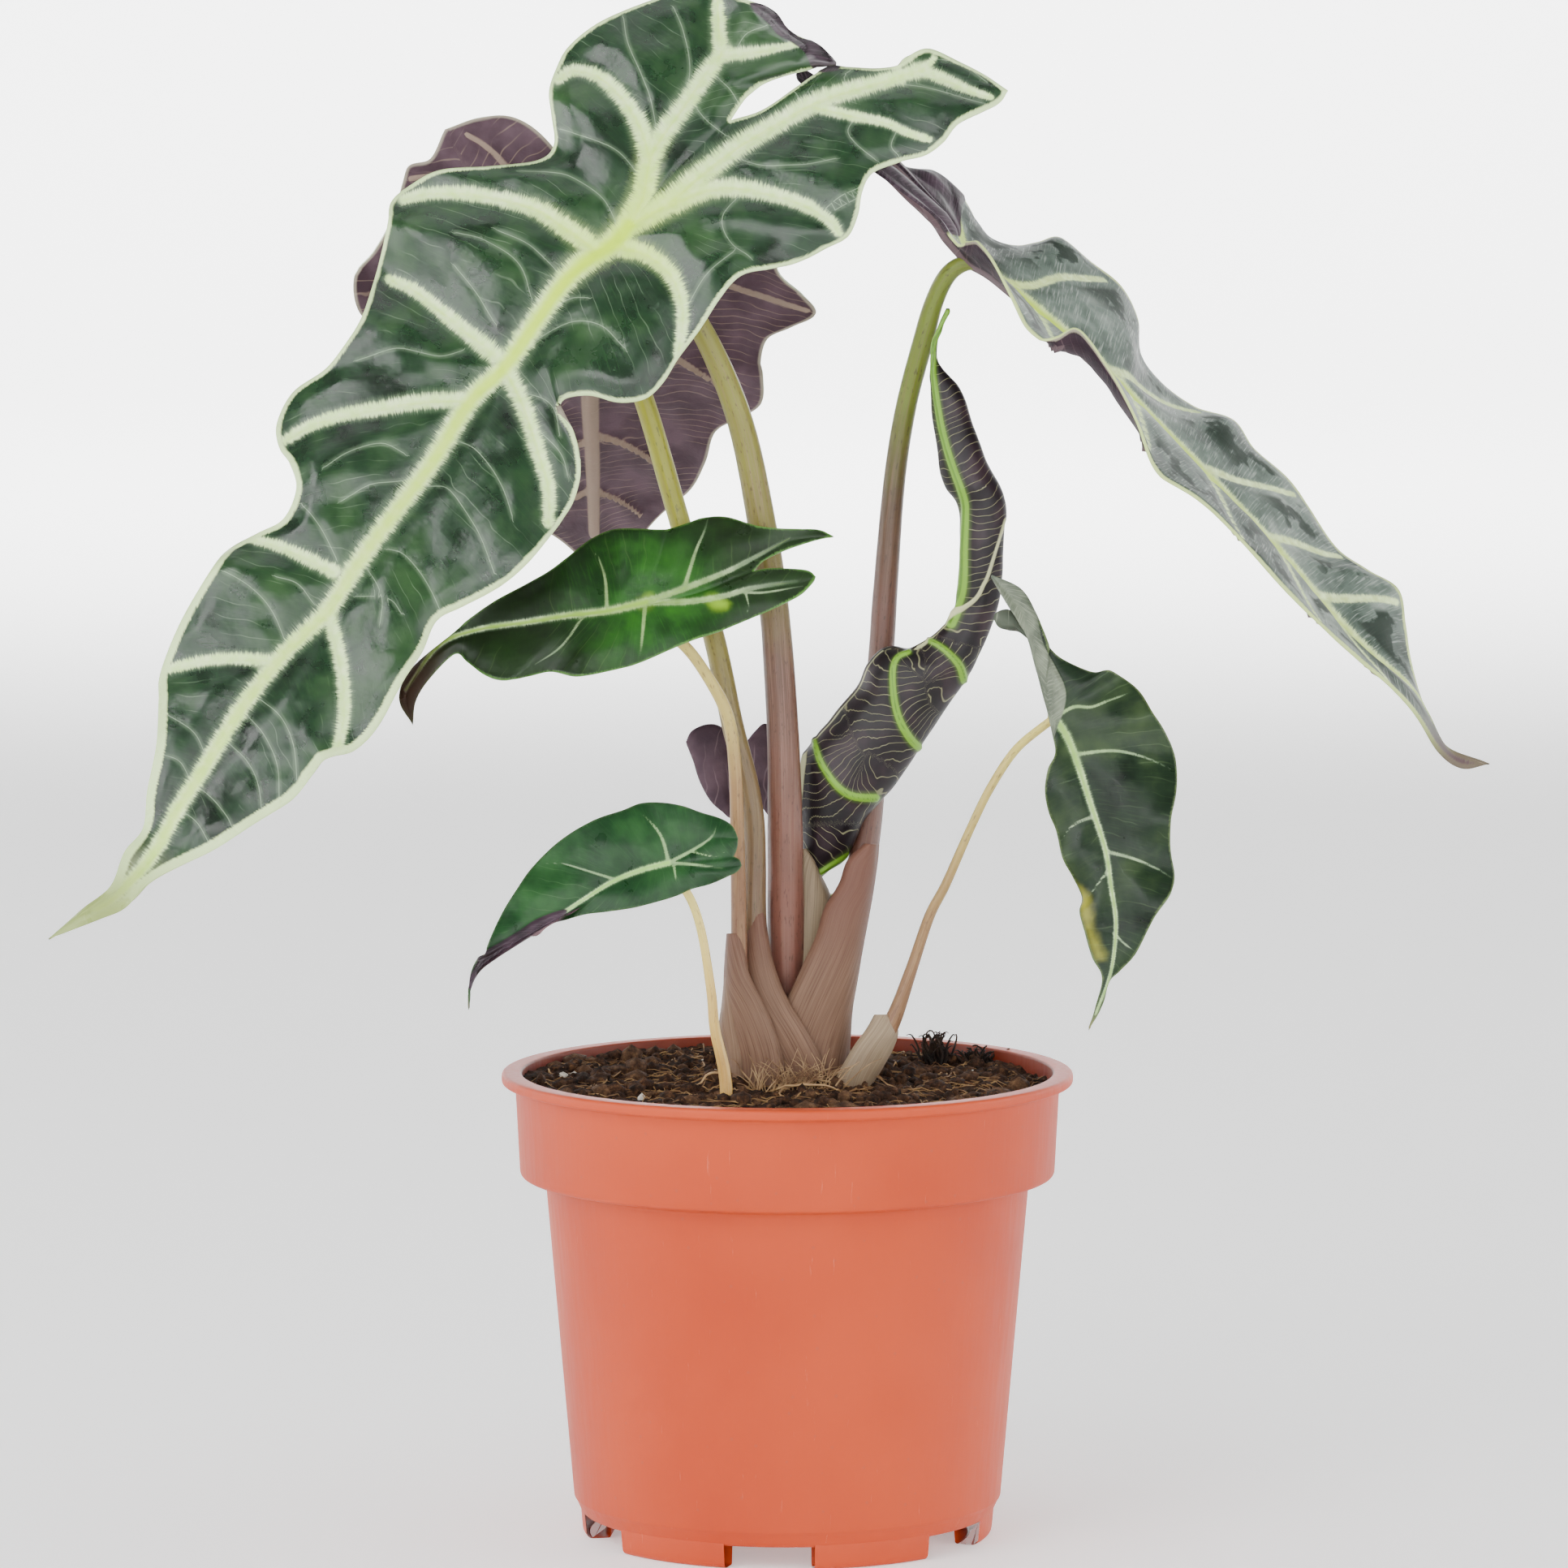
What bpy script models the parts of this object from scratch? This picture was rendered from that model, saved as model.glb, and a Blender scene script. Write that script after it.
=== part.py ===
"""Potted African mask plant: nursery pot, soil, corm, seven leaf blades and their stalks.

Metres, +Z up. The pot stands on the plane z = 0 and the viewer of the front view looks along +Y.
Leaf and stalk outlines are drawn in a front view, in millimetres: x to the right of the pot's axis,
z above the table. Each drawn point also has a depth y, positive away from the viewer, and is
pushed along its line of sight to that depth, so the plant keeps its outline in the front view.
The origin is on the ground under the middle of the whole part's bounding box.
"""
import math

import bmesh
import bpy
import numpy as np
from mathutils import Vector

MM = 0.001
GAP = 0.3  # clearance between pieces that touch, mm

# Driving dimensions of the pot, mm
LIP_DIAMETER = 120.0
POT_HEIGHT = 98.0
COLLAR_TOP_DIAMETER = 114.3
COLLAR_FOOT_DIAMETER = 112.3
COLLAR_HEIGHT = 19.5
BODY_TOP_DIAMETER = 101.7
BODY_BASE_DIAMETER = 89.0
LIP_THICKNESS = 2.2
WALL = 1.4
FOOT_HEIGHT = 4.8
FOOT_COUNT = 6
FOOT_OUTER_RADIUS = 43.6
FOOT_WIDTH = 6.0
FOOT_ANGLE = math.radians(35)
DRAIN_DIAMETER = 9.0
DRAIN_RING_RADIUS = 30.0
TURNING_STEPS = 40

# Driving dimensions of what the pot holds, mm
SOIL_TOP = 94.0
CORM_TOP = 96.8
CORM_RADIUS = 12.0
CORM_DEPTH = 34.0

# Blades, mm
BLADE_THICKNESS = 0.7
RIB_THICKNESS = 1.6
VEIN_THICKNESS = 1.2

# The eye of the front view, mm
EYE = np.array([-0.7, -1620.0, 321.0])

# Where the pot's axis stands from the middle of the bounding box, x and y in mm
POT_AXIS = (-0.265, -12.035)

COLLECTION = "potted_polly_african_mask_plant"


def clear_scene():
    for thing in list(bpy.data.objects):
        bpy.data.objects.remove(thing, do_unlink=True)


def collection(name):
    made = bpy.data.collections.new(name)
    bpy.context.scene.collection.children.link(made)
    return made


def material(name, colour, roughness):
    made = bpy.data.materials.new(name)
    made.use_nodes = True
    shader = made.node_tree.nodes["Principled BSDF"]
    shader.inputs["Base Color"].default_value = (*colour, 1.0)
    shader.inputs["Roughness"].default_value = roughness
    shader.inputs["Metallic"].default_value = 0.0
    return made


def add_object(name, data, finish, group, parent=None):
    thing = bpy.data.objects.new(name, data)
    group.objects.link(thing)
    if finish is not None:
        data.materials.append(finish)
    thing.parent = parent
    return thing


def make_cutter(thing):
    thing.hide_render = True
    thing.display_type = "WIRE"


def evaluated_mesh(thing):
    bpy.context.view_layer.update()
    seen_by_viewer = thing.evaluated_get(bpy.context.evaluated_depsgraph_get())
    return bpy.data.meshes.new_from_object(seen_by_viewer)


def join_solids(thing, others, operation, solver="EXACT"):
    """Apply a Boolean of each of the others to the object's own mesh, and remove them."""
    for other in others:
        step = thing.modifiers.new("join", "BOOLEAN")
        step.operation = operation
        step.solver = solver
        step.object = other
        result = evaluated_mesh(thing)
        thing.modifiers.remove(step)
        old = thing.data
        thing.data = result
        bpy.data.meshes.remove(old)
        bpy.data.objects.remove(other, do_unlink=True)


# Curves

def smooth_line(points, per_span=12):
    """Dense points of a Catmull-Rom curve through the given ones."""
    given = np.array(points, float)
    ends = np.vstack([2 * given[0] - given[1], given, 2 * given[-1] - given[-2]])
    dense = []
    for i in range(len(given) - 1):
        a, b, c, d = ends[i:i + 4]
        for u in np.linspace(0, 1, per_span, endpoint=False):
            dense.append(0.5 * (2 * b + (c - a) * u + (2 * a - 5 * b + 4 * c - d) * u ** 2
                                + (3 * b - a - 3 * c + d) * u ** 3))
    dense.append(given[-1])
    return np.array(dense)


def at_fraction(line, fraction):
    """Points of a polyline at fractions 0 to 1 of its length."""
    lengths = np.linalg.norm(np.diff(line, axis=0), axis=1)
    places = np.concatenate([[0], np.cumsum(lengths)]) / lengths.sum()
    return np.stack([np.interp(fraction, places, line[:, k]) for k in range(line.shape[1])], axis=-1)


def through_rows(values, index):
    """Catmull-Rom value at a fractional index of a list of rows."""
    rows = np.array(values, float)
    ends = np.vstack([2 * rows[0] - rows[1], rows, 2 * rows[-1] - rows[-2]])
    i = np.clip(np.floor(index).astype(int), 0, len(rows) - 2)
    u = (index - i)[:, None]
    a, b, c, d = ends[i], ends[i + 1], ends[i + 2], ends[i + 3]
    return 0.5 * (2 * b + (c - a) * u + (2 * a - 5 * b + 4 * c - d) * u ** 2
                  + (3 * b - a - 3 * c + d) * u ** 3)


def in_space(drawn):
    """Front view points (x, z) with depth y, as rows of x, z, y, pushed to their depth (mm)."""
    drawn = np.asarray(drawn, float)
    flat = np.stack([drawn[..., 0], np.zeros_like(drawn[..., 0]), drawn[..., 1]], axis=-1)
    reach = 1 + drawn[..., 2:3] / -EYE[1]
    return EYE + reach * (flat - EYE)


# The blades. A blade has a midrib from its tip (t = 0) to the stalk (t = 1), and a rib in each of
# its two basal lobes from the stalk (t = 1) to the lobe's end (t = 2). A row runs from the rib at t
# to a point of the margin: (t, x, z, depth off the blade's own plane, 1 where a vein runs along it).
# "seam" joins the stalk to the notch between the lobes, which each inner edge starts from.

FRONT = dict(
    joint=(-33, 275.3), depth=-16, tilt=(0.0, 0.55), bend=(0.0, 0.0006), up=(0, -1, 0.55), sag=0.05,
    midrib=[(-155, 126), (-136, 140), (-127, 152), (-116, 171), (-104, 187), (-90, 203),
            (-81, 216), (-66, 238), (-58, 247), (-46, 263), (-33, 275.3)],
    ribs=([(-33, 275.3), (-30, 281), (-28, 290), (-22, 299), (-15, 311), (-13.6, 323.4)],
          [(-33, 275.3), (-25, 279.5), (-10, 291.6), (5, 300), (20, 305), (37, 305.5), (45.8, 303)]),
    seam=[(-33, 275.3, 0), (-22.5, 286.5, 1), (-11.7, 297, 0)], notch=(1.40, 1.28),
    outer=([(0, -155, 126, 0, 0), (0.05, -148, 132, 1, 0), (0.10, -142, 137, 0, 0),
            (0.14, -139, 144, -1, 0), (0.18, -135, 149, 1, 0), (0.22, -134, 157, 0, 0),
            (0.27, -132, 167, -2, 0), (0.33, -131.5, 176, 0, 0), (0.39, -131, 182, 2, 1),
            (0.43, -126.5, 193, 0, 0), (0.48, -120, 204, -3, 0), (0.53, -116, 208, 2, 1),
            (0.58, -110.5, 211, 2, 0), (0.62, -105, 214, 0, 0), (0.665, -102.4, 220.5, -3, 0),
            (0.70, -104, 226, -2, 0), (0.745, -106, 229, 1, 1), (0.755, -106.4, 234, 2, 0),
            (0.765, -103, 240.5, 2, 0), (0.775, -96, 245.5, 0, 0), (0.785, -91.5, 251.5, -3, 0),
            (0.793, -88, 257.5, -3, 0), (0.80, -85.8, 264.4, 1, 1), (0.84, -84, 271, 1, 0),
            (0.90, -83, 276, -2, 0), (0.94, -82.4, 280, 1, 1), (0.955, -79, 283, 1, 0),
            (0.965, -72.5, 286.3, -1, 0), (0.98, -62, 287.4, -1, 0), (0.99, -52, 288.7, 1, 0),
            (1.0, -48.5, 291.8, 3, 0), (1.13, -49, 298, 1, 0), (1.22, -49.5, 303, -1, 0),
            (1.30, -48, 307.6, 1, 1), (1.45, -45.3, 312.2, 2, 0), (1.6, -39, 317.2, -1, 0),
            (1.75, -30.5, 321, 0, 0), (1.88, -22, 323.5, 1, 0), (2.0, -13.6, 323.4, 0, 0)],
           [(0, -155, 126, 0, 0), (0.05, -149.3, 128, 0, 0), (0.09, -144, 130, 1, 0),
            (0.12, -138.7, 132.5, 1, 0), (0.15, -134, 137.6, -1, 0), (0.19, -126.3, 141.8, -1, 0),
            (0.24, -117.8, 146, 0, 0), (0.285, -108.5, 152, 1, 1), (0.32, -103.4, 155.6, 0, 0),
            (0.345, -99.7, 160, 0, 0), (0.39, -97.5, 163, -2, 0), (0.43, -94.8, 164.3, -1, 0),
            (0.47, -90.5, 165.4, 2, 1), (0.50, -86, 170, 1, 0), (0.535, -80.3, 180, -2, 0),
            (0.56, -76.3, 186, -1, 0), (0.575, -73.2, 192.6, 1, 1), (0.61, -67.8, 195.7, 1, 0),
            (0.655, -59.7, 200, 0, 0), (0.70, -54, 205, -2, 0), (0.75, -49.2, 210.6, 0, 0),
            (0.79, -47, 213.5, 2, 1), (0.82, -44.4, 218, 2, 0), (0.85, -43.1, 224.4, 0, 0),
            (0.875, -44.7, 231.5, -3, 0), (0.89, -47.3, 236.2, -3, 0), (0.90, -46.3, 239.2, -1, 0),
            (0.915, -41.5, 239.8, 1, 0), (0.935, -35.4, 238.3, 2, 0), (0.95, -29.7, 239.2, 2, 0),
            (0.96, -26, 242.5, 2, 0), (0.97, -22.7, 247.6, 2, 1), (0.977, -18.3, 253.6, 0, 0),
            (0.984, -14, 260, -2, 0), (0.99, -9.5, 264.9, -2, 0), (0.995, -2.7, 266.3, 0, 0),
            (1.0, 3, 267.7, 2, 0), (1.03, 8, 270, 2, 0), (1.06, 12.5, 272.4, 1, 1),
            (1.12, 14.7, 277, 0, 0), (1.19, 15.6, 282, -2, 0), (1.27, 17.8, 286.3, -1, 0),
            (1.37, 23.4, 288.4, 1, 0), (1.46, 28.8, 289.6, 1, 0), (1.52, 32.5, 292.3, 0, 1),
            (1.62, 35.6, 296.2, -1, 0), (1.75, 41, 298.7, 0, 0), (1.88, 44.2, 300.4, 1, 0),
            (2.0, 45.8, 303, 0, 0)]),
    inner=([(1.47, -8, 302, 0, 0), (1.55, -3.4, 305, 1, 0), (1.64, 4.7, 307, -1, 0),
            (1.72, 10.2, 308, -3, 0), (1.78, 8, 311, -3, 0), (1.83, 5, 313, -3, 0),
            (1.88, 0.3, 315.5, -3, 0), (1.92, -2.2, 319, -3, 0), (1.96, -6.8, 321.5, -2, 0),
            (2.0, -13.6, 323.4, 0, 0)],
           [(1.35, -5.6, 299, 1, 0), (1.43, 2, 303.8, 1, 0), (1.50, 9, 307.6, 1, 0),
            (1.60, 19, 307.6, 0, 0), (1.68, 23.4, 308.4, -1, 0), (1.74, 26.3, 311, -1, 0),
            (1.79, 29.7, 311.8, 0, 0), (1.86, 35.4, 309.3, 1, 0), (1.93, 41, 306.4, 1, 0),
            (2.0, 45.8, 303, 0, 0)]),
)

BACK = dict(
    joint=(-41, 266), depth=13, tilt=(0.0, -0.656), bend=(0.0, 0.0118), up=(0, 1, 0.656), sag=0.04,
    midrib=[(-37.5, 199.5), (-40, 211), (-41, 240), (-41, 266)],
    ribs=([(-41, 266), (-54, 276), (-66, 286), (-71, 295)],
          [(-41, 266), (-30, 277), (-17, 287), (-12, 295)]),
    seam=[(-41, 266, 0), (-41, 273, 0), (-41, 281, 0)], notch=(1.45, 1.45),
    outer=([(0, -37.5, 199.5, 0, 0), (0.15, -45, 208, 1, 0), (0.28, -54, 214, 0, 0),
            (0.40, -62, 219, -1, 0), (0.50, -66, 225, 1, 1), (0.58, -69, 232, 1, 0),
            (0.66, -76, 236, -1, 0), (0.72, -78, 241, -1, 0), (0.77, -77.5, 247, 2, 1),
            (0.83, -79, 252, 2, 0), (0.88, -85, 254, 0, 0), (0.93, -89.5, 258, -1, 0),
            (0.98, -90, 265, 1, 1), (1.1, -86, 270, 1, 0), (1.3, -82, 277, -1, 0),
            (1.5, -80, 284, -1, 0), (1.7, -78.5, 287.5, 1, 0), (1.85, -74, 289, 1, 0),
            (2.0, -71, 295, 0, 0)],
           [(0, -37.5, 199.5, 0, 0), (0.15, -28.7, 213, 1, 0), (0.28, -20.5, 220, 0, 0),
            (0.38, -17, 226, -1, 0), (0.50, -15, 232.5, 1, 1), (0.58, -10, 235.5, 1, 0),
            (0.66, -5.3, 238.5, -1, 0), (0.72, -5, 244, -1, 0), (0.77, -5.5, 247, 2, 1),
            (0.83, -4, 252, 2, 0), (0.88, 1, 254.3, 0, 0), (0.92, 6, 257, -1, 0),
            (0.97, 3, 261, 1, 1), (1.1, -2, 266, 1, 0), (1.3, -2, 275, -1, 0),
            (1.5, -4, 284, -1, 0), (1.7, -5, 288, 1, 0), (1.85, -8, 290, 1, 0),
            (2.0, -12, 295, 0, 0)]),
    inner=([(1.6, -50, 293, 0, 0), (1.75, -57, 297.5, 1, 0), (1.9, -64, 297.5, 0, 0),
            (2.0, -71, 295, 0, 0)],
           [(1.6, -33, 291, 0, 0), (1.75, -27, 297, 1, 0), (1.9, -19, 297, 0, 0),
            (2.0, -12, 295, 0, 0)]),
)

RIGHT = dict(
    joint=(38.3, 268.3), depth=5, tilt=(0.0, 0.0), bend=(0.0, 0.0), up=(0.3, -0.2, 1), sag=0.04,
    spread=1,
    midrib=[(147, 162.7), (138, 166.6), (133.6, 174.6), (130, 179.5), (121, 187), (112, 196),
            (103, 206.5), (91, 219.6), (75, 236.4), (57, 253.4), (44.4, 264.6), (38.3, 268.3)],
    ribs=([(38.3, 268.3, 0), (30, 280, 10), (17, 294, 15), (1.7, 306, 18)],
          [(38.3, 268.3, 0), (27, 280, -3), (13, 291, -3), (2.5, 297.4, -2)]),
    seam=[(38.3, 268.3, 0), (35.5, 273, 2), (33, 277, 3)], notch=(1.3, 1.3),
    outer=([(0, 147, 162.7, 0, 0), (0.06, 139, 165.5, 1, 0), (0.12, 135.6, 170.4, 3, 0),
            (0.16, 132.5, 176.8, 6, 0), (0.20, 130.5, 184, 9, 0), (0.25, 129.3, 192, 13, 0),
            (0.29, 127.5, 199.4, 16, 0), (0.33, 121, 203.5, 18, 1), (0.39, 114.8, 207.7, 20, 0),
            (0.43, 108.8, 216.4, 22, 0), (0.48, 104.2, 223, 24, 1), (0.53, 97.5, 228.3, 25, 0),
            (0.57, 93, 234.7, 27, 0), (0.62, 84.8, 237.8, 28, 0), (0.66, 78, 242.5, 29, 1),
            (0.70, 73.6, 248.6, 30, 0), (0.73, 73, 255.8, 31, 0), (0.78, 69.5, 262.6, 31, 0),
            (0.83, 62.9, 268, 31, 1), (0.87, 56.8, 272.8, 31, 0), (0.91, 52, 271.7, 30, 0),
            (0.95, 47.5, 271, 29, 0), (0.98, 42.7, 272.4, 28, 1), (1.0, 39.5, 275.8, 27, 0),
            (1.1, 36.6, 280.7, 25, 0), (1.3, 30.5, 285.7, 24, 0), (1.5, 22, 287.2, 24, 1),
            (1.7, 13.6, 296.5, 22, 0), (1.9, 5, 305.8, 19, 0), (2.0, 1.7, 306, 18, 0)],
           [(0, 147, 162.7, 0, 0), (0.06, 141.7, 161.7, -1, 0), (0.12, 137, 165, -3, 0),
            (0.16, 132.5, 171.7, -6, 0), (0.21, 127.5, 178, -10, 0), (0.27, 120.3, 184, -14, 0),
            (0.33, 113.6, 190, -18, 1), (0.39, 105.4, 198, -21, 0), (0.45, 97.5, 206.5, -23, 0),
            (0.49, 91.5, 213.3, -25, 1), (0.54, 85.3, 219, -27, 0), (0.59, 77, 224, -28, 0),
            (0.64, 73.2, 229.5, -29, 1), (0.69, 67, 237.6, -29, 0), (0.74, 60.7, 246.8, -29, 0),
            (0.79, 56, 249.7, -28, 1), (0.84, 50.7, 253.4, -27, 0), (0.90, 46.3, 259.2, -25, 0),
            (0.95, 43, 263.4, -23, 1), (1.0, 40.3, 266.3, -19, 0), (1.1, 37.3, 269.4, -14, 0),
            (1.3, 30.5, 276.8, -9, 0), (1.5, 22, 283.3, -6, 1), (1.7, 12.7, 289.7, -4, 0),
            (1.9, 5, 295.7, -3, 0), (2.0, 2.5, 297.4, -2, 0)]),
    inner=([(1.5, 22, 288, 10, 0), (1.7, 11.9, 296.5, 13, 0), (1.9, 3, 304, 16, 0),
            (2.0, 1.7, 306, 18, 0)],
           [(1.5, 24, 284.8, 2, 0), (1.7, 13.5, 292.4, 0, 0), (1.9, 4.5, 297.3, -1, 0),
            (2.0, 2.5, 297.4, -2, 0)]),
)

MIDDLE = dict(
    joint=(-29.3, 196.2), depth=-24, tilt=(0.2, 0.5), bend=(0.0, 0.0), up=(0.2, -1, 0.5), sag=0.05,
    midrib=[(-78.3, 171), (-79.7, 177), (-76.3, 183), (-70, 188.5), (-64.6, 190), (-54.7, 191.8),
            (-45.6, 193.3), (-37.3, 194.3), (-29.3, 196.2)],
    ribs=([(-29.3, 196.2), (-20.7, 199.2), (-13, 202.3), (-6.3, 205.7), (0.5, 209.4), (9.7, 210.4)],
          [(-29.3, 196.2), (-20.7, 196.2), (-13, 197.4), (-7.8, 199), (2, 200.4), (6, 202)]),
    seam=[(-29.3, 196.2, 0), (-18, 200, 0.5), (-7, 204, 0)], notch=(1.5, 1.45),
    outer=([(0, -78.3, 171, 0, 0), (0.10, -81.2, 176.6, 0, 0), (0.21, -78.5, 182.8, 1, 0),
            (0.34, -70, 190, 0, 0), (0.40, -66.8, 192.8, -1, 0), (0.47, -61.5, 196.7, -1, 0),
            (0.60, -54.7, 200.4, 1, 1), (0.70, -50, 203, 1, 0), (0.79, -46, 206, -1, 0),
            (0.87, -42, 209.2, 1, 1), (0.91, -38, 211.3, 1, 0), (0.95, -34.2, 212, -1, 0),
            (0.98, -26.6, 211.8, -1, 0), (1.0, -24.4, 212, 0, 0), (1.1, -21.2, 213, 0, 0),
            (1.2, -17.6, 214.3, 1, 1), (1.4, -12.7, 214.5, 1, 0), (1.6, -6, 212.5, -1, 0),
            (1.75, 0.8, 212, -1, 0), (1.9, 6.4, 211.8, 0, 0), (2.0, 9.7, 210.4, 0, 0)],
           [(0, -78.3, 171, 0, 0), (0.10, -77.6, 176, 0, 0), (0.21, -74.6, 180.7, 0, 0),
            (0.34, -69.5, 185.6, 1, 0), (0.40, -67, 184, 1, 0), (0.50, -64, 181.8, 0, 0),
            (0.62, -60.7, 180.5, -1, 0), (0.72, -57.3, 180.4, -1, 0), (0.79, -54, 181, 1, 1),
            (0.85, -49, 182, 1, 0), (0.90, -43.4, 181.2, -1, 0), (0.95, -35, 182.7, 0, 0),
            (0.985, -31, 183.8, 1, 1), (1.0, -25.3, 186.3, 0, 0), (1.15, -19.8, 188.7, -1, 0),
            (1.35, -13.9, 190.6, 0, 0), (1.58, -7.5, 193.2, 1, 1), (1.72, -1.7, 195.8, 0, 0),
            (1.87, 2.9, 198.6, -1, 0), (2.0, 6, 202, 0, 0)]),
    inner=([(1.6, -4.7, 205.4, 0, 0), (1.75, -0.2, 207.6, 0, 0), (1.9, 5, 209.3, 0, 0),
            (2.0, 9.7, 210.4, 0, 0)],
           [(1.6, -3.7, 203.7, 0, 0), (1.75, 0.5, 203.7, 0, 0), (1.9, 4.4, 203.3, 0, 0),
            (2.0, 6, 202, 0, 0)]),
)

LOWER_LEFT = dict(
    joint=(-24.7, 141.5), depth=-33, tilt=(0.25, 0.3), bend=(0.0, 0.0), up=(0.25, -1, 0.3), sag=0.06,
    midrib=[(-66.8, 110.8), (-62.7, 120.8), (-56, 126), (-46.6, 131), (-42, 134), (-36.4, 137.6),
            (-30.5, 140), (-24.7, 141.5)],
    ribs=([(-24.7, 141.5), (-19.7, 144.2), (-15.8, 147), (-10.3, 147)],
          [(-24.7, 141.5), (-17, 140.7), (-9.5, 141.3)]),
    seam=[(-24.7, 141.5, 0), (-18, 142.3, 0), (-11.2, 143.2, 0)], notch=(1.7, 1.7),
    outer=([(0, -66.8, 110.8, 0, 0), (0.10, -67, 115.7, 0, 0), (0.20, -65.8, 120.4, 0, 0),
            (0.28, -63.7, 122.3, -1, 0), (0.42, -62, 126.7, -1, 0), (0.55, -59.7, 131.5, 0, 0),
            (0.66, -56.8, 136.2, 0, 0), (0.77, -53.4, 141, 1, 1), (0.84, -47.6, 146.6, 0, 0),
            (0.90, -40.7, 150.8, -1, 0), (0.95, -34.4, 153, 0, 0), (0.98, -30.8, 154.4, 1, 1),
            (1.0, -26.6, 154.6, 0, 0), (1.3, -22, 153.9, -1, 0), (1.5, -18, 152.5, 0, 0),
            (1.7, -13.9, 151.2, 1, 1), (1.85, -11.5, 149.6, 0, 0), (2.0, -10.3, 147, 0, 0)],
           [(0, -66.8, 110.8, 0, 0), (0.10, -66.3, 115.7, 0, 0), (0.20, -64.4, 119, 1, 0),
            (0.30, -61, 121.6, 2, 0), (0.40, -57.3, 124, 3, 0), (0.50, -53.4, 126.4, 4, 0),
            (0.60, -49.3, 128.9, 4, 0), (0.70, -45.8, 130, 3, 0), (0.80, -42.2, 131, 1, 1),
            (0.88, -37.3, 131.6, 0, 0), (0.94, -30.5, 132.8, -1, 0), (0.98, -23.7, 134.7, 0, 0),
            (1.0, -20.3, 136.2, 0, 0), (1.3, -16, 137.4, 1, 1), (1.6, -12.4, 139, 0, 0),
            (1.8, -10.5, 140, 0, 0), (2.0, -9.5, 141.3, 0, 0)]),
    inner=([(1.85, -10.5, 145, 0, 0), (2.0, -10.3, 147, 0, 0)],
           [(1.85, -10, 142.5, 0, 0), (2.0, -9.5, 141.3, 0, 0)]),
)

LOWER_RIGHT = dict(
    joint=(54.9, 172.9), depth=-20, tilt=(-0.15, 0.25), bend=(0.0, 0.0), up=(-0.15, -1, 0.25),
    sag=0.05,
    midrib=[(63.2, 106.5), (66.4, 115.5), (68.6, 128.6), (67.6, 136.4), (66.4, 144.2),
            (63.6, 153.2), (60.9, 161.7), (58.3, 168.2), (54.9, 172.9)],
    ribs=([(54.9, 172.9), (52.5, 182.8), (48.3, 192), (42.6, 202.3)],
          [(54.9, 172.9), (56, 179.4), (54.5, 186), (53.7, 188.5)]),
    seam=[(54.9, 172.9, 0), (54.6, 176, 0), (54.2, 180.2, 0)], notch=(1.3, 1.5),
    outer=([(0, 63.2, 106.5, 0, 0), (0.10, 64.8, 112, 0, 0), (0.17, 66, 117.6, 0, 0),
            (0.24, 64, 122, -1, 0), (0.32, 62.4, 127, -1, 0), (0.40, 61.2, 131.5, 0, 0),
            (0.48, 61.7, 134.6, 2, 1), (0.54, 59.7, 139, 1, 0), (0.60, 57.6, 142.9, -1, 0),
            (0.67, 56.3, 148.5, 1, 1), (0.74, 54.7, 152.5, 1, 0), (0.80, 53.9, 157, -1, 0),
            (0.86, 54.7, 161.5, -2, 0), (0.92, 56, 165, -1, 0), (0.97, 55.5, 168.5, 0, 0),
            (1.0, 54.8, 171.8, 0, 0), (1.2, 53.5, 177, 0, 0), (1.4, 51.8, 183, 1, 0),
            (1.6, 49.9, 189.6, 0, 0), (1.8, 46.2, 196, -1, 0), (2.0, 42.6, 202.3, 0, 0)],
           [(0, 63.2, 106.5, 0, 0), (0.10, 66.2, 111.8, 0, 0), (0.17, 67.6, 116.7, 1, 0),
            (0.23, 69.8, 119, 1, 0), (0.29, 73, 122.5, 1, 1), (0.34, 75.8, 128, 0, 0),
            (0.40, 77.8, 131.8, -2, 0), (0.46, 80.3, 135.4, -1, 0), (0.54, 81.2, 139, 2, 1),
            (0.62, 80.3, 144.7, 1, 0), (0.70, 80.3, 150.8, -2, 0), (0.78, 81.5, 157.3, 0, 0),
            (0.86, 81.2, 164, 2, 1), (0.90, 79, 169.5, 1, 0), (0.93, 76.5, 173.4, -1, 0),
            (0.96, 73.6, 178, 1, 1), (0.98, 70, 180.9, 1, 0), (1.0, 67, 182.4, -1, 0),
            (1.3, 64, 182, 0, 0), (1.6, 59.7, 183.6, 1, 0), (1.85, 56.3, 185.6, 0, 0),
            (2.0, 53.7, 188.5, 0, 0)]),
    inner=([(1.5, 53, 186.2, 0, 0), (1.65, 52.4, 189.7, 0, 0), (1.8, 51.4, 194.6, 0, 0),
            (1.9, 48.6, 199.4, 0, 0), (2.0, 42.6, 202.3, 0, 0)],
           [(1.8, 53.8, 184.4, 0, 0), (2.0, 53.7, 188.5, 0, 0)]),
)

BLADES = {
    "blade_front": FRONT,
    "blade_back": BACK,
    "blade_right": RIGHT,
    "blade_middle": MIDDLE,
    "blade_lower_left": LOWER_LEFT,
    "blade_lower_right": LOWER_RIGHT,
}
ACROSS = (0.0, 0.13, 0.58, 1.0)  # places along a row, from rib to margin
ROW_SPACING = 0.0055  # rows closer than this along t become one
VEIN_REACH = 0.8  # how far along its row a vein stays thick
VEIN_WEIGHT = (VEIN_THICKNESS - BLADE_THICKNESS) / (RIB_THICKNESS - BLADE_THICKNESS)


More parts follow.
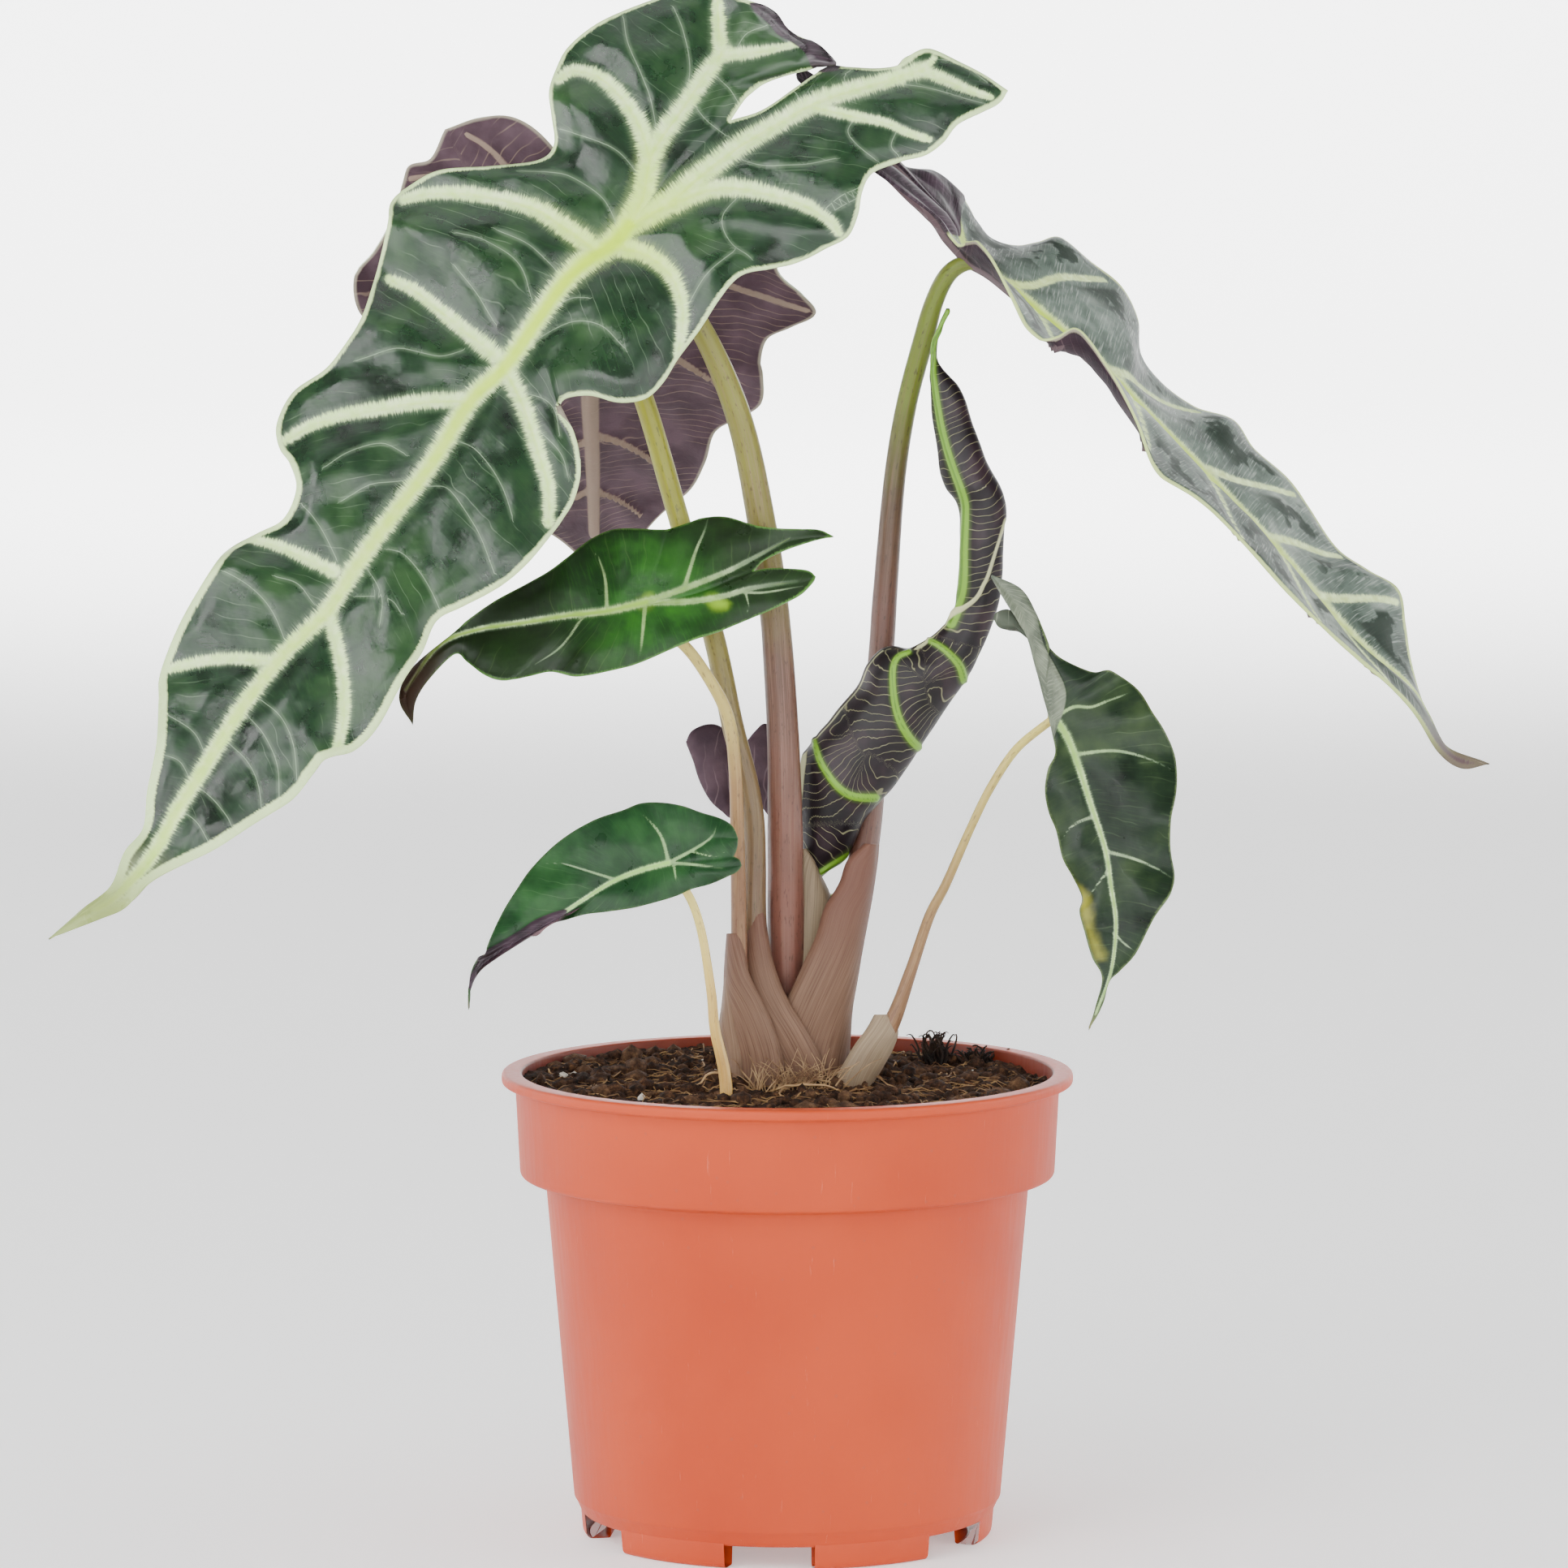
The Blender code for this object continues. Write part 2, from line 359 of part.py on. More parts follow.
def plane_depth(leaf, x, z):
    dx = x - leaf["joint"][0]
    dz = z - leaf["joint"][1]
    return (leaf["depth"] + leaf["tilt"][0] * dx + leaf["tilt"][1] * dz
            + leaf["bend"][0] * dx ** 2 + leaf["bend"][1] * dz ** 2)


def rib_points(leaf, side, t):
    """Drawn x, z and depth off the plane of the midrib (t up to 1) and of this side's basal rib."""
    midrib = smooth_line([(*point, 0)[:3] for point in leaf["midrib"]])
    lobe = smooth_line([(*point, 0)[:3] for point in leaf["ribs"][side]])
    return np.where(t[:, None] <= 1, at_fraction(midrib, np.clip(t, 0, 1)),
                    at_fraction(lobe, np.clip(t - 1, 0, 1)))


def margin_points(leaf, side, edge, t):
    """Drawn x, z and depth off the plane of the outer or inner margin."""
    if edge == "outer":
        rows = leaf["outer"][side]
        index = np.interp(t, [row[0] for row in rows], range(len(rows)))
        return through_rows([row[1:4] for row in rows], index)
    notch = leaf["notch"][side]
    seam = smooth_line(leaf["seam"])
    rows = [(notch, *leaf["seam"][-1], 0)] + leaf["inner"][side]
    index = np.interp(t, [row[0] for row in rows], range(len(rows)))
    return np.where(t[:, None] <= notch, at_fraction(seam, np.clip((t - 1) / (notch - 1), 0, 1)),
                    through_rows([row[1:4] for row in rows], index))


def shared_rows(leaf):
    """Values of t for the midrib and for each basal rib, the same wherever two sheets meet."""
    def tidy(values):
        kept = []
        for value in sorted(values):
            if not kept or value - kept[-1] > ROW_SPACING:
                kept.append(value)
        return kept

    outer = [[row[0] for row in leaf["outer"][side]] for side in (0, 1)]
    midrib = tidy([t for side in outer for t in side if t < 1] + [1.0])
    lobes = [[t for t in outer[side] if t > 1] + [row[0] for row in leaf["inner"][side]]
             for side in (0, 1)]
    seam = tidy([0.0, 1.0] + [(t - 1) / (leaf["notch"][side] - 1) for side in (0, 1)
                              for t in lobes[side] if t < leaf["notch"][side] - 0.02])
    ribs = []
    for side in (0, 1):
        notch = leaf["notch"][side]
        beyond = tidy([t for t in lobes[side] if t > notch + 0.01])
        ribs.append([1 + share * (notch - 1) for share in seam] + beyond)
    return midrib, ribs


def sheet(leaf, side, edge, t):
    """Grid of points in space, rows along t and columns from the rib to the margin."""
    rib = rib_points(leaf, side, t)
    margin = margin_points(leaf, side, edge, t)
    v = np.array(ACROSS)[None, :]
    flat = rib[:, None, :2] * (1 - v[..., None]) + margin[:, None, :2] * v[..., None]
    length = np.linalg.norm(margin[:, :2] - rib[:, :2], axis=1)[:, None]
    spread = v ** leaf.get("spread", 2)
    off_plane = rib[:, 2:3] * (1 - spread) + margin[:, 2:3] * spread
    depth = plane_depth(leaf, flat[..., 0], flat[..., 1]) + off_plane
    points = in_space(np.concatenate([flat, depth[..., None]], axis=-1))
    up = np.array(leaf["up"]) / np.linalg.norm(leaf["up"])
    return points + up * (leaf["sag"] * length * 4 * v * (1 - v))[..., None]


def blade_mesh(name, leaf):
    """The blade's middle sheet as triangles, with its ribs and veins in a vertex group."""
    midrib, ribs = shared_rows(leaf)
    form = bmesh.new()
    weights = {}
    for side in (0, 1):
        vein_rows = [row[0] for row in leaf["outer"][side] if row[4]]
        for edge, rows in (("outer", midrib + ribs[side][1:]), ("inner", ribs[side])):
            t = np.array(rows)
            points = sheet(leaf, side, edge, t) * MM
            grid = [[form.verts.new(point) for point in row] for row in points]
            for i, row in enumerate(grid):
                on_vein = edge == "outer" and any(abs(t[i] - vein) < 0.005 for vein in vein_rows)
                for j, vert in enumerate(row):
                    place = tuple(round(value, 5) for value in vert.co)
                    weight = 1.0 if j == 0 else 0.0
                    if on_vein and 0 < j and ACROSS[j] <= VEIN_REACH:
                        weight = VEIN_WEIGHT
                    weights[place] = max(weights.get(place, 0.0), weight)
            for i in range(len(grid) - 1):
                for j in range(len(ACROSS) - 1):
                    a, b = grid[i][j], grid[i + 1][j]
                    c, d = grid[i + 1][j + 1], grid[i][j + 1]
                    form.faces.new((a, b, c))
                    form.faces.new((a, c, d))
    bmesh.ops.remove_doubles(form, verts=form.verts, dist=2e-6)
    bmesh.ops.recalc_face_normals(form, faces=form.faces)
    total = sum((face.normal * face.calc_area() for face in form.faces), Vector())
    if total.dot(Vector(leaf["up"])) < 0:
        bmesh.ops.reverse_faces(form, faces=form.faces)
    mesh = bpy.data.meshes.new(name)
    form.to_mesh(mesh)
    form.free()
    return mesh, weights


def add_blade(name, leaf, finish, group, parent):
    mesh, weights = blade_mesh(name, leaf)
    mesh.shade_smooth()
    blade = add_object(name, mesh, finish, group, parent)
    thick = blade.vertex_groups.new(name="ribs")
    for vert in mesh.vertices:
        place = tuple(round(value, 5) for value in vert.co)
        thick.add([vert.index], weights.get(place, 0.0), "REPLACE")
    shell = blade.modifiers.new("thickness", "SOLIDIFY")
    shell.thickness = RIB_THICKNESS * MM
    shell.offset = -1.0
    shell.vertex_group = "ribs"
    shell.thickness_vertex_group = BLADE_THICKNESS / RIB_THICKNESS
    return blade


# The stalks. Each route starts at its foot in real coordinates and goes on with drawn points
# (x, z, y, radius), then ends square to the underside of its blade.

PETIOLES = {
    "petiole_front": dict(
        foot=(-2.0, 4.6, 97.1, 3.4), blade=FRONT, end=2.3, approach=9,
        route=[(-0.3, 112, 3, 3.9), (-0.3, 129, 1, 3.9), (-0.4, 144, -1, 3.7), (-0.6, 160, -2, 3.5),
               (-1.2, 175, -2, 3.3), (-2.7, 195, -2, 3.1), (-5.3, 213, -2.5, 3.0),
               (-10, 235, -4, 2.7), (-17.9, 253.6, -6, 2.3), (-26.5, 265, -6.5, 2.0)]),
    "petiole_back": dict(
        foot=(-0.7, -3.9, 97.1, 3.4), blade=BACK, end=2.3, approach=9,
        route=[(-4.0, 112, -4.6, 3.1), (-6.8, 127, -5, 2.7), (-7.2, 152, -4.5, 2.3),
               (-11.6, 171.6, -3.5, 2.3), (-15.5, 190, -1.5, 2.3), (-22.3, 213, 1, 2.2),
               (-29.7, 238.5, 3, 2.1), (-35.5, 252, 4, 2.0)]),
    "petiole_right": dict(
        foot=(7.4, -1.6, 97.1, 3.6), blade=None, end=0, approach=0,
        route=[(10, 113, -0.5, 3.5), (12.4, 126, 2, 3.4), (15, 138, 6, 3.2), (17, 152, 10.5, 3.0),
               (18.3, 170, 14.5, 2.8), (19.6, 186, 15, 2.7), (20.5, 200, 14.5, 2.6),
               (22.3, 222, 13, 2.3), (24.7, 237.4, 11.5, 2.2), (28.2, 251, 9, 2.2),
               (30.6, 258.9, 7.5, 2.0), (33.6, 263.8, 6.2, 1.9), (37.8, 265.9, 5, 1.7)]),
    "petiole_young": dict(
        foot=(4.8, 5.9, 97.1, 1.7), blade=None, end=0, approach=0,
        route=[(6.4, 110, 6.4, 1.7), (8.0, 124, 6.8, 1.7), (8.4, 135.3, 6.3, 1.6)]),
    "petiole_middle": dict(
        foot=(-8.2, -4.2, 97.1, 2.9), blade=MIDDLE, end=2.2, approach=5,
        route=[(-9.4, 108, -6.5, 2.4), (-10, 119.6, -8.5, 1.8), (-10.4, 144.4, -11, 1.5),
               (-11, 162.6, -12, 1.35), (-12.6, 173, -12, 1.3), (-17, 181.5, -13.5, 1.2),
               (-22, 188, -15, 1.2)]),
    "petiole_lower_left": dict(
        foot=(-12.6, -25.0, 80.0, 1.4), blade=LOWER_LEFT, end=2.2, approach=5,
        route=[(-12.9, 95, -25, 1.3), (-15.2, 106.7, -26, 1.1), (-16, 114.8, -26.5, 1.0),
               (-18.1, 127.7, -27, 0.9), (-21, 135.5, -27.5, 0.9)]),
    "petiole_lower_right": dict(
        foot=(15.0, -6.0, 80.0, 2.4), blade=LOWER_RIGHT, end=2.2, approach=5,
        route=[(15.2, 96, -6, 2.5), (19.5, 104, -6.5, 2.2), (22.5, 109.4, -7, 1.7),
               (25.9, 119, -7.5, 1.3), (29.8, 130.6, -8, 1.1), (33.2, 137.3, -8.5, 1.0),
               (38.3, 149, -9, 0.9), (42.7, 158, -9.5, 0.9), (48.1, 166, -10.5, 0.9)]),
}
STALK_POINTS = 15
UPRIGHT = 2.0  # each stalk starts with this much straight up, mm


def stalk_route(plan):
    """Points in space (mm) with a radius each, from the foot to the blade."""
    x, y, z, radius = plan["foot"]
    points = [(x, y, z, radius)]
    for drawn in plan["route"]:
        points.append((*in_space(drawn[:3]), drawn[3]))
    leaf = plan["blade"]
    if leaf is not None:
        up = np.array(leaf["up"]) / np.linalg.norm(leaf["up"])
        joint = in_space((*leaf["joint"], leaf["depth"]))
        radius = points[-1][3]
        points.append((*(joint - up * plan["approach"]), radius))
        points.append((*(joint - up * plan["end"]), radius))
    dense = smooth_line(points, 10)
    route = at_fraction(dense, np.linspace(0, 1, STALK_POINTS))
    foot_stretch = np.array([[x, y, z, points[0][3]], [x, y, z + UPRIGHT, points[0][3]]])
    return np.vstack([foot_stretch, route[1:]])


def add_stalk(name, plan, finish, group, parent):
    line = bpy.data.curves.new(name, "CURVE")
    line.dimensions = "3D"
    line.bevel_depth = MM
    line.bevel_resolution = 2
    line.use_fill_caps = True
    route = stalk_route(plan)
    spline = line.splines.new("POLY")
    spline.points.add(len(route) - 1)
    for point, (x, y, z, radius) in zip(spline.points, route):
        point.co = (x * MM, y * MM, z * MM, 1.0)
        point.radius = radius
    return add_object(name, line, finish, group, parent)


# The rolled leaf: sections square to a centre line, each a closed turn whose last edge overlaps the
# first in a step, and two basal lobes that stick out behind the other stalks.

ROLL_ROUTE = [(34.1, 257, 2, 0.6), (32.6, 250, 2, 1.5), (34.2, 238.8, 3, 2.9), (37, 226.9, 3, 4.0),
              (40.3, 213.3, 3, 4.5), (39.9, 199.7, 3.5, 4.8), (34.5, 187, 4, 6.2),
              (27.5, 177.5, 4.5, 7.8), (21, 169, 5, 8.2), (14.6, 161.5, 5.5, 8.0),
              (10.6, 152.2, 6, 6.0), (8.8, 145, 6.3, 3.5), (8.4, 136.5, 6.3, 1.7)]
ROLL_SECTIONS = 17
ROLL_SIDES = 14
ROLL_STEP = 0.22  # how much smaller the roll is where its edge tucks in
ROLL_FLATNESS = 0.68
ROLL_EDGE_ANGLE = math.radians(200)
LOBE_OUTLINE = [(13, 160), (4, 167), (-4.7, 170.4), (-14, 170), (-18, 169.5), (-20.7, 167),
                (-19.2, 162.6), (-17.6, 157), (-12, 151), (-4, 145), (5, 140.5), (10, 148)]
LOBE_DEPTH = 6.5
LOBE_THICKNESS = 1.0


def roll_mesh(name):
    stations = at_fraction(smooth_line(ROLL_ROUTE, 10), np.linspace(0, 1, ROLL_SECTIONS))
    centres = in_space(stations[:, :3])
    form = bmesh.new()
    rings = []
    for i, centre in enumerate(centres):
        ahead = centres[min(i + 1, ROLL_SECTIONS - 1)] - centres[max(i - 1, 0)]
        ahead = Vector(ahead).normalized()
        back = Vector((0, 1, 0))
        across = back.cross(ahead).normalized()
        back = ahead.cross(across).normalized()
        ring = []
        for k in range(ROLL_SIDES):
            share = k / (ROLL_SIDES - 1)
            angle = ROLL_EDGE_ANGLE + share * math.tau * (ROLL_SIDES - 1) / ROLL_SIDES
            radius = stations[i, 3] * (1 - ROLL_STEP * share)
            offset = across * math.cos(angle) + back * math.sin(angle) * ROLL_FLATNESS
            ring.append(form.verts.new((Vector(centre) + offset * radius) * MM))
        rings.append(ring)
    for ring, after in zip(rings, rings[1:]):
        for k in range(ROLL_SIDES):
            m = (k + 1) % ROLL_SIDES
            form.faces.new((ring[k], ring[m], after[m], after[k]))
    form.faces.new(rings[0])
    form.faces.new(rings[-1])
    bmesh.ops.triangulate(form, faces=form.faces)
    bmesh.ops.recalc_face_normals(form, faces=form.faces)
    mesh = bpy.data.meshes.new(name)
    form.to_mesh(mesh)
    form.free()
    return mesh


def lobe_mesh(name):
    form = bmesh.new()
    outline = smooth_line(LOBE_OUTLINE, 2)
    points = [in_space((x, z, LOBE_DEPTH - LOBE_THICKNESS / 2)) * MM for x, z in outline]
    face = form.faces.new([form.verts.new(point) for point in points])
    grown = bmesh.ops.extrude_face_region(form, geom=[face])["geom"]
    verts = [part for part in grown if isinstance(part, bmesh.types.BMVert)]
    bmesh.ops.translate(form, verts=verts, vec=(0, LOBE_THICKNESS * MM, 0))
    bmesh.ops.triangulate(form, faces=form.faces)
    bmesh.ops.recalc_face_normals(form, faces=form.faces)
    mesh = bpy.data.meshes.new(name)
    form.to_mesh(mesh)
    form.free()
    return mesh


def add_rolled_blade(name, finish, group, cutters, parent):
    roll = add_object(name, roll_mesh(name), finish, group, parent)
    lobes = add_object("lobes", lobe_mesh("lobes"), None, cutters)
    join_solids(roll, [lobes], "UNION")
    roll.data.shade_smooth()
    return roll


# Pot, soil and corm

def turned(name, profile, finish, group, parent=None):
    """A solid turned about +Z from (radius, height) points in mm, inner end first."""
    mesh = bpy.data.meshes.new(name)
    verts = [(radius * MM, 0, height * MM) for radius, height in profile]
    edges = [(i, i + 1) for i in range(len(verts) - 1)]
    mesh.from_pydata(verts, edges, [])
    solid = add_object(name, mesh, finish, group, parent)
    screw = solid.modifiers.new("turn", "SCREW")
    screw.steps = TURNING_STEPS
    screw.render_steps = TURNING_STEPS
    screw.use_merge_vertices = True
    screw.merge_threshold = 0.00001
    screw.use_smooth_shade = True
    result = evaluated_mesh(solid)
    solid.modifiers.clear()
    old = solid.data
    solid.data = result
    bpy.data.meshes.remove(old)
    if finish is not None and not result.materials:
        result.materials.append(finish)
    return solid


def corner(centre, radius, start, stop, count):
    """Points of a round corner of the profile, angles in degrees."""
    angles = np.radians(np.linspace(start, stop, count))
    return [(centre[0] + radius * math.cos(a), centre[1] + radius * math.sin(a)) for a in angles]


def pot_profile():
    lip = LIP_DIAMETER / 2
    collar_top = COLLAR_TOP_DIAMETER / 2
    collar_foot = COLLAR_FOOT_DIAMETER / 2
    body_top = BODY_TOP_DIAMETER / 2
    body_base = BODY_BASE_DIAMETER / 2
    step = POT_HEIGHT - COLLAR_HEIGHT
    floor = FOOT_HEIGHT + WALL
    bend = 4.0
    inner = [(0, floor), (body_base - bend - WALL, floor), (body_base - WALL, floor + bend),
             (body_top - WALL, step - WALL), (collar_foot - WALL, step + 0.6),
             (collar_top - WALL, POT_HEIGHT - LIP_THICKNESS - 1.0),
             (lip - 1.6, POT_HEIGHT - 0.4), (lip - 0.9, POT_HEIGHT)]
    outer = [(lip - 0.2, POT_HEIGHT - 0.2), (lip, POT_HEIGHT - 0.9), (lip - 0.3, POT_HEIGHT - LIP_THICKNESS),
             (collar_top + 0.5, POT_HEIGHT - LIP_THICKNESS - 0.7),
             (collar_top, POT_HEIGHT - LIP_THICKNESS - 1.6), (collar_foot, step + 0.8),
             (collar_foot - 0.6, step), (body_top + 0.6, step), (body_top, step - 0.7)]
    base = corner((body_base - bend, FOOT_HEIGHT + bend), bend, 0, -90, 5)
    return inner + outer + base + [(0, FOOT_HEIGHT)]


def foot_mesh(name, middle_angle):
    """A pad under the pot's base: a rounded block spun over its share of the ring."""
    outer = FOOT_OUTER_RADIUS
    inner = outer - FOOT_WIDTH
    edge = 1.2
    section = [(inner, FOOT_HEIGHT + 0.7), (inner, 0.6), (inner + 0.6, 0), (outer - edge, 0),
               (outer - 0.35, 0.35), (outer, edge), (outer + 0.4, FOOT_HEIGHT + 0.7)]
    form = bmesh.new()
    turn = middle_angle - FOOT_ANGLE / 2
    points = [(r * MM * math.cos(turn), r * MM * math.sin(turn), z * MM) for r, z in section]
    face = form.faces.new([form.verts.new(point) for point in points])
    bmesh.ops.spin(form, geom=[face], cent=(0, 0, 0), axis=(0, 0, 1), angle=FOOT_ANGLE, steps=5,
                   use_duplicate=False)
    bmesh.ops.remove_doubles(form, verts=form.verts, dist=1e-6)
    bmesh.ops.recalc_face_normals(form, faces=form.faces)
    mesh = bpy.data.meshes.new(name)
    form.to_mesh(mesh)
    form.free()
    return mesh


def add_pot(finish, group, cutters, parent):
    pot = turned("pot", pot_profile(), finish, group, parent)
    feet = []
    drains = []
    for i in range(FOOT_COUNT):
        angle = math.tau * i / FOOT_COUNT + math.radians(30)
        feet.append(add_object(f"foot_{i}", foot_mesh(f"foot_{i}", angle), None, cutters))
        form = bmesh.new()
        bmesh.ops.create_cone(form, cap_ends=True, segments=12, radius1=DRAIN_DIAMETER / 2 * MM,
                              radius2=DRAIN_DIAMETER / 2 * MM, depth=6 * MM)
        mesh = bpy.data.meshes.new(f"drain_{i}")
        form.to_mesh(mesh)
        form.free()
        drain = add_object(f"drain_{i}", mesh, None, cutters)
        between = angle + math.pi / FOOT_COUNT
        drain.location = (DRAIN_RING_RADIUS * MM * math.cos(between),
                          DRAIN_RING_RADIUS * MM * math.sin(between), (FOOT_HEIGHT + WALL / 2) * MM)
        make_cutter(drain)
        drains.append(drain)
    join_solids(pot, feet, "UNION")
    join_solids(pot, drains, "DIFFERENCE")
    pot.data.set_sharp_from_angle(angle=math.radians(40))
    return pot


def corm_profile(clearance):
    """Outer points of the corm, or of the bore that holds it, bottom first."""
    bottom = CORM_TOP - CORM_DEPTH - clearance
    return [(0, bottom), (5 + clearance, bottom + 0.8), (8.5 + clearance, bottom + 6),
            (CORM_RADIUS + clearance, bottom + 20)]


def add_corm(finish, group, parent):
    side = corm_profile(0)
    profile = [(0, CORM_TOP), (CORM_RADIUS - 1, CORM_TOP), (CORM_RADIUS, CORM_TOP - 1)]
    return turned("corm", profile + side[::-1], finish, group, parent)


def soil_height(x, y):
    """Height of the soil, mm: a low mound at the middle with gentle hollows."""
    radius = math.hypot(x, y)
    mound = 1.6 * math.exp(-(radius / 24) ** 2)
    return SOIL_TOP + mound + 0.6 * math.sin(0.19 * x + 0.8) * math.cos(0.16 * y - 0.4)


def add_soil(finish, group, cutters, parent):
    wall = COLLAR_TOP_DIAMETER / 2 - WALL - GAP
    step = POT_HEIGHT - COLLAR_HEIGHT
    body_top = BODY_TOP_DIAMETER / 2 - WALL - GAP
    body_base = BODY_BASE_DIAMETER / 2 - WALL - GAP
    floor = FOOT_HEIGHT + WALL + GAP
    bore = corm_profile(GAP)
    surface = [(radius, SOIL_TOP) for radius in (CORM_RADIUS + GAP, 18, 25, 33, 41, 49)]
    profile = bore + surface + [(wall - 0.5, SOIL_TOP), (wall - 1.3, step + 1.2),
                                (body_top, step - 0.8), (body_base, floor + 4.5),
                                (body_base - 5, floor), (0, floor)]
    soil = turned("soil", profile, finish, group, parent)
    for vert in soil.data.vertices:
        if vert.co.z > (SOIL_TOP - 0.1) * MM:
            vert.co.z = soil_height(vert.co.x / MM, vert.co.y / MM) * MM
    holes = []
    for name in ("petiole_lower_left", "petiole_lower_right"):
        x, y, z, radius = PETIOLES[name]["foot"]
        form = bmesh.new()
        bmesh.ops.create_cone(form, cap_ends=True, segments=12, radius1=(radius + 0.6) * MM,
                              radius2=(radius + 0.6) * MM, depth=20 * MM)
        mesh = bpy.data.meshes.new(f"hole_{name}")
        form.to_mesh(mesh)
        form.free()
        hole = add_object(f"hole_{name}", mesh, None, cutters)
        hole.location = (x * MM, y * MM, (z - GAP + 10) * MM)
        make_cutter(hole)
        holes.append(hole)
    join_solids(soil, holes, "DIFFERENCE")
    return soil


def build():
    clear_scene()
    plant = collection(COLLECTION)
    cutters = collection("cutters")
    stand = bpy.data.objects.new("stand", None)
    plant.objects.link(stand)
    terracotta = material("moulded_polypropylene", (0.60, 0.21, 0.12), 0.42)
    peat = material("peat", (0.045, 0.025, 0.014), 0.95)
    flesh = material("corm_flesh", (0.28, 0.19, 0.10), 0.7)
    green = material("leaf_green", (0.028, 0.105, 0.045), 0.3)
    purple = material("leaf_underside", (0.13, 0.07, 0.08), 0.45)
    young = material("young_leaf", (0.06, 0.025, 0.035), 0.35)
    stalk = material("stalk", (0.34, 0.25, 0.14), 0.45)
    small_stalk = material("small_stalk", (0.55, 0.45, 0.25), 0.45)
    add_pot(terracotta, plant, cutters, stand)
    add_soil(peat, plant, cutters, stand)
    add_corm(flesh, plant, stand)
    for name, leaf in BLADES.items():
        finish = purple if name == "blade_back" else green
        add_blade(name, leaf, finish, plant, stand)
    add_rolled_blade("blade_young", young, plant, cutters, stand)
    for name, plan in PETIOLES.items():
        small = name.endswith(("middle", "left", "lower_right"))
        add_stalk(name, plan, small_stalk if small else stalk, plant, stand)
    stand.location = (POT_AXIS[0] * MM, POT_AXIS[1] * MM, 0.0)


build()
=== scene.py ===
"""The looks of a potted African mask plant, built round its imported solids.

Metres, +Z up. Leaf and stalk outlines are drawn in a front view in millimetres, as in the CAD: x to
the right of the pot's axis, z above the table, y the depth away from the viewer. Veins and folds are
drawn as pixels of the photograph, which photo_points turns into the same front view.
"""
import math
import random

import bmesh
import bpy
import numpy as np
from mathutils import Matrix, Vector, kdtree, noise


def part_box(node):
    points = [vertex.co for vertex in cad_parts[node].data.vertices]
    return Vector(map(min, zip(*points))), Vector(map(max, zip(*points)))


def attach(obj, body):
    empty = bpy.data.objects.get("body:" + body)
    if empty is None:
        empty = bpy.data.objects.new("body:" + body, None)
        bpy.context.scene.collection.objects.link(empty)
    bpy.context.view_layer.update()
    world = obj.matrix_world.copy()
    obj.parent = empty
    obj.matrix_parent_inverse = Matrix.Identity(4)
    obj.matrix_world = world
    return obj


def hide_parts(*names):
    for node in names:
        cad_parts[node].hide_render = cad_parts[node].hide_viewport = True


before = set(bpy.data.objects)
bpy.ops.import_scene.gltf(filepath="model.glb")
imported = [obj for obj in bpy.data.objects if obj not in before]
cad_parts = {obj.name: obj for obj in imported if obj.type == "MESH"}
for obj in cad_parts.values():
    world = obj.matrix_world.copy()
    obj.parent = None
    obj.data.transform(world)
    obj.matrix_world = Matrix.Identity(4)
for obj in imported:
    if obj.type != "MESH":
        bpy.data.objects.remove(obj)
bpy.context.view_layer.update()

MM = 0.001
PHOTO_SIDE = 1932  # the photograph is square, in pixels
PHOTO_FOCAL = 9585.0  # its focal length, in pixels
PHOTO_PITCH = 0.100  # the camera looks down by this angle, in radians
SENSOR_WIDTH = 36.0  # mm
EYE = np.array([-0.7, -1620.0, 321.0])  # the camera's place, mm
SEED = 41
FLOOR_SIDES = 48
PAPER_GLOW = 0.42  # the studio paper is lit from behind as well, which keeps it near white
SKY_GLOW = 0.38
VIEW_REACH = 100.0  # how far the camera sees, m
LAMPS = [  # name, place and width in m, power in W
    ("key", (-0.9, -1.2, 1.3), 1.0, 20.0),
    ("fill", (1.2, -0.8, 0.8), 1.2, 1.6),
    ("top", (0.0, 0.1, 1.6), 1.0, 4.0)]
LAMP_TARGET = (0.0, 0.0, 0.18)  # m
# The wall lamps stand round the plant and look outwards at the studio wall, m and W
WALL_LAMP_RADIUS, WALL_LAMP_HEIGHT, WALL_LAMP_WIDTH, WALL_LAMP_POWER = 2.4, 2.6, 2.2, 270.0
WALL_TARGET_RADIUS, WALL_TARGET_HEIGHT, WALL_LAMP_SPREAD = 5.2, 0.2, 120
STUDIO_WALL = [(0.0, 0.0), (3.0, 0.0), (4.6, 0.0), (5.4, 0.12), (5.9, 0.6), (6.0, 1.4), (6.0, 3.2)]

# Driving dimensions of the pot, as in the CAD, mm
LIP_DIAMETER = 120.0
POT_HEIGHT = 98.0
COLLAR_TOP_DIAMETER = 114.3
COLLAR_FOOT_DIAMETER = 112.3
COLLAR_HEIGHT = 19.5
BODY_TOP_DIAMETER = 101.7
BODY_BASE_DIAMETER = 89.0
LIP_THICKNESS = 2.2
WALL = 1.4
POT_FLOOR = 1.8
FOOT_HEIGHT = 4.8
FOOT_COUNT = 6
FOOT_PITCH = 360 / FOOT_COUNT  # degrees from one foot to the next
FOOT_OUTER_RADIUS = 43.6
FOOT_WIDTH = 6.0
FOOT_ANGLE = math.radians(35)
DRAIN_DIAMETER = 9.0
DRAIN_RING_RADIUS = 30.0
DRAIN_CUT = 12.0  # height of what cuts the drain holes
SOIL_TOP = 94.0
SOIL_RADIUS = 55.6
SOIL_FOOT_RADIUS = 50.0  # the soil's skin is closed underneath, inside the pot
SOIL_FOOT_HEIGHT = 78.0
CRUMB_REACH = 53.0  # how far out crumbs lie
FIBRE_REACH = 54.0  # where a fibre ends at the wall
INNER_SHADE_RADII = (56.3, 55.75)  # where the painted shade on the pot's inside wall begins and is full
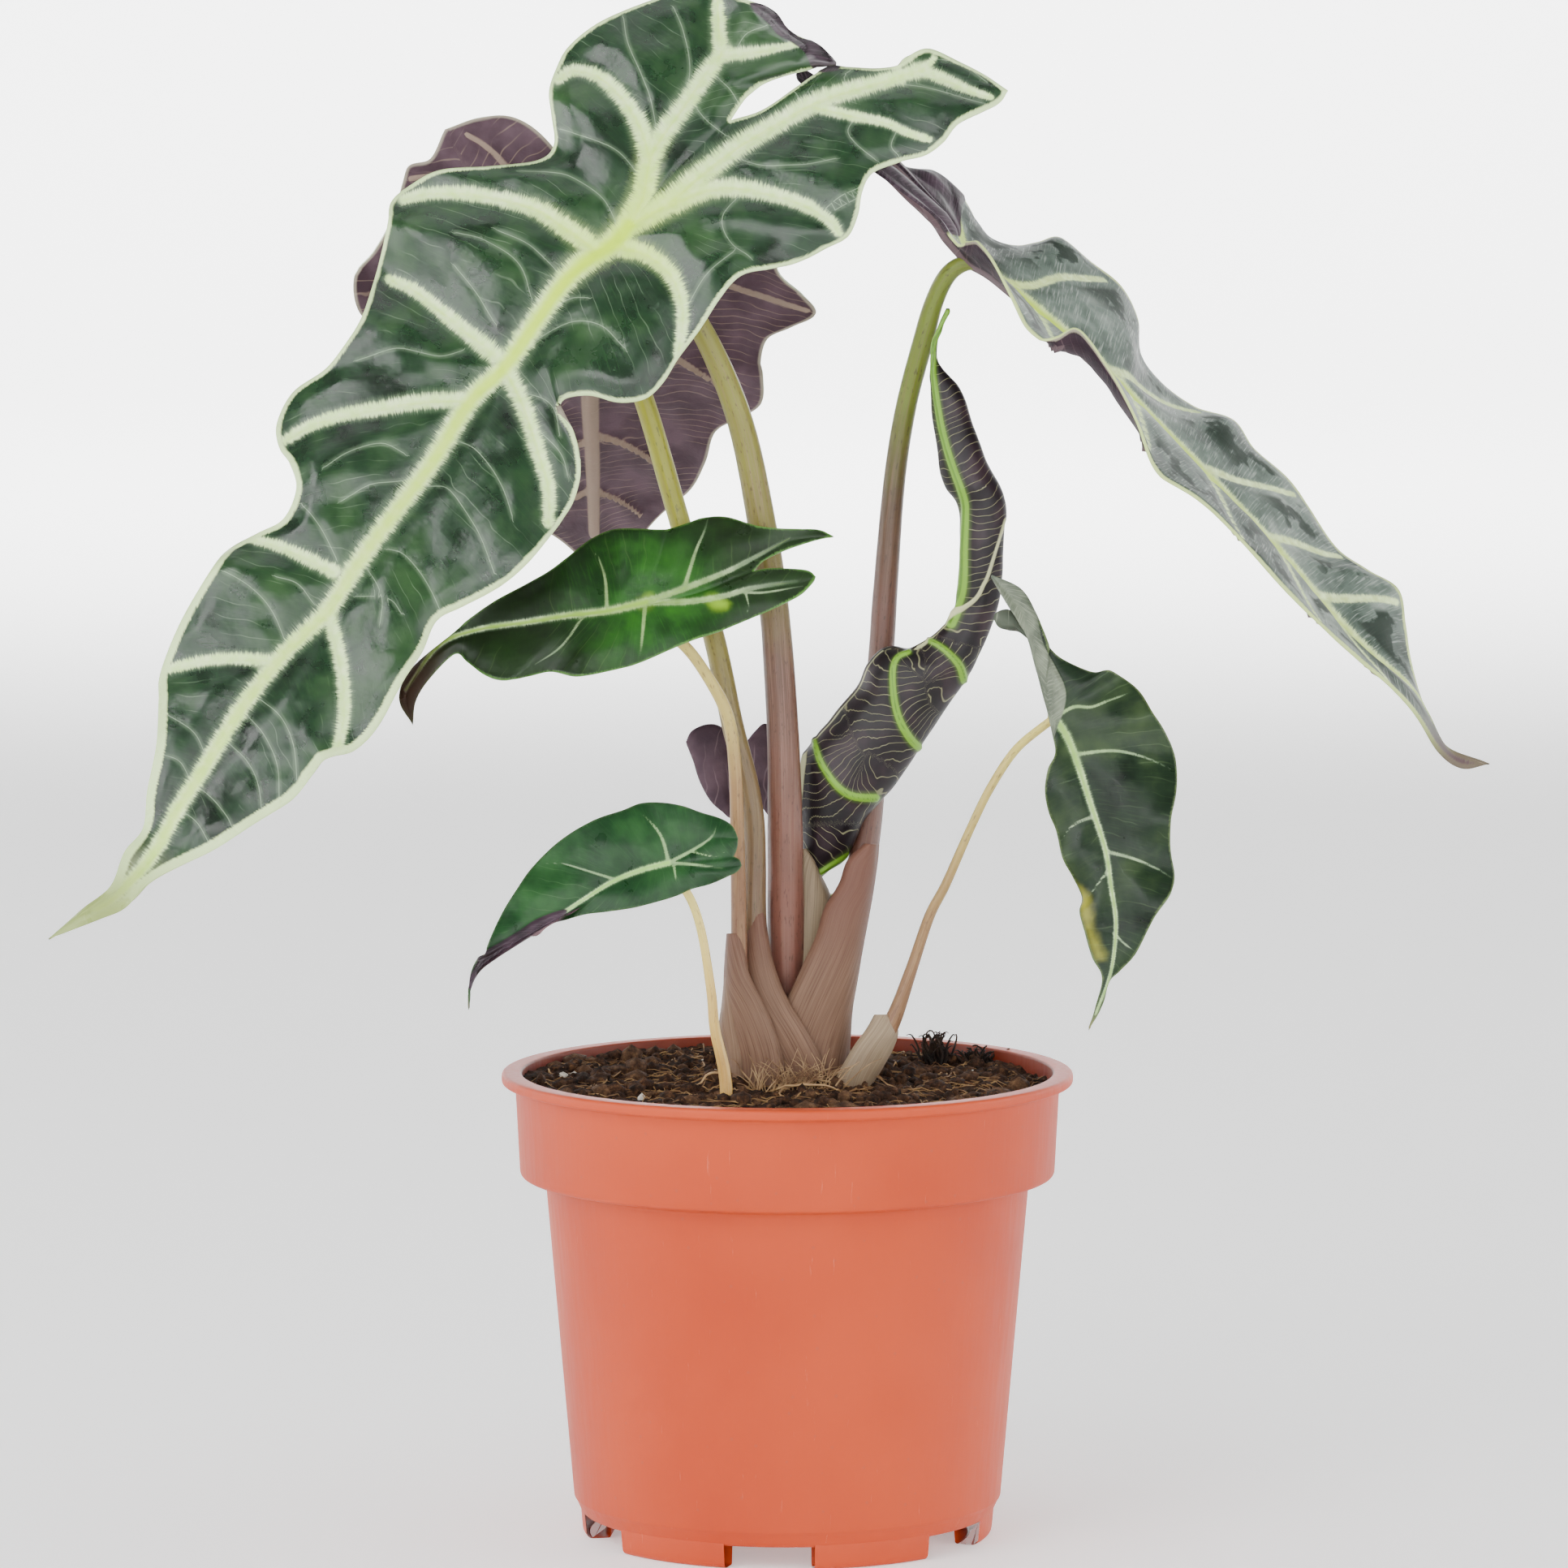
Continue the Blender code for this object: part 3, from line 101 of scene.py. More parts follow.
# heights over which the painted shade inside the pot's wall fades in, mm
INNER_SHADE_HEIGHTS = (86.0, 89.0)
SPRIG_PLACE = (32.0, 33.0)  # from the pot's axis, mm


# Curves and places in the front view

def smooth_line(points, per_span=12):
    """Dense points of a Catmull-Rom curve through the given ones."""
    given = np.array(points, float)
    ends = np.vstack([2 * given[0] - given[1], given, 2 * given[-1] - given[-2]])
    dense = []
    for i in range(len(given) - 1):
        a, b, c, d = ends[i:i + 4]
        for u in np.linspace(0, 1, per_span, endpoint=False):
            dense.append(0.5 * (2 * b + (c - a) * u + (2 * a - 5 * b + 4 * c - d) * u ** 2
                                + (3 * b - a - 3 * c + d) * u ** 3))
    dense.append(given[-1])
    return np.array(dense)


def at_fraction(line, fraction):
    """Points of a polyline at fractions 0 to 1 of its length."""
    lengths = np.linalg.norm(np.diff(line, axis=0), axis=1)
    places = np.concatenate([[0], np.cumsum(lengths)]) / lengths.sum()
    return np.stack([np.interp(fraction, places, line[:, k]) for k in range(line.shape[1])], axis=-1)


def through_rows(values, index):
    """Catmull-Rom value at a fractional index of a list of rows."""
    rows = np.array(values, float)
    ends = np.vstack([2 * rows[0] - rows[1], rows, 2 * rows[-1] - rows[-2]])
    i = np.clip(np.floor(index).astype(int), 0, len(rows) - 2)
    u = (index - i)[:, None]
    a, b, c, d = ends[i], ends[i + 1], ends[i + 2], ends[i + 3]
    return 0.5 * (2 * b + (c - a) * u + (2 * a - 5 * b + 4 * c - d) * u ** 2
                  + (3 * b - a - 3 * c + d) * u ** 3)


def in_space(drawn):
    """Front view points (x, z) with depth y, as rows of x, z, y, pushed to their depth (mm)."""
    drawn = np.asarray(drawn, float)
    flat = np.stack([drawn[..., 0], np.zeros_like(drawn[..., 0]), drawn[..., 1]], axis=-1)
    reach = 1 + drawn[..., 2:3] / -EYE[1]
    return EYE + reach * (flat - EYE)


# Blade outlines, in mm. A margin row is t, x, z and, where it isn't 0, how far it lies behind the
# blade's plane. t is 0 at the tip, 1 at the stalk and 2 at the end of a basal lobe. Tilt and bend
# are the plane's slope and curve along x and z, up is the way its upper side faces, sag is how far
# a row bulges as a share of its length, and notch is where the seam between the lobes ends. A curl
# is a side, the values of t between which its margin stands up, and by how much.
FRONT = dict(
    joint=(-33, 275.3), depth=-16, tilt=(0.0, 0.55), bend=(0.0, 0.0006), up=(0, -1, 0.55), sag=0.05,
    midrib=[(-155, 126), (-136, 140), (-127, 152), (-116, 171), (-104, 187), (-90, 203), (-81, 216),
            (-66, 238), (-58, 247), (-46, 263), (-33, 275.3)],
    ribs=([(-33, 275.3), (-30, 281), (-28, 290), (-22, 299), (-15, 311), (-13.6, 323.4)],
          [(-33, 275.3), (-25, 279.5), (-10, 291.6), (5, 300), (20, 305), (37, 305.5), (45.8, 303)]),
    seam=[(-33, 275.3, 0), (-22.5, 286.5, 1), (-11.7, 297, 0)], notch=(1.4, 1.28),
    outer=([(0, -155, 126), (0.05, -148, 132, 1), (0.1, -142, 137), (0.14, -139, 144, -1),
            (0.18, -135, 149, 1), (0.22, -134, 157), (0.27, -132, 167, -2), (0.33, -131.5, 176),
            (0.39, -131, 182, 2), (0.43, -126.5, 193), (0.48, -120, 204, -3), (0.53, -116, 208, 2),
            (0.58, -110.5, 211, 2), (0.62, -105, 214), (0.665, -102.4, 220.5, -3), (0.7, -104, 226, -2),
            (0.745, -106, 229, 1), (0.755, -106.4, 234, 2), (0.765, -103, 240.5, 2), (0.775, -96, 245.5),
            (0.785, -91.5, 251.5, -3), (0.793, -88, 257.5, -3), (0.8, -85.8, 264.4, 1), (0.84, -84, 271, 1),
            (0.9, -83, 276, -2), (0.94, -82.4, 280, 1), (0.955, -79, 283, 1), (0.965, -72.5, 286.3, -1),
            (0.98, -62, 287.4, -1), (0.99, -52, 288.7, 1), (1.0, -48.5, 291.8, 3), (1.13, -49, 298, 1),
            (1.22, -49.5, 303, -1), (1.3, -48, 307.6, 1), (1.45, -45.3, 312.2, 2), (1.6, -39, 317.2, -1),
            (1.75, -30.5, 321), (1.88, -22, 323.5, 1), (2.0, -13.6, 323.4)],
           [(0, -155, 126), (0.05, -149.3, 128), (0.09, -144, 130, 1), (0.12, -138.7, 132.5, 1),
            (0.15, -134, 137.6, -1), (0.19, -126.3, 141.8, -1), (0.24, -117.8, 146),
            (0.285, -108.5, 152, 1), (0.32, -103.4, 155.6), (0.345, -99.7, 160), (0.39, -97.5, 163, -2),
            (0.43, -94.8, 164.3, -1), (0.47, -90.5, 165.4, 2), (0.5, -86, 170, 1), (0.535, -80.3, 180, -2),
            (0.56, -76.3, 186, -1), (0.575, -73.2, 192.6, 1), (0.6, -67.8, 195.7, 1), (0.63, -59.7, 200),
            (0.67, -54, 205, -2), (0.705, -49.2, 210.6), (0.73, -47, 213.5, 2), (0.76, -44.4, 218, 2),
            (0.79, -43.1, 224.4), (0.82, -44.7, 231.5, -3), (0.85, -47.3, 236.2, -3),
            (0.875, -46.3, 239.2, -1), (0.895, -41.5, 239.8, 1), (0.92, -35.4, 238.3, 2),
            (0.942, -29.7, 239.2, 2), (0.957, -26, 242.5, 2), (0.969, -22.7, 247.6, 2),
            (0.977, -18.3, 253.6), (0.984, -14, 260, -2), (0.99, -9.5, 264.9, -2), (0.995, -2.7, 266.3),
            (1.0, 3, 267.7, 2), (1.03, 8, 270, 2), (1.06, 12.5, 272.4, 1), (1.12, 14.7, 277),
            (1.19, 15.6, 282, -2), (1.27, 17.8, 286.3, -1), (1.37, 23.4, 288.4, 1), (1.46, 28.8, 289.6, 1),
            (1.52, 32.5, 292.3), (1.62, 35.6, 296.2, -1), (1.75, 41, 298.7), (1.88, 44.2, 300.4, 1),
            (2.0, 45.8, 303)]),
    inner=([(1.47, -8, 302), (1.55, -3.4, 305, 1), (1.64, 4.7, 307, -1), (1.72, 10.2, 308, -3),
            (1.78, 8, 311, -3), (1.83, 5, 313, -3), (1.88, 0.3, 315.5, -3), (1.92, -2.2, 319, -3),
            (1.96, -6.8, 321.5, -2), (2.0, -13.6, 323.4)],
           [(1.35, -5.6, 299, 1), (1.43, 2, 303.8, 1), (1.5, 9, 307.6, 1), (1.6, 19, 307.6),
            (1.68, 23.4, 308.4, -1), (1.74, 26.3, 311, -1), (1.79, 29.7, 311.8), (1.86, 35.4, 309.3, 1),
            (1.93, 41, 306.4, 1), (2.0, 45.8, 303)]))

BACK = dict(
    joint=(-41, 266), depth=13, tilt=(0.0, -0.656), bend=(0.0, 0.0118), up=(0, 1, 0.656), sag=0.04,
    midrib=[(-37.5, 199.5), (-40, 211), (-41, 240), (-41, 266)],
    ribs=([(-41, 266), (-54, 276), (-66, 286), (-71, 295)],
          [(-41, 266), (-30, 277), (-17, 287), (-12, 295)]),
    seam=[(-41, 266, 0), (-41, 273, 0), (-41, 281, 0)], notch=(1.45, 1.45),
    outer=([(0, -37.5, 199.5), (0.15, -45, 208, 1), (0.28, -54, 214), (0.4, -62, 219, -1),
            (0.5, -66, 225, 1), (0.58, -69, 232, 1), (0.66, -76, 236, -1), (0.72, -78, 241, -1),
            (0.77, -77.5, 247, 2), (0.83, -79, 252, 2), (0.88, -85, 254), (0.93, -89.5, 258, -1),
            (0.98, -90, 265, 1), (1.1, -86, 270, 1), (1.3, -82, 277, -1), (1.5, -80, 284, -1),
            (1.7, -78.5, 287.5, 1), (1.85, -74, 289, 1), (2.0, -71, 295)],
           [(0, -37.5, 199.5), (0.15, -28.7, 213, 1), (0.28, -20.5, 220), (0.38, -17, 226, -1),
            (0.5, -15, 232.5, 1), (0.58, -10, 235.5, 1), (0.66, -5.3, 238.5, -1), (0.72, -5, 244, -1),
            (0.77, -5.5, 247, 2), (0.83, -4, 252, 2), (0.88, 1, 254.3), (0.92, 6, 257, -1),
            (0.97, 3, 261, 1), (1.1, -2, 266, 1), (1.3, -2, 275, -1), (1.5, -4, 284, -1), (1.7, -5, 288, 1),
            (1.85, -8, 290, 1), (2.0, -12, 295)]),
    inner=([(1.6, -50, 293), (1.75, -57, 297.5, 1), (1.9, -64, 297.5), (2.0, -71, 295)],
           [(1.6, -33, 291), (1.75, -27, 297, 1), (1.9, -19, 297), (2.0, -12, 295)]))

RIGHT = dict(
    joint=(38.3, 268.3), depth=5, tilt=(0.0, 0.0), bend=(0.0, 0.0), up=(0.3, -0.2, 1), sag=0.04, spread=1,
    curls=[(1, 0.58, 0.82, 8.0), (1, 0.85, 1.16, 5.0)],
    midrib=[(147, 162.7), (138, 166.6), (133.6, 174.6), (130, 179.5), (121, 187), (112, 196), (103, 206.5),
            (91, 219.6), (75, 236.4), (57, 253.4), (44.4, 264.6), (38.3, 268.3)],
    ribs=([(38.3, 268.3, 0), (30, 280, 10), (17, 294, 15), (1.7, 306, 18)],
          [(38.3, 268.3, 0), (27, 280, -3), (13, 291, -3), (2.5, 297.4, -2)]),
    seam=[(38.3, 268.3, 0), (35.5, 273, 2), (33, 277, 3)], notch=(1.3, 1.3),
    outer=([(0, 147, 162.7), (0.06, 139, 165.5, 1), (0.12, 135.6, 170.4, 3), (0.16, 132.5, 176.8, 6),
            (0.2, 130.5, 184, 9), (0.25, 129.3, 192, 13), (0.29, 127.5, 199.4, 16), (0.33, 121, 203.5, 18),
            (0.39, 114.8, 207.7, 20), (0.43, 108.8, 216.4, 22), (0.48, 104.2, 223, 24),
            (0.53, 97.5, 228.3, 25), (0.57, 93, 234.7, 27), (0.62, 84.8, 237.8, 28), (0.66, 78, 242.5, 29),
            (0.7, 73.6, 248.6, 30), (0.73, 73, 255.8, 31), (0.78, 69.5, 262.6, 31), (0.83, 62.9, 268, 31),
            (0.87, 56.8, 272.8, 31), (0.91, 52, 271.7, 30), (0.95, 47.5, 271, 29), (0.98, 42.7, 272.4, 28),
            (1.0, 39.5, 275.8, 27), (1.1, 36.6, 280.7, 25), (1.3, 30.5, 285.7, 24), (1.5, 22, 287.2, 24),
            (1.7, 13.6, 296.5, 22), (1.9, 5, 305.8, 19), (2.0, 1.7, 306, 18)],
           [(0, 147, 162.7), (0.06, 141.7, 161.7, -1), (0.12, 137, 165, -3), (0.16, 132.5, 171.7, -6),
            (0.21, 127.5, 178, -10), (0.27, 120.3, 184, -14), (0.33, 113.6, 190, -18),
            (0.39, 105.4, 198, -21), (0.45, 97.5, 206.5, -23), (0.49, 91.5, 213.3, -25),
            (0.54, 85.3, 219, -27), (0.59, 77, 224, -28), (0.64, 73.2, 229.5, -29), (0.69, 67, 237.6, -29),
            (0.74, 60.7, 246.8, -29), (0.79, 56, 249.7, -28), (0.84, 50.7, 253.4, -27),
            (0.9, 46.3, 259.2, -25), (0.95, 43, 263.4, -23), (1.0, 40.3, 266.3, -19),
            (1.1, 37.3, 269.4, -14), (1.3, 30.5, 276.8, -9), (1.5, 22, 283.3, -6), (1.7, 12.7, 289.7, -4),
            (1.9, 5, 295.7, -3), (2.0, 2.5, 297.4, -2)]),
    inner=([(1.5, 22, 288, 10), (1.7, 11.9, 296.5, 13), (1.9, 3, 304, 16), (2.0, 1.7, 306, 18)],
           [(1.5, 24, 284.8, 2), (1.7, 13.5, 292.4), (1.9, 4.5, 297.3, -1), (2.0, 2.5, 297.4, -2)]))

MIDDLE = dict(
    joint=(-29.3, 196.2), depth=-24, tilt=(0.2, 0.5), bend=(0.0, 0.0), up=(0.2, -1, 0.5), sag=0.05,
    midrib=[(-78.3, 171), (-79.7, 177), (-76.3, 183), (-70, 188.5), (-64.6, 190), (-54.7, 191.8),
            (-45.6, 193.3), (-37.3, 194.3), (-29.3, 196.2)],
    ribs=([(-29.3, 196.2), (-20.7, 199.2), (-13, 202.3), (-6.3, 205.7), (0.5, 209.4), (9.7, 210.4)],
          [(-29.3, 196.2), (-20.7, 196.2), (-13, 197.4), (-7.8, 199), (2, 200.4), (6, 202)]),
    seam=[(-29.3, 196.2, 0), (-18, 198.7, 0.5), (-7, 203.2, 0)], notch=(1.5, 1.45),
    outer=([(0, -78.3, 171), (0.1, -81.2, 176.6), (0.21, -78.5, 182.8, 1), (0.34, -70, 190),
            (0.4, -66.8, 192.8, -1), (0.47, -61.5, 196.7, -1), (0.6, -54.7, 200.4, 1), (0.7, -50, 203, 1),
            (0.79, -46, 206, -1), (0.87, -42, 209.2, 1), (0.91, -38, 211.3, 1), (0.95, -34.2, 212, -1),
            (0.98, -26.6, 211.8, -1), (1.0, -24.4, 212), (1.1, -21.2, 213), (1.2, -17.6, 214.3, 1),
            (1.4, -12.7, 214.5, 1), (1.6, -6, 212.5, -1), (1.75, 0.8, 212, -1), (1.9, 6.4, 211.8),
            (2.0, 9.7, 210.4)],
           [(0, -78.3, 171), (0.1, -77.6, 176), (0.21, -74.6, 180.7), (0.34, -69.5, 185.6, 1),
            (0.4, -67, 184, 1), (0.5, -64, 181.8), (0.62, -60.7, 180.5, -1), (0.72, -57.3, 180.4, -1),
            (0.79, -54, 181, 1), (0.85, -49, 182, 1), (0.9, -43.4, 181.2, -1), (0.95, -35, 182.7),
            (0.985, -31, 183.8, 1), (1.0, -25.3, 186.3), (1.15, -19.8, 188.7, -1), (1.35, -13.9, 190.6),
            (1.58, -7.5, 193.2, 1), (1.72, -1.7, 195.8), (1.87, 2.9, 198.6, -1), (2.0, 6, 202)]),
    inner=([(1.6, -4.7, 205.4), (1.75, -0.2, 207.6), (1.9, 5, 209.3), (2.0, 9.7, 210.4)],
           [(1.6, -3.7, 203.7), (1.75, 0.5, 203.7), (1.9, 4.4, 203.3), (2.0, 6, 202)]))

LOWER_LEFT = dict(
    joint=(-24.7, 141.5), depth=-33, tilt=(0.25, 0.3), bend=(0.0, 0.0), up=(0.25, -1, 0.3), sag=0.06,
    midrib=[(-66.8, 110.8), (-66.6, 115.7), (-65.1, 119.7), (-62.2, 122.3), (-56, 126), (-46.6, 131),
            (-42, 134), (-36.4, 137.6), (-30.5, 140), (-24.7, 141.5)],
    ribs=([(-24.7, 141.5), (-19.7, 144.2), (-15.8, 147), (-10.3, 147)],
          [(-24.7, 141.5), (-17, 140.7), (-9.5, 141.3)]),
    seam=[(-24.7, 141.5, 0), (-18, 142.3, 0), (-11.2, 143.2, 0)], notch=(1.7, 1.7),
    outer=([(0, -66.8, 110.8), (0.1, -67, 115.7), (0.2, -65.8, 120.4), (0.28, -63.7, 122.3, -1),
            (0.42, -62, 126.7, -1), (0.55, -59.7, 131.5), (0.66, -56.8, 136.2), (0.77, -53.4, 141, 1),
            (0.84, -47.6, 146.6), (0.9, -40.7, 150.8, -1), (0.95, -34.4, 153), (0.98, -30.8, 154.4, 1),
            (1.0, -26.6, 154.6), (1.3, -22, 153.9, -1), (1.5, -18, 152.5), (1.7, -13.9, 151.2, 1),
            (1.85, -11.5, 149.6), (2.0, -10.3, 147)],
           [(0, -66.8, 110.8), (0.1, -66.3, 115.7), (0.2, -64.4, 119, 1), (0.3, -61, 121.6, 2),
            (0.4, -57.3, 124, 3), (0.5, -53.4, 126.4, 4), (0.6, -49.3, 128.9, 4), (0.7, -45.8, 130, 3),
            (0.8, -42.2, 131, 1), (0.88, -37.3, 131.6), (0.94, -30.5, 132.8, -1), (0.98, -23.7, 134.7),
            (1.0, -20.3, 136.2), (1.3, -16, 137.4, 1), (1.6, -12.4, 139), (1.8, -10.5, 140),
            (2.0, -9.5, 141.3)]),
    inner=([(1.85, -10.5, 145), (2.0, -10.3, 147)], [(1.85, -10, 142.5), (2.0, -9.5, 141.3)]))

LOWER_RIGHT = dict(
    joint=(54.9, 172.9), depth=-20, tilt=(-0.15, 0.25), bend=(0.0, 0.0), up=(-0.15, -1, 0.25), sag=0.05,
    midrib=[(63.2, 106.5), (66.4, 115.5), (68.6, 128.6), (67.6, 136.4), (66.4, 144.2), (63.6, 153.2),
            (60.9, 161.7), (58.3, 168.2), (54.9, 172.9)],
    ribs=([(54.9, 172.9), (53.1, 180), (51.4, 188), (48.7, 195), (42.6, 202.3)],
          [(54.9, 172.9), (56, 179.4), (54.5, 186), (53.7, 188.5)]),
    seam=[(54.9, 172.9, 0), (54.6, 176, 0), (54.2, 180.2, 0)], notch=(1.3, 1.5),
    outer=([(0, 63.2, 106.5), (0.1, 64.8, 112), (0.17, 66, 117.6), (0.24, 64, 122, -1),
            (0.32, 62.4, 127, -1), (0.4, 61.2, 131.5), (0.48, 61.7, 134.6, 2), (0.54, 59.7, 139, 1),
            (0.6, 57.6, 142.9, -1), (0.67, 56.3, 148.5, 1), (0.74, 54.7, 152.5, 1), (0.8, 53.9, 157, -1),
            (0.86, 54.7, 161.5, -2), (0.92, 56, 165, -1), (0.97, 55.5, 168.5), (1.0, 54.8, 171.8),
            (1.2, 53.5, 177), (1.4, 51.8, 183, 1), (1.6, 49.9, 189.6), (1.8, 46.2, 196, -1),
            (2.0, 42.6, 202.3)],
           [(0, 63.2, 106.5), (0.1, 66.2, 111.8), (0.17, 67.6, 116.7, 1), (0.23, 69.8, 119, 1),
            (0.29, 73, 122.5, 1), (0.34, 75.8, 128), (0.4, 77.8, 131.8, -2), (0.46, 80.3, 135.4, -1),
            (0.54, 81.2, 139, 2), (0.62, 80.3, 144.7, 1), (0.7, 80.3, 150.8, -2), (0.78, 81.5, 157.3),
            (0.86, 81.2, 164, 2), (0.9, 79, 169.5, 1), (0.93, 76.5, 173.4, -1), (0.96, 73.6, 178, 1),
            (0.98, 70, 180.9, 1), (1.0, 67, 182.4, -1), (1.3, 64, 182), (1.6, 59.7, 183.6, 1),
            (1.85, 56.3, 185.6), (2.0, 53.7, 188.5)]),
    inner=([(1.5, 54.6, 186.2, -1.2), (1.65, 53.8, 189.7, -1.2), (1.8, 51.9, 194.6, -0.6),
            (1.9, 48.8, 199.4), (2.0, 42.6, 202.3)], [(1.8, 53.8, 184.4), (2.0, 53.7, 188.5)]))

# Veins, each as pixels of the photograph from its root to its end, with its full width in mm at
# both ends. The first entry of each leaf is the midrib, from the stalk to the tip.
FRONT_VEINS_PX = [
    ([(775, 275), (754, 300), (700, 344), (625, 446), (580, 491), (536, 562), (491, 625), (437, 700),
      (402, 752), (357, 796), (321, 841), (286, 890), (250, 948), (219, 997), (192, 1046),
      (166, 1080), (120, 1122)], 6.2, 3.6),
    ([(775, 275), (792, 241), (805, 187), (841, 134), (868, 94), (888, 66)], 6.0, 4.4),
    ([(888, 66), (886, 36), (884, 0), (882, -14)], 4.4, 2.8),
    ([(888, 66), (921, 64), (957, 59), (986, 55)], 4.2, 1.6),
    ([(775, 275), (823, 250), (868, 214), (912, 179), (957, 152), (1002, 129), (1046, 114),
      (1091, 100), (1136, 85)], 6.4, 4.0),
    ([(1136, 85), (1163, 96), (1194, 110), (1221, 121)], 3.6, 1.8),
    ([(1136, 85), (1150, 72), (1153, 64)], 2.6, 1.2),
    ([(1002, 133), (1046, 143), (1091, 151), (1118, 163), (1145, 172)], 3.0, 1.8),
    ([(823, 254), (868, 236), (912, 232), (957, 241), (993, 254), (1020, 272), (1033, 288)], 5.4, 2.8),
    ([(757, 303), (792, 310), (823, 332), (838, 362), (841, 393), (836, 436)], 5.2, 2.6),
    ([(800, 196), (788, 156), (765, 121), (738, 96), (707, 88), (687, 98)], 5.2, 3.0),
    ([(738, 310), (689, 277), (661, 259), (616, 245), (571, 238), (527, 239), (498, 245)], 5.4, 3.0),
    ([(612, 438), (558, 393), (513, 357), (480, 343)], 4.6, 2.8),
    ([(580, 491), (527, 493), (469, 504), (420, 513), (379, 527), (352, 543)], 4.4, 3.0),
    ([(411, 704), (379, 689), (348, 676), (308, 664)], 3.8, 2.4),
    ([(334, 814), (286, 810), (246, 814), (208, 824)], 3.6, 2.6),
    ([(622, 452), (645, 500), (663, 558), (676, 603), (676, 645)], 5.0, 3.2),
    ([(402, 748), (415, 792), (422, 832), (424, 877), (416, 922)], 3.8, 3.0),
]
FRONT_HAIRS_PX = [
    [(527, 598), (549, 602), (567, 622), (589, 656), (609, 708)],
    [(478, 678), (500, 687), (522, 712), (542, 752)],
    [(321, 863), (348, 890), (362, 921), (366, 964)],
    [(281, 915), (308, 944), (319, 971), (322, 997)],
    [(240, 965), (262, 985), (280, 1008), (286, 1020)],
    [(222, 996), (242, 1014), (256, 1036)],
    [(306, 884), (328, 912), (342, 945), (344, 984)],
    [(255, 935), (240, 905), (205, 880)],
    [(234, 960), (222, 940), (200, 930)],
    [(352, 790), (336, 755), (312, 728), (276, 705)],
    [(386, 742), (366, 720), (340, 712)],
    [(415, 690), (396, 655), (372, 625)],
    [(446, 690), (470, 735), (468, 770)],
    [(440, 735), (480, 740), (495, 758)],
    [(660, 395), (700, 372), (725, 372)],
    [(640, 430), (700, 402), (740, 405), (770, 432)],
    [(560, 540), (590, 560), (618, 600), (632, 640)],
    [(500, 560), (470, 548), (430, 560), (400, 580)],
    [(655, 370), (640, 330), (600, 300), (560, 290)],
    [(570, 430), (540, 440), (490, 430), (440, 445)],
    [(610, 400), (585, 360), (560, 330)],
    [(812, 180), (800, 120), (775, 60), (768, 20)],
    [(835, 140), (850, 90), (842, 40), (830, 10)],
    [(880, 90), (905, 120), (916, 140)],
    [(905, 62), (920, 40), (945, 30)],
    [(850, 120), (870, 150), (895, 168)],
    [(900, 190), (935, 205), (990, 205), (1030, 198)],
    [(1045, 115), (1040, 95), (1052, 85)],
    [(990, 133), (980, 115), (968, 105)],
    [(1091, 102), (1120, 105), (1160, 112), (1210, 128)],
    [(1160, 72), (1185, 78), (1215, 100)],
    [(1050, 150), (1045, 165), (1060, 185), (1080, 198)],
    [(1105, 160), (1098, 180), (1108, 192)],
    [(1012, 262), (1035, 245), (1058, 232)],
    [(1016, 268), (1040, 255), (1058, 244)],
    [(915, 236), (890, 270), (900, 300), (925, 320)],
    [(843, 380), (870, 340), (905, 312)],
    [(690, 340), (650, 305), (610, 285)],
    [(770, 300), (745, 250), (700, 220), (640, 212)],
    [(795, 225), (760, 190), (710, 170), (690, 160)],
    [(640, 480), (680, 500), (690, 540)],
    [(652, 520), (690, 560), (700, 590)],
    [(530, 570), (500, 590), (455, 600), (420, 620)],
]
BACK_VEINS_PX = [
    ([(728, 400), (727, 487), (730, 570), (732, 652)], 4.4, 2.2),
    ([(728, 531), (765, 543), (796, 560), (820, 580)], 1.6, 1.0),
    ([(728, 470), (780, 462), (837, 440)], 1.6, 1.0),
    ([(728, 385), (770, 400), (837, 440), (877, 464), (900, 480)], 1.7, 1.0),
    ([(728, 345), (790, 322), (860, 330), (899, 350), (950, 368), (997, 382)], 1.7, 1.0),
    ([(727, 540), (700, 552), (690, 590)], 1.5, 0.9),
    ([(728, 600), (700, 615), (688, 640)], 1.3, 0.8),
    ([(728, 600), (760, 612), (790, 630)], 1.3, 0.8),
    ([(728, 330), (690, 270), (640, 220), (600, 180), (575, 165)], 2.6, 1.0),
    ([(728, 330), (790, 260), (840, 200), (880, 160)], 2.6, 1.0),
    ([(660, 240), (620, 225), (560, 215), (505, 220)], 1.6, 1.0),
    ([(728, 360), (660, 350), (560, 335), (450, 330)], 1.8, 1.0),
    ([(728, 420), (660, 430), (580, 450), (520, 460)], 1.6, 1.0),
]
MIDDLE_VEINS_PX = [
    ([(797, 741), (750, 752), (701, 758), (647, 767), (589, 776), (540, 796), (500, 850)], 2.0, 1.0),
    ([(797, 741), (848, 723), (893, 705), (933, 685), (973, 663)], 1.8, 0.8),
    ([(797, 741), (848, 741), (893, 734), (924, 725), (982, 716)], 1.8, 0.9),
    ([(844, 722), (857, 680), (868, 654), (872, 640)], 1.0, 0.4),
    ([(748, 748), (746, 712), (737, 685), (723, 674)], 0.9, 0.3),
    ([(795, 747), (792, 779), (789, 808)], 1.0, 0.4),
    ([(918, 727), (922, 747), (920, 756)], 0.7, 0.3),
    ([(719, 758), (692, 796), (656, 821)], 0.7, 0.25),
    ([(905, 728), (940, 730), (990, 722)], 0.7, 0.3),
]
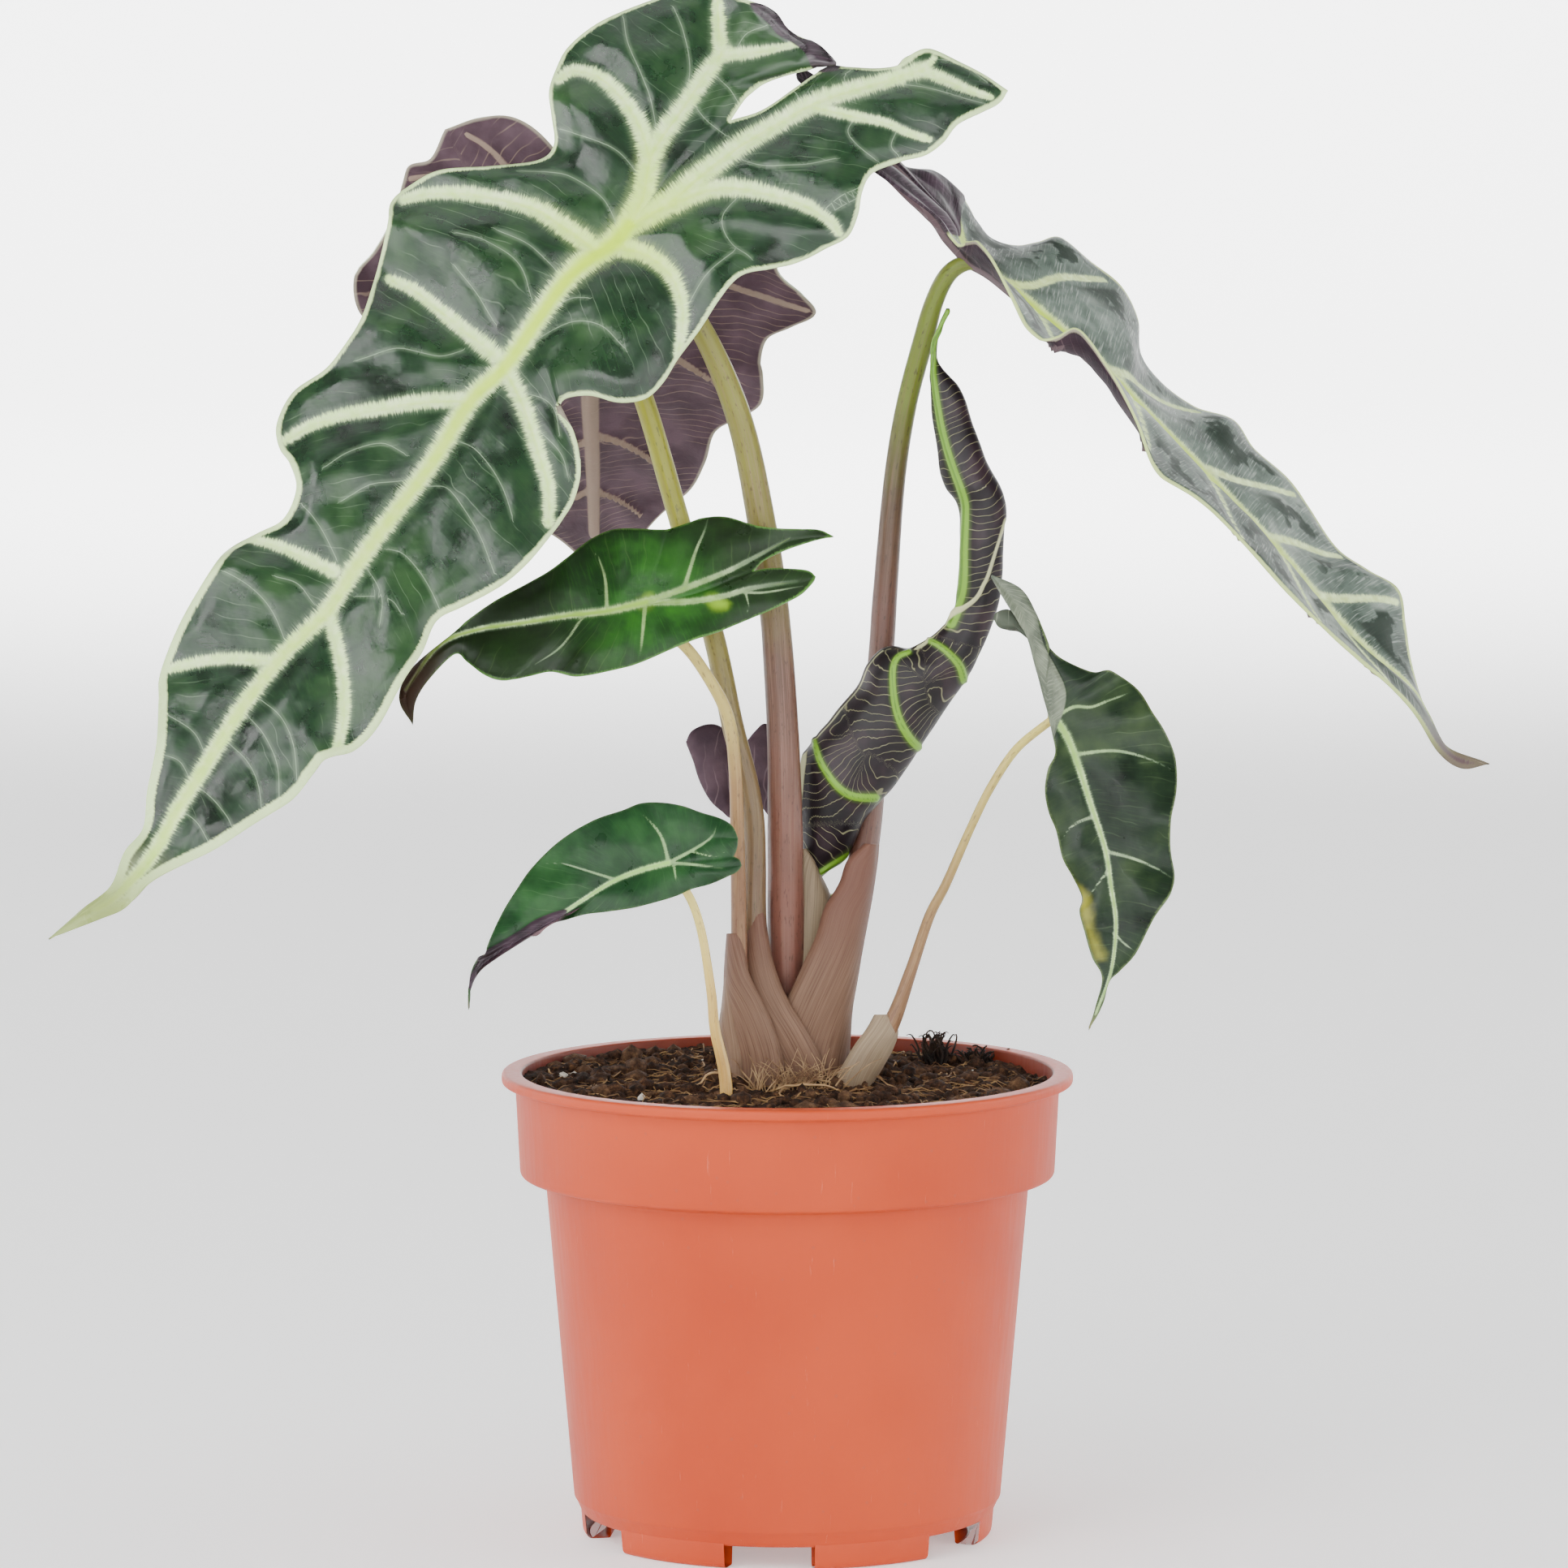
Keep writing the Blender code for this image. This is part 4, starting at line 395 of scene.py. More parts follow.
LOWER_LEFT_VEINS_PX = [
    ([(824, 1063), (790, 1072), (755, 1086), (721, 1107), (695, 1124), (640, 1160), (590, 1215)],
     1.4, 0.5),
    ([(824, 1063), (815, 1031), (799, 1010), (790, 1003)], 0.9, 0.4),
    ([(824, 1063), (854, 1047), (877, 1031), (883, 1012)], 0.9, 0.4),
    ([(824, 1063), (862, 1066), (890, 1070)], 0.8, 0.4),
    ([(760, 1084), (721, 1072), (693, 1064), (668, 1064)], 0.7, 0.25),
    ([(830, 1064), (833, 1086)], 0.7, 0.3),
    ([(850, 1049), (880, 1055), (896, 1048)], 0.5, 0.25),
]
LOWER_RIGHT_VEINS_PX = [
    ([(1294, 878), (1314, 906), (1329, 944), (1345, 994), (1362, 1047), (1369, 1093), (1375, 1139),
      (1369, 1197), (1350, 1250)], 1.9, 0.6),
    ([(1323, 930), (1371, 925), (1410, 933), (1444, 948)], 0.9, 0.35),
    ([(1362, 1049), (1394, 1057), (1425, 1070), (1444, 1082)], 0.9, 0.35),
    ([(1349, 1005), (1322, 1017), (1308, 1036)], 0.8, 0.35),
    ([(1367, 1070), (1341, 1105)], 0.6, 0.3),
    ([(1372, 1150), (1394, 1170), (1410, 1180)], 0.6, 0.25),
    ([(1300, 884), (1323, 871), (1345, 871), (1368, 862), (1398, 852)], 0.9, 0.35),
    ([(1294, 878), (1290, 830), (1262, 770), (1232, 720)], 1.0, 0.4),
]
# Where a margin has rolled over and shows the underside, outlined in pixels of the photograph
FRONT_FOLDS_PX = [
    [(922, 2), (951, 2), (964, 18), (974, 33), (987, 47), (1008, 50), (1026, 69), (1038, 87), (1008, 92),
     (999, 84), (990, 66), (973, 52), (957, 42), (946, 28), (930, 15)]]
# The right leaf's two ears turn over up to their tips, which the front leaf hides
RIGHT_FOLDS_PX = [
    [(950, 70), (1010, 70), (1060, 130), (1117, 192), (1151, 200), (1182, 216), (1195, 240), (1186, 253),
     (1185, 268), (1180, 292), (1130, 262), (1076, 226), (1045, 208), (1000, 178), (950, 170)]]
LOWER_LEFT_FOLDS_PX = [
    [(572, 1216), (584, 1192), (593, 1175), (617, 1160), (640, 1146), (663, 1131), (699, 1120), (685, 1143),
     (656, 1163), (628, 1179), (605, 1191), (592, 1203), (584, 1220)]]
LOWER_RIGHT_FOLDS_PX = [
    [(1212, 702), (1240, 698), (1264, 720), (1277, 750), (1285, 790), (1300, 820), (1313, 848), (1312, 872),
     (1302, 900), (1290, 930), (1284, 890), (1277, 850), (1267, 812), (1254, 775), (1236, 742)]]
# Yellowed tissue, outlined in the same way
MIDDLE_YELLOW_PX = [
    [(786, 736), (796, 730), (808, 734), (804, 745), (791, 748)],
    [(868, 738), (886, 734), (900, 742), (892, 752), (876, 752)]]
LOWER_RIGHT_YELLOW_PX = [
    [(1322, 1085), (1338, 1092), (1349, 1112), (1352, 1140), (1362, 1176), (1350, 1184), (1336, 1160),
     (1326, 1120)]]
# The right leaf lies edge on to the photograph, so its veins go by place on the blade instead:
# side, t where they leave the rib, t where they meet the margin.
RIGHT_VEINS = [
    (0, 0.955, 0.79), (0, 0.765, 0.60), (0, 0.58, 0.445), (0, 0.445, 0.37), (0, 0.34, 0.27),
    (0, 1.05, 1.22), (0, 1.4, 1.6), (1, 0.90, 0.78), (1, 0.72, 0.61), (1, 0.57, 0.46),
    (1, 0.43, 0.34), (1, 0.31, 0.22), (1, 1.2, 1.4),
]

# The stalks: foot and route in mm, each point with its radius last. A route is drawn in the front
# view, so its points are x, z and depth. End and approach are distances below the blade.
PETIOLES = {
    "petiole_front": dict(
        foot=(-2.0, 4.6, 97.1, 3.4), blade=FRONT, end=2.3, approach=9,
        route=[(-0.3, 112, 3, 3.9), (-0.3, 129, 1, 3.9), (-0.4, 144, -1, 3.7), (-0.6, 160, -2, 3.5),
               (-1.2, 175, -2, 3.3), (-2.7, 195, -2, 3.1), (-5.3, 213, -2.5, 3.0),
               (-10, 235, -4, 2.7), (-17.9, 253.6, -6, 2.3), (-26.5, 265, -6.5, 2.0)]),
    "petiole_back": dict(
        foot=(-0.7, -3.9, 97.1, 3.4), blade=BACK, end=2.3, approach=9,
        route=[(-4.0, 112, -4.6, 3.1), (-6.8, 127, -5, 2.7), (-7.2, 152, -4.5, 2.3),
               (-11.6, 171.6, -3.5, 2.3), (-15.5, 190, -1.5, 2.3), (-22.3, 213, 1, 2.2),
               (-29.7, 238.5, 3, 2.1), (-35.5, 252, 4, 2.0)]),
    "petiole_right": dict(
        foot=(7.4, -1.6, 97.1, 3.6), blade=None, end=0, approach=0,
        route=[(10, 113, -0.5, 3.5), (12.4, 126, 2, 3.4), (15, 138, 6, 3.2), (17, 152, 10.5, 3.0),
               (18.3, 170, 14.5, 2.8), (19.6, 186, 15, 2.7), (20.5, 200, 14.5, 2.6),
               (22.3, 222, 13, 2.3), (24.7, 237.4, 11.5, 2.2), (28.2, 251, 9, 2.2),
               (30.5, 259.2, 7.5, 2.0), (33.3, 264.8, 6.2, 1.9), (36.8, 267.2, 5.2, 1.7),
               (40.2, 266.8, 5, 1.3), (43.4, 264.2, 5, 0.8)]),
    "petiole_young": dict(
        foot=(4.8, 5.9, 97.1, 1.7), blade=None, end=0, approach=0,
        route=[(6.4, 110, 6.4, 1.7), (8.0, 124, 6.8, 1.7), (8.4, 135.3, 6.3, 1.6)]),
    "petiole_middle": dict(
        foot=(-8.2, -4.2, 97.1, 2.9), blade=MIDDLE, end=2.2, approach=5,
        route=[(-9.4, 108, -6.5, 2.4), (-10, 119.6, -8.5, 1.8), (-10.4, 144.4, -11, 1.5),
               (-11, 162.6, -12, 1.35), (-12.6, 173, -12, 1.3), (-17, 181.5, -13.5, 1.2),
               (-22, 188, -15, 1.2)]),
    "petiole_lower_left": dict(
        foot=(-12.6, -25.0, 80.0, 1.4), blade=LOWER_LEFT, end=2.2, approach=5,
        route=[(-12.9, 95, -25, 1.3), (-15.2, 106.7, -26, 1.1), (-16, 114.8, -26.5, 1.0),
               (-18.1, 127.7, -27, 0.9), (-21, 135.5, -27.5, 0.9)]),
    "petiole_lower_right": dict(
        foot=(15.0, -6.0, 80.0, 2.4), blade=LOWER_RIGHT, end=2.2, approach=5,
        route=[(15.2, 96, -6, 2.5), (19.5, 104, -6.5, 2.2), (22.5, 109.4, -7, 1.7),
               (25.9, 119, -7.5, 1.3), (29.8, 130.6, -8, 1.1), (33.2, 137.3, -8.5, 1.0),
               (38.3, 149, -9, 0.9), (42.7, 158, -9.5, 0.9), (48.1, 166, -10.5, 0.9)]),
}


# From the photograph and the CAD to real places

def photo_points(pixels):
    """Front view x, z (mm, on the plane y = 0) of pixels of the photograph."""
    pixels = np.asarray(pixels, float)
    right = (pixels[:, 0] - PHOTO_SIDE / 2) / PHOTO_FOCAL
    up = (PHOTO_SIDE / 2 - pixels[:, 1]) / PHOTO_FOCAL
    ahead = math.cos(PHOTO_PITCH) + up * math.sin(PHOTO_PITCH)
    rise = up * math.cos(PHOTO_PITCH) - math.sin(PHOTO_PITCH)
    reach = -EYE[1] / ahead
    return np.stack([EYE[0] + right * reach, EYE[2] + rise * reach], axis=-1)


def drawn_places(points):
    """Front view x, z of points in space (mm), where their lines of sight cross the plane y = 0."""
    reach = 1 + points[:, 1:2] / -EYE[1]
    return EYE[[0, 2]] + (points[:, [0, 2]] - EYE[[0, 2]]) / reach


def pot_axis():
    """Where the pot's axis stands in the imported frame, mm. Everything drawn is shifted by it."""
    low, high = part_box("pot")
    middle = (low + high) / 2 / MM
    return np.array([middle.x, middle.y, 0.0])


AXIS = pot_axis()


# Making and finishing meshes

def alone(thing):
    """Select one object and make it the active one."""
    bpy.ops.object.select_all(action="DESELECT")
    thing.select_set(True)
    bpy.context.view_layer.objects.active = thing


def new_piece(name, points, faces, fields=None):
    """A smooth mesh object from points in mm, with any per-point vector fields."""
    mesh = bpy.data.meshes.new(name)
    mesh.from_pydata(((np.asarray(points) + AXIS) * MM).tolist(), [], faces)
    mesh.shade_smooth()
    piece = bpy.data.objects.new(name, mesh)
    bpy.context.scene.collection.objects.link(piece)
    for field, values in (fields or {}).items():
        set_field(piece, field, values)
    return piece


def mend(piece, weld=0.0, turn=True):
    """Weld doubles within a distance in mm and turn the faces outwards."""
    alone(piece)
    bpy.ops.object.mode_set(mode="EDIT")
    bpy.ops.mesh.select_all(action="SELECT")
    if weld:
        bpy.ops.mesh.remove_doubles(threshold=weld * MM)
    if turn:
        bpy.ops.mesh.normals_make_consistent(inside=False)
    bpy.ops.object.mode_set(mode="OBJECT")


def finish_modifier(piece, kind, **settings):
    """Add a modifier and apply it."""
    alone(piece)
    step = piece.modifiers.new("step", kind)
    for setting, value in settings.items():
        setattr(step, setting, value)
    bpy.ops.object.modifier_apply(modifier=step.name)


def join(name, pieces):
    """One object of several, each keeping its own material."""
    alone(pieces[0])
    for piece in pieces:
        piece.select_set(True)
    bpy.ops.object.join()
    pieces[0].name = name
    pieces[0].data.name = name
    return pieces[0]


def stands_for(piece, slot, *nodes, finish=None):
    """Make a piece ride with the plant, in the place of CAD nodes, with its finish."""
    if finish:
        piece.data.materials.append(finish)
    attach(piece, "root")
    if nodes:
        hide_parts(*nodes)


def vertex_values(piece, kind):
    flat = np.zeros(len(piece.data.vertices) * 3)
    piece.data.vertices.foreach_get(kind, flat)
    return flat.reshape(-1, 3)


def places_of(piece):
    """Vertex places of a piece in drawn mm."""
    return vertex_values(piece, "co") / MM - AXIS


def move_to(piece, points):
    piece.data.vertices.foreach_set("co", ((points + AXIS) * MM).ravel())
    piece.data.update()


def normals_of(piece):
    return vertex_values(piece, "normal")


def set_field(piece, field, values):
    attribute = piece.data.attributes.new(field, "FLOAT_VECTOR", "POINT")
    attribute.data.foreach_set("vector", np.asarray(values, np.float32).ravel())


def rumple(points, size, seed):
    """Smooth noise from -1 to 1 at points in mm, with bumps of a size in mm."""
    shift = Vector((seed * 13.7, seed * 5.3, seed * 9.1))
    return np.array([noise.noise(Vector(point) / size + shift) for point in points])


# Tubes and other lofted skins

def frames_along(line):
    """Two unit normals that don't twist, at each point of a line."""
    tangents = np.gradient(line, axis=0)
    tangents /= np.linalg.norm(tangents, axis=1)[:, None]
    side = np.cross(tangents[0], (0.0, 1.0, 0.0))
    if np.linalg.norm(side) < 0.2:
        side = np.cross(tangents[0], (1.0, 0.0, 0.0))
    sides = []
    for tangent in tangents:
        side = side - tangent * np.dot(side, tangent)
        side = side / np.linalg.norm(side)
        sides.append(side)
    sides = np.array(sides)
    return sides, np.cross(tangents, sides)


def ring_faces(count, sides, start=0, closed=True):
    """Quads between a count of rings of points, which begin at a point's number."""
    faces = []
    for i in range(count - 1):
        for k in range(sides if closed else sides - 1):
            m = (k + 1) % sides
            a, b = start + i * sides, start + (i + 1) * sides
            faces.append((a + k, a + m, b + m, b + k))
    return faces


def loft(name, rings, closed=True):
    """A skin over rings of points (mm). Its field "grain" holds mm around, mm along and height."""
    rings = np.asarray(rings, float)
    count, sides = rings.shape[:2]
    around = np.linalg.norm(np.diff(rings, axis=1, append=rings[:, :1]), axis=2)
    around = np.concatenate([np.zeros((count, 1)), np.cumsum(around, axis=1)[:, :-1]], axis=1)
    steps = np.linalg.norm(np.diff(rings.mean(axis=1), axis=0), axis=1)
    along = np.concatenate([[0], np.cumsum(steps)])
    grain = np.stack([around, np.repeat(along[:, None], sides, 1), rings[..., 2]], axis=-1)
    faces = ring_faces(count, sides, closed=closed)
    if closed:
        faces.append(tuple(range(sides))[::-1])
        faces.append(tuple(range((count - 1) * sides, count * sides)))
    return new_piece(name, rings.reshape(-1, 3), faces, {"grain": grain.reshape(-1, 3)})


def tube_rings(route, sides, ridges=0.0):
    """Rings round a route of points with a radius, lightly ridged."""
    route = np.asarray(route, float)
    across, back = frames_along(route[:, :3])
    angles = np.arange(sides) * math.tau / sides
    swell = 1 + ridges * np.cos(angles * 9)
    ring = np.cos(angles)[:, None] * across[:, None] + np.sin(angles)[:, None] * back[:, None]
    return route[:, None, :3] + ring * (route[:, 3, None] * swell)[..., None]


def strands(name, lines, sides):
    """Many thin tubes in one piece, each line a list of (x, y, z, radius) in mm."""
    points, faces, grain = [], [], []
    for line in lines:
        rings = tube_rings(line, sides)
        start = sum(len(block) for block in points)
        count = len(rings)
        points.append(rings.reshape(-1, 3))
        along = np.repeat(np.arange(count) * 1.0, sides)
        grain.append(np.stack([np.full(count * sides, start * 0.37), along, along * 0], axis=-1))
        faces += ring_faces(count, sides, start)
        faces.append(tuple(range(start, start + sides))[::-1])
        faces.append(tuple(range(start + (count - 1) * sides, start + count * sides)))
    return new_piece(name, np.vstack(points), faces, {"grain": np.vstack(grain)})


# Materials

# What nearly every node of a kind is set to, and the output that is read; others say so themselves
USUAL_SETTINGS = {"MapRange": {"interpolation_type": "SMOOTHSTEP"}, "Mix": {"data_type": "RGBA"}}
USUAL_OUTPUT = {"Mix": 2, "Attribute": 1}


def paint(code):
    """Linear colour of an sRGB hex code."""
    levels = [int(code[i:i + 2], 16) / 255 for i in (1, 3, 5)]
    return (*(v / 12.92 if v <= 0.04045 else ((v + 0.055) / 1.055) ** 2.4 for v in levels), 1.0)


def add(tree, kind, *values, get=None, stops=None, **settings):
    """Add a node with its settings and links, and return one of its outputs.

    Values go to its sockets in order, or by number or name where one is a dict. Text is a hex colour.
    """
    node = tree.nodes.new("ShaderNode" + kind)
    for setting, value in {**USUAL_SETTINGS.get(kind, {}), **settings}.items():
        setattr(node, setting, value)
    sockets = {}
    for i, value in enumerate(values):
        sockets.update(value if isinstance(value, dict) else {i: value})
    for socket, value in sockets.items():
        if isinstance(value, bpy.types.NodeSocket):
            tree.links.new(value, node.inputs[socket])
        else:
            node.inputs[socket].default_value = paint(value) if isinstance(value, str) else value
    if stops:
        ramp = node.color_ramp.elements
        while len(ramp) < len(stops):
            ramp.new(0.5)
        for element, (place, code) in zip(ramp, stops):
            element.position = place
            element.color = paint(code)
    return node.outputs[USUAL_OUTPUT.get(kind, 0) if get is None else get]


def new_finish(name, roughness, **values):
    """A material with a Principled shader. Values that are the same all over are set on its sockets."""
    finish = bpy.data.materials.new(name)
    finish.use_nodes = True
    shader = finish.node_tree.nodes["Principled BSDF"]
    shader.inputs["Roughness"].default_value = roughness
    for socket, value in values.items():
        shader.inputs[socket.replace("_", " ")].default_value = value
    return finish, finish.node_tree, shader


def plug(tree, shader, colour, roughness=None, height=None, strength=0.3, distance=0.2):
    """Link a pattern's colour, roughness and height (bumps in mm) to the shader."""
    tree.links.new(colour, shader.inputs["Base Color"])
    if roughness is not None:
        tree.links.new(roughness, shader.inputs["Roughness"])
    if height is not None:
        bump = add(tree, "Bump", {"Strength": strength, "Distance": distance * MM, "Height": height})
        tree.links.new(bump, shader.inputs["Normal"])


def object_millimetres(tree):
    """Object coordinates in mm."""
    place = add(tree, "TexCoord", get=3)
    return add(tree, "VectorMath", place, (1 / MM, 1 / MM, 1 / MM), operation="MULTIPLY")


def mesh_field(tree, field):
    """The three values of one of a mesh's own fields."""
    return add(tree, "SeparateXYZ", add(tree, "Attribute", attribute_name=field)).node.outputs


def contours(tree, place, across, per_mm, wander_scale, wander, sway=None):
    """How far, 0 to 0.5 of their spacing, a point is from the nearest of many wandering lines."""
    row = add(tree, "TexNoise", {"Vector": place, "Scale": wander_scale, "Detail": 2.0})
    row = add(tree, "Math", row, wander, operation="MULTIPLY")
    row = add(tree, "Math", across, per_mm, row, operation="MULTIPLY_ADD")
    if sway:
        row = add(tree, "Math", row, sway)
    row = add(tree, "Math", add(tree, "Math", row, operation="FRACT"), 0.5, operation="SUBTRACT")
    return add(tree, "Math", row, operation="ABSOLUTE")


# The blades

LEAF_THICKNESS = 0.55  # mm
RIB_DEPTH = 1.7  # how thick a blade is over its midrib, mm
FOLD_HEIGHT = 0.8  # how far a rolled margin stands proud, mm
CURL_FROM = 0.68  # where a curled margin begins, as a share of the way from the rib
CURL_LEAN = 0.25  # how far it leans back for each mm that it stands up
FAR_OFF = 50.0  # stands for no vein or margin near by, mm
# Relief of the skin between the veins: the distances from a vein over which it rises (mm), its share
# of the quilting, and the size (mm) and seed of the bumps that it follows
QUILTS = [(0.5, 7.0, 1.0, None, 0), (2.0, 9.0, 0.8, 9.0, 1), (1.0, 5.0, 0.22, 4.2, 4)]
VEIN_GROOVE = 0.35  # depth of the grooves along veins and hair veins, as shares of the quilting
HAIR_GROOVE = 0.14


def plane_depth(leaf, x, z):
    dx = x - leaf["joint"][0]
    dz = z - leaf["joint"][1]
    return (leaf["depth"] + leaf["tilt"][0] * dx + leaf["tilt"][1] * dz
            + leaf["bend"][0] * dx ** 2 + leaf["bend"][1] * dz ** 2)


def rib_points(leaf, side, t):
    """Drawn x, z and depth off the plane of the midrib (t up to 1) and of this side's basal rib."""
    midrib = smooth_line([(*point, 0)[:3] for point in leaf["midrib"]])
    lobe = smooth_line([(*point, 0)[:3] for point in leaf["ribs"][side]])
    return np.where(t[:, None] <= 1, at_fraction(midrib, np.clip(t, 0, 1)),
                    at_fraction(lobe, np.clip(t - 1, 0, 1)))


def margin_points(leaf, side, edge, t):
    """Drawn x, z and depth off the plane of the outer or inner margin."""
    if edge == "outer":
        rows = leaf["outer"][side]
        index = np.interp(t, [row[0] for row in rows], range(len(rows)))
        return through_rows([(*row, 0)[1:4] for row in rows], index)
    notch = leaf["notch"][side]
    seam = smooth_line(leaf["seam"])
    rows = [(notch, *leaf["seam"][-1], 0)] + leaf["inner"][side]
    index = np.interp(t, [row[0] for row in rows], range(len(rows)))
    return np.where(t[:, None] <= notch, at_fraction(seam, np.clip((t - 1) / (notch - 1), 0, 1)),
                    through_rows([(*row, 0)[1:4] for row in rows], index))


def refined(leaf, sides, rows_of, step):
    """The rows of t of each side with the same number of new ones between, step mm apart."""
    counts = 1
    for side in sides:
        t = np.array(rows_of[side])
        edges = ("outer",) if t[0] < 1 else ("outer", "inner")
        for line in [rib_points(leaf, side, t)] + [margin_points(leaf, side, edge, t) for edge in edges]:
            counts = np.maximum(counts, np.ceil(np.linalg.norm(np.diff(line, axis=0), axis=1) / step))
    fine = {}
    for side in sides:
        t = rows_of[side]
        fine[side] = [t[0]]
        for i, count in enumerate(counts.astype(int)):
            fine[side] += [t[i] + (t[i + 1] - t[i]) * k / count for k in range(1, count + 1)]
    return fine


def fine_rows(leaf, step):
    """Values of t for the midrib and for each basal rib, the same wherever two sheets meet."""
    midrib = sorted({row[0] for side in (0, 1) for row in leaf["outer"][side] if row[0] <= 1})
    midrib = refined(leaf, (0, 1), [midrib, midrib], step)[0]
    shares = np.linspace(0, 1, 4)
    seam = refined(leaf, (0, 1), [1 + shares * (leaf["notch"][side] - 1) for side in (0, 1)], step)
    ribs = []
    for side in (0, 1):
        beyond = sorted({leaf["notch"][side]} | {row[0] for row in leaf["outer"][side] + leaf["inner"][side]
                                                if row[0] > leaf["notch"][side]})
        ribs.append(list(seam[side]) + refined(leaf, (side,), {side: beyond}, step)[side][1:])
    return midrib, ribs


def sheet(leaf, side, edge, t, v):
    """Grid of points in space, rows along t and columns v from the rib to the margin, and row lengths."""
    rib = rib_points(leaf, side, t)
    margin = margin_points(leaf, side, edge, t)
    v = np.asarray(v)[None, :]
    flat = rib[:, None, :2] * (1 - v[..., None]) + margin[:, None, :2] * v[..., None]
    length = np.linalg.norm(margin[:, :2] - rib[:, :2], axis=1)[:, None]
    spread = v ** leaf.get("spread", 2)
    off_plane = rib[:, 2:3] * (1 - spread) + margin[:, 2:3] * spread
    depth = plane_depth(leaf, flat[..., 0], flat[..., 1]) + off_plane
    points = in_space(np.concatenate([flat, depth[..., None]], axis=-1))
    for curled_side, low, high, rise in leaf.get("curls", ()):
        if side == curled_side and edge == "outer":
            # between two values of t the outer third of the blade stands up and leans back
            share = np.sin(np.pi * np.clip((t - low) / (high - low), 0, 1))[:, None]
            lift = rise * share ** 1.25 * np.clip((v - CURL_FROM) / (1 - CURL_FROM), 0, 1) ** 1.5
            points[..., 2] += lift
            points[..., 1] += CURL_LEAN * lift
    up = np.array(leaf["up"]) / np.linalg.norm(leaf["up"])
    return points + up * (leaf["sag"] * length * 4 * v * (1 - v))[..., None]


def blade_skin(name, leaf, step):
    """The blade's upper skin. Its field "grain" holds mm along the rows' middle and mm from the rib."""
    midrib, ribs = fine_rows(leaf, step)
    points, faces, grain = [], [], []
    start = 0
    for side in (0, 1):
        for edge, rows in (("outer", midrib + ribs[side][1:]), ("inner", ribs[side])):
            t = np.array(rows)
            longest = np.linalg.norm(margin_points(leaf, side, edge, t)[:, :2]
                                     - rib_points(leaf, side, t)[:, :2], axis=1).max()
            columns = max(4, int(longest / step))
            grid = sheet(leaf, side, edge, t, np.linspace(0, 1, columns + 1))
            middle = grid[:, int(columns * 0.7)]
            row_places = np.concatenate([[0], np.cumsum(np.linalg.norm(np.diff(middle, axis=0), axis=1))])
            row_places -= np.interp(1.0, t, row_places)
            out = np.concatenate([np.zeros((len(t), 1)),
                                  np.cumsum(np.linalg.norm(np.diff(grid, axis=1), axis=2), axis=1)], axis=1)
            points.append(grid.reshape(-1, 3))
            grain.append(np.stack([np.repeat(row_places[:, None], columns + 1, 1), out,
                                   np.full_like(out, side)], axis=-1).reshape(-1, 3))
            wide = columns + 1
            facing = np.cross(grid[1:, :-1] - grid[:-1, :-1], grid[1:, 1:] - grid[:-1, :-1])
            turned = facing.sum(axis=(0, 1)) @ np.array(leaf["up"]) < 0
            for i in range(len(t) - 1):
                for j in range(columns):
                    a = start + i * wide + j
                    face = (a, a + wide, a + wide + 1, a + 1)
                    faces.append(face[::-1] if turned else face)
            start += len(t) * wide
    skin = new_piece(name, np.vstack(points), faces, {"grain": np.vstack(grain)})
    mend(skin, weld=0.004, turn=False)
    return skin


def near_line(places, line):
    """For each place: distance to a polyline, distance along it at the nearest point, and side."""
    a, b = line[:-1], line[1:]
    reach = b - a
    lengths = np.maximum((reach ** 2).sum(axis=1), 1e-9)
    runs = np.concatenate([[0], np.cumsum(np.sqrt(lengths))])
    best = np.full(len(places), np.inf)
    run = np.zeros(len(places))
    side = np.ones(len(places))
    for k in range(len(a)):
        away = places - a[k]
        share = np.clip(away @ reach[k] / lengths[k], 0, 1)
        gap = away - share[:, None] * reach[k]
        distance = np.sqrt((gap ** 2).sum(axis=1))
        closer = distance < best
        best[closer] = distance[closer]
        run[closer] = (runs[k] + share * math.sqrt(lengths[k]))[closer]
        if places.shape[1] == 2:
            cross = reach[k][0] * away[:, 1] - reach[k][1] * away[:, 0]
            side[closer] = np.where(cross < 0, -1.0, 1.0)[closer]
    return best, run, side, runs[-1]


def vein_fields(places, veins, hairs):
    """Fields "vein" (distance over half width, distance in mm, run) and "hair" (signed, plain, core).

    The third value is how far along its side vein each place lies, 0 to 1.
    """
    ratio, distance, core, signed, plain = np.full((5, len(places)), FAR_OFF)
    run, share = np.zeros((2, len(places)))
    for k, (line, root, end) in enumerate(veins):
        gap, along, _, total = near_line(places, line)
        half = (root + (end - root) * along / total) / 2
        over = gap / half
        closer = over < ratio
        ratio[closer] = over[closer]
        run[closer] = along[closer] + 37.0 * k
        share[closer] = along[closer] / total * (k > 0)
        distance = np.minimum(distance, gap)
        core = np.minimum(core, over + 0.5 * (k > 0))
    for line in hairs:
        gap, _, side, _ = near_line(places, line)
        closer = gap < plain
        plain[closer] = gap[closer]
        signed[closer] = (gap * side)[closer]
    return np.stack([ratio, distance, run], axis=-1), np.stack([signed, plain, core], axis=-1), share


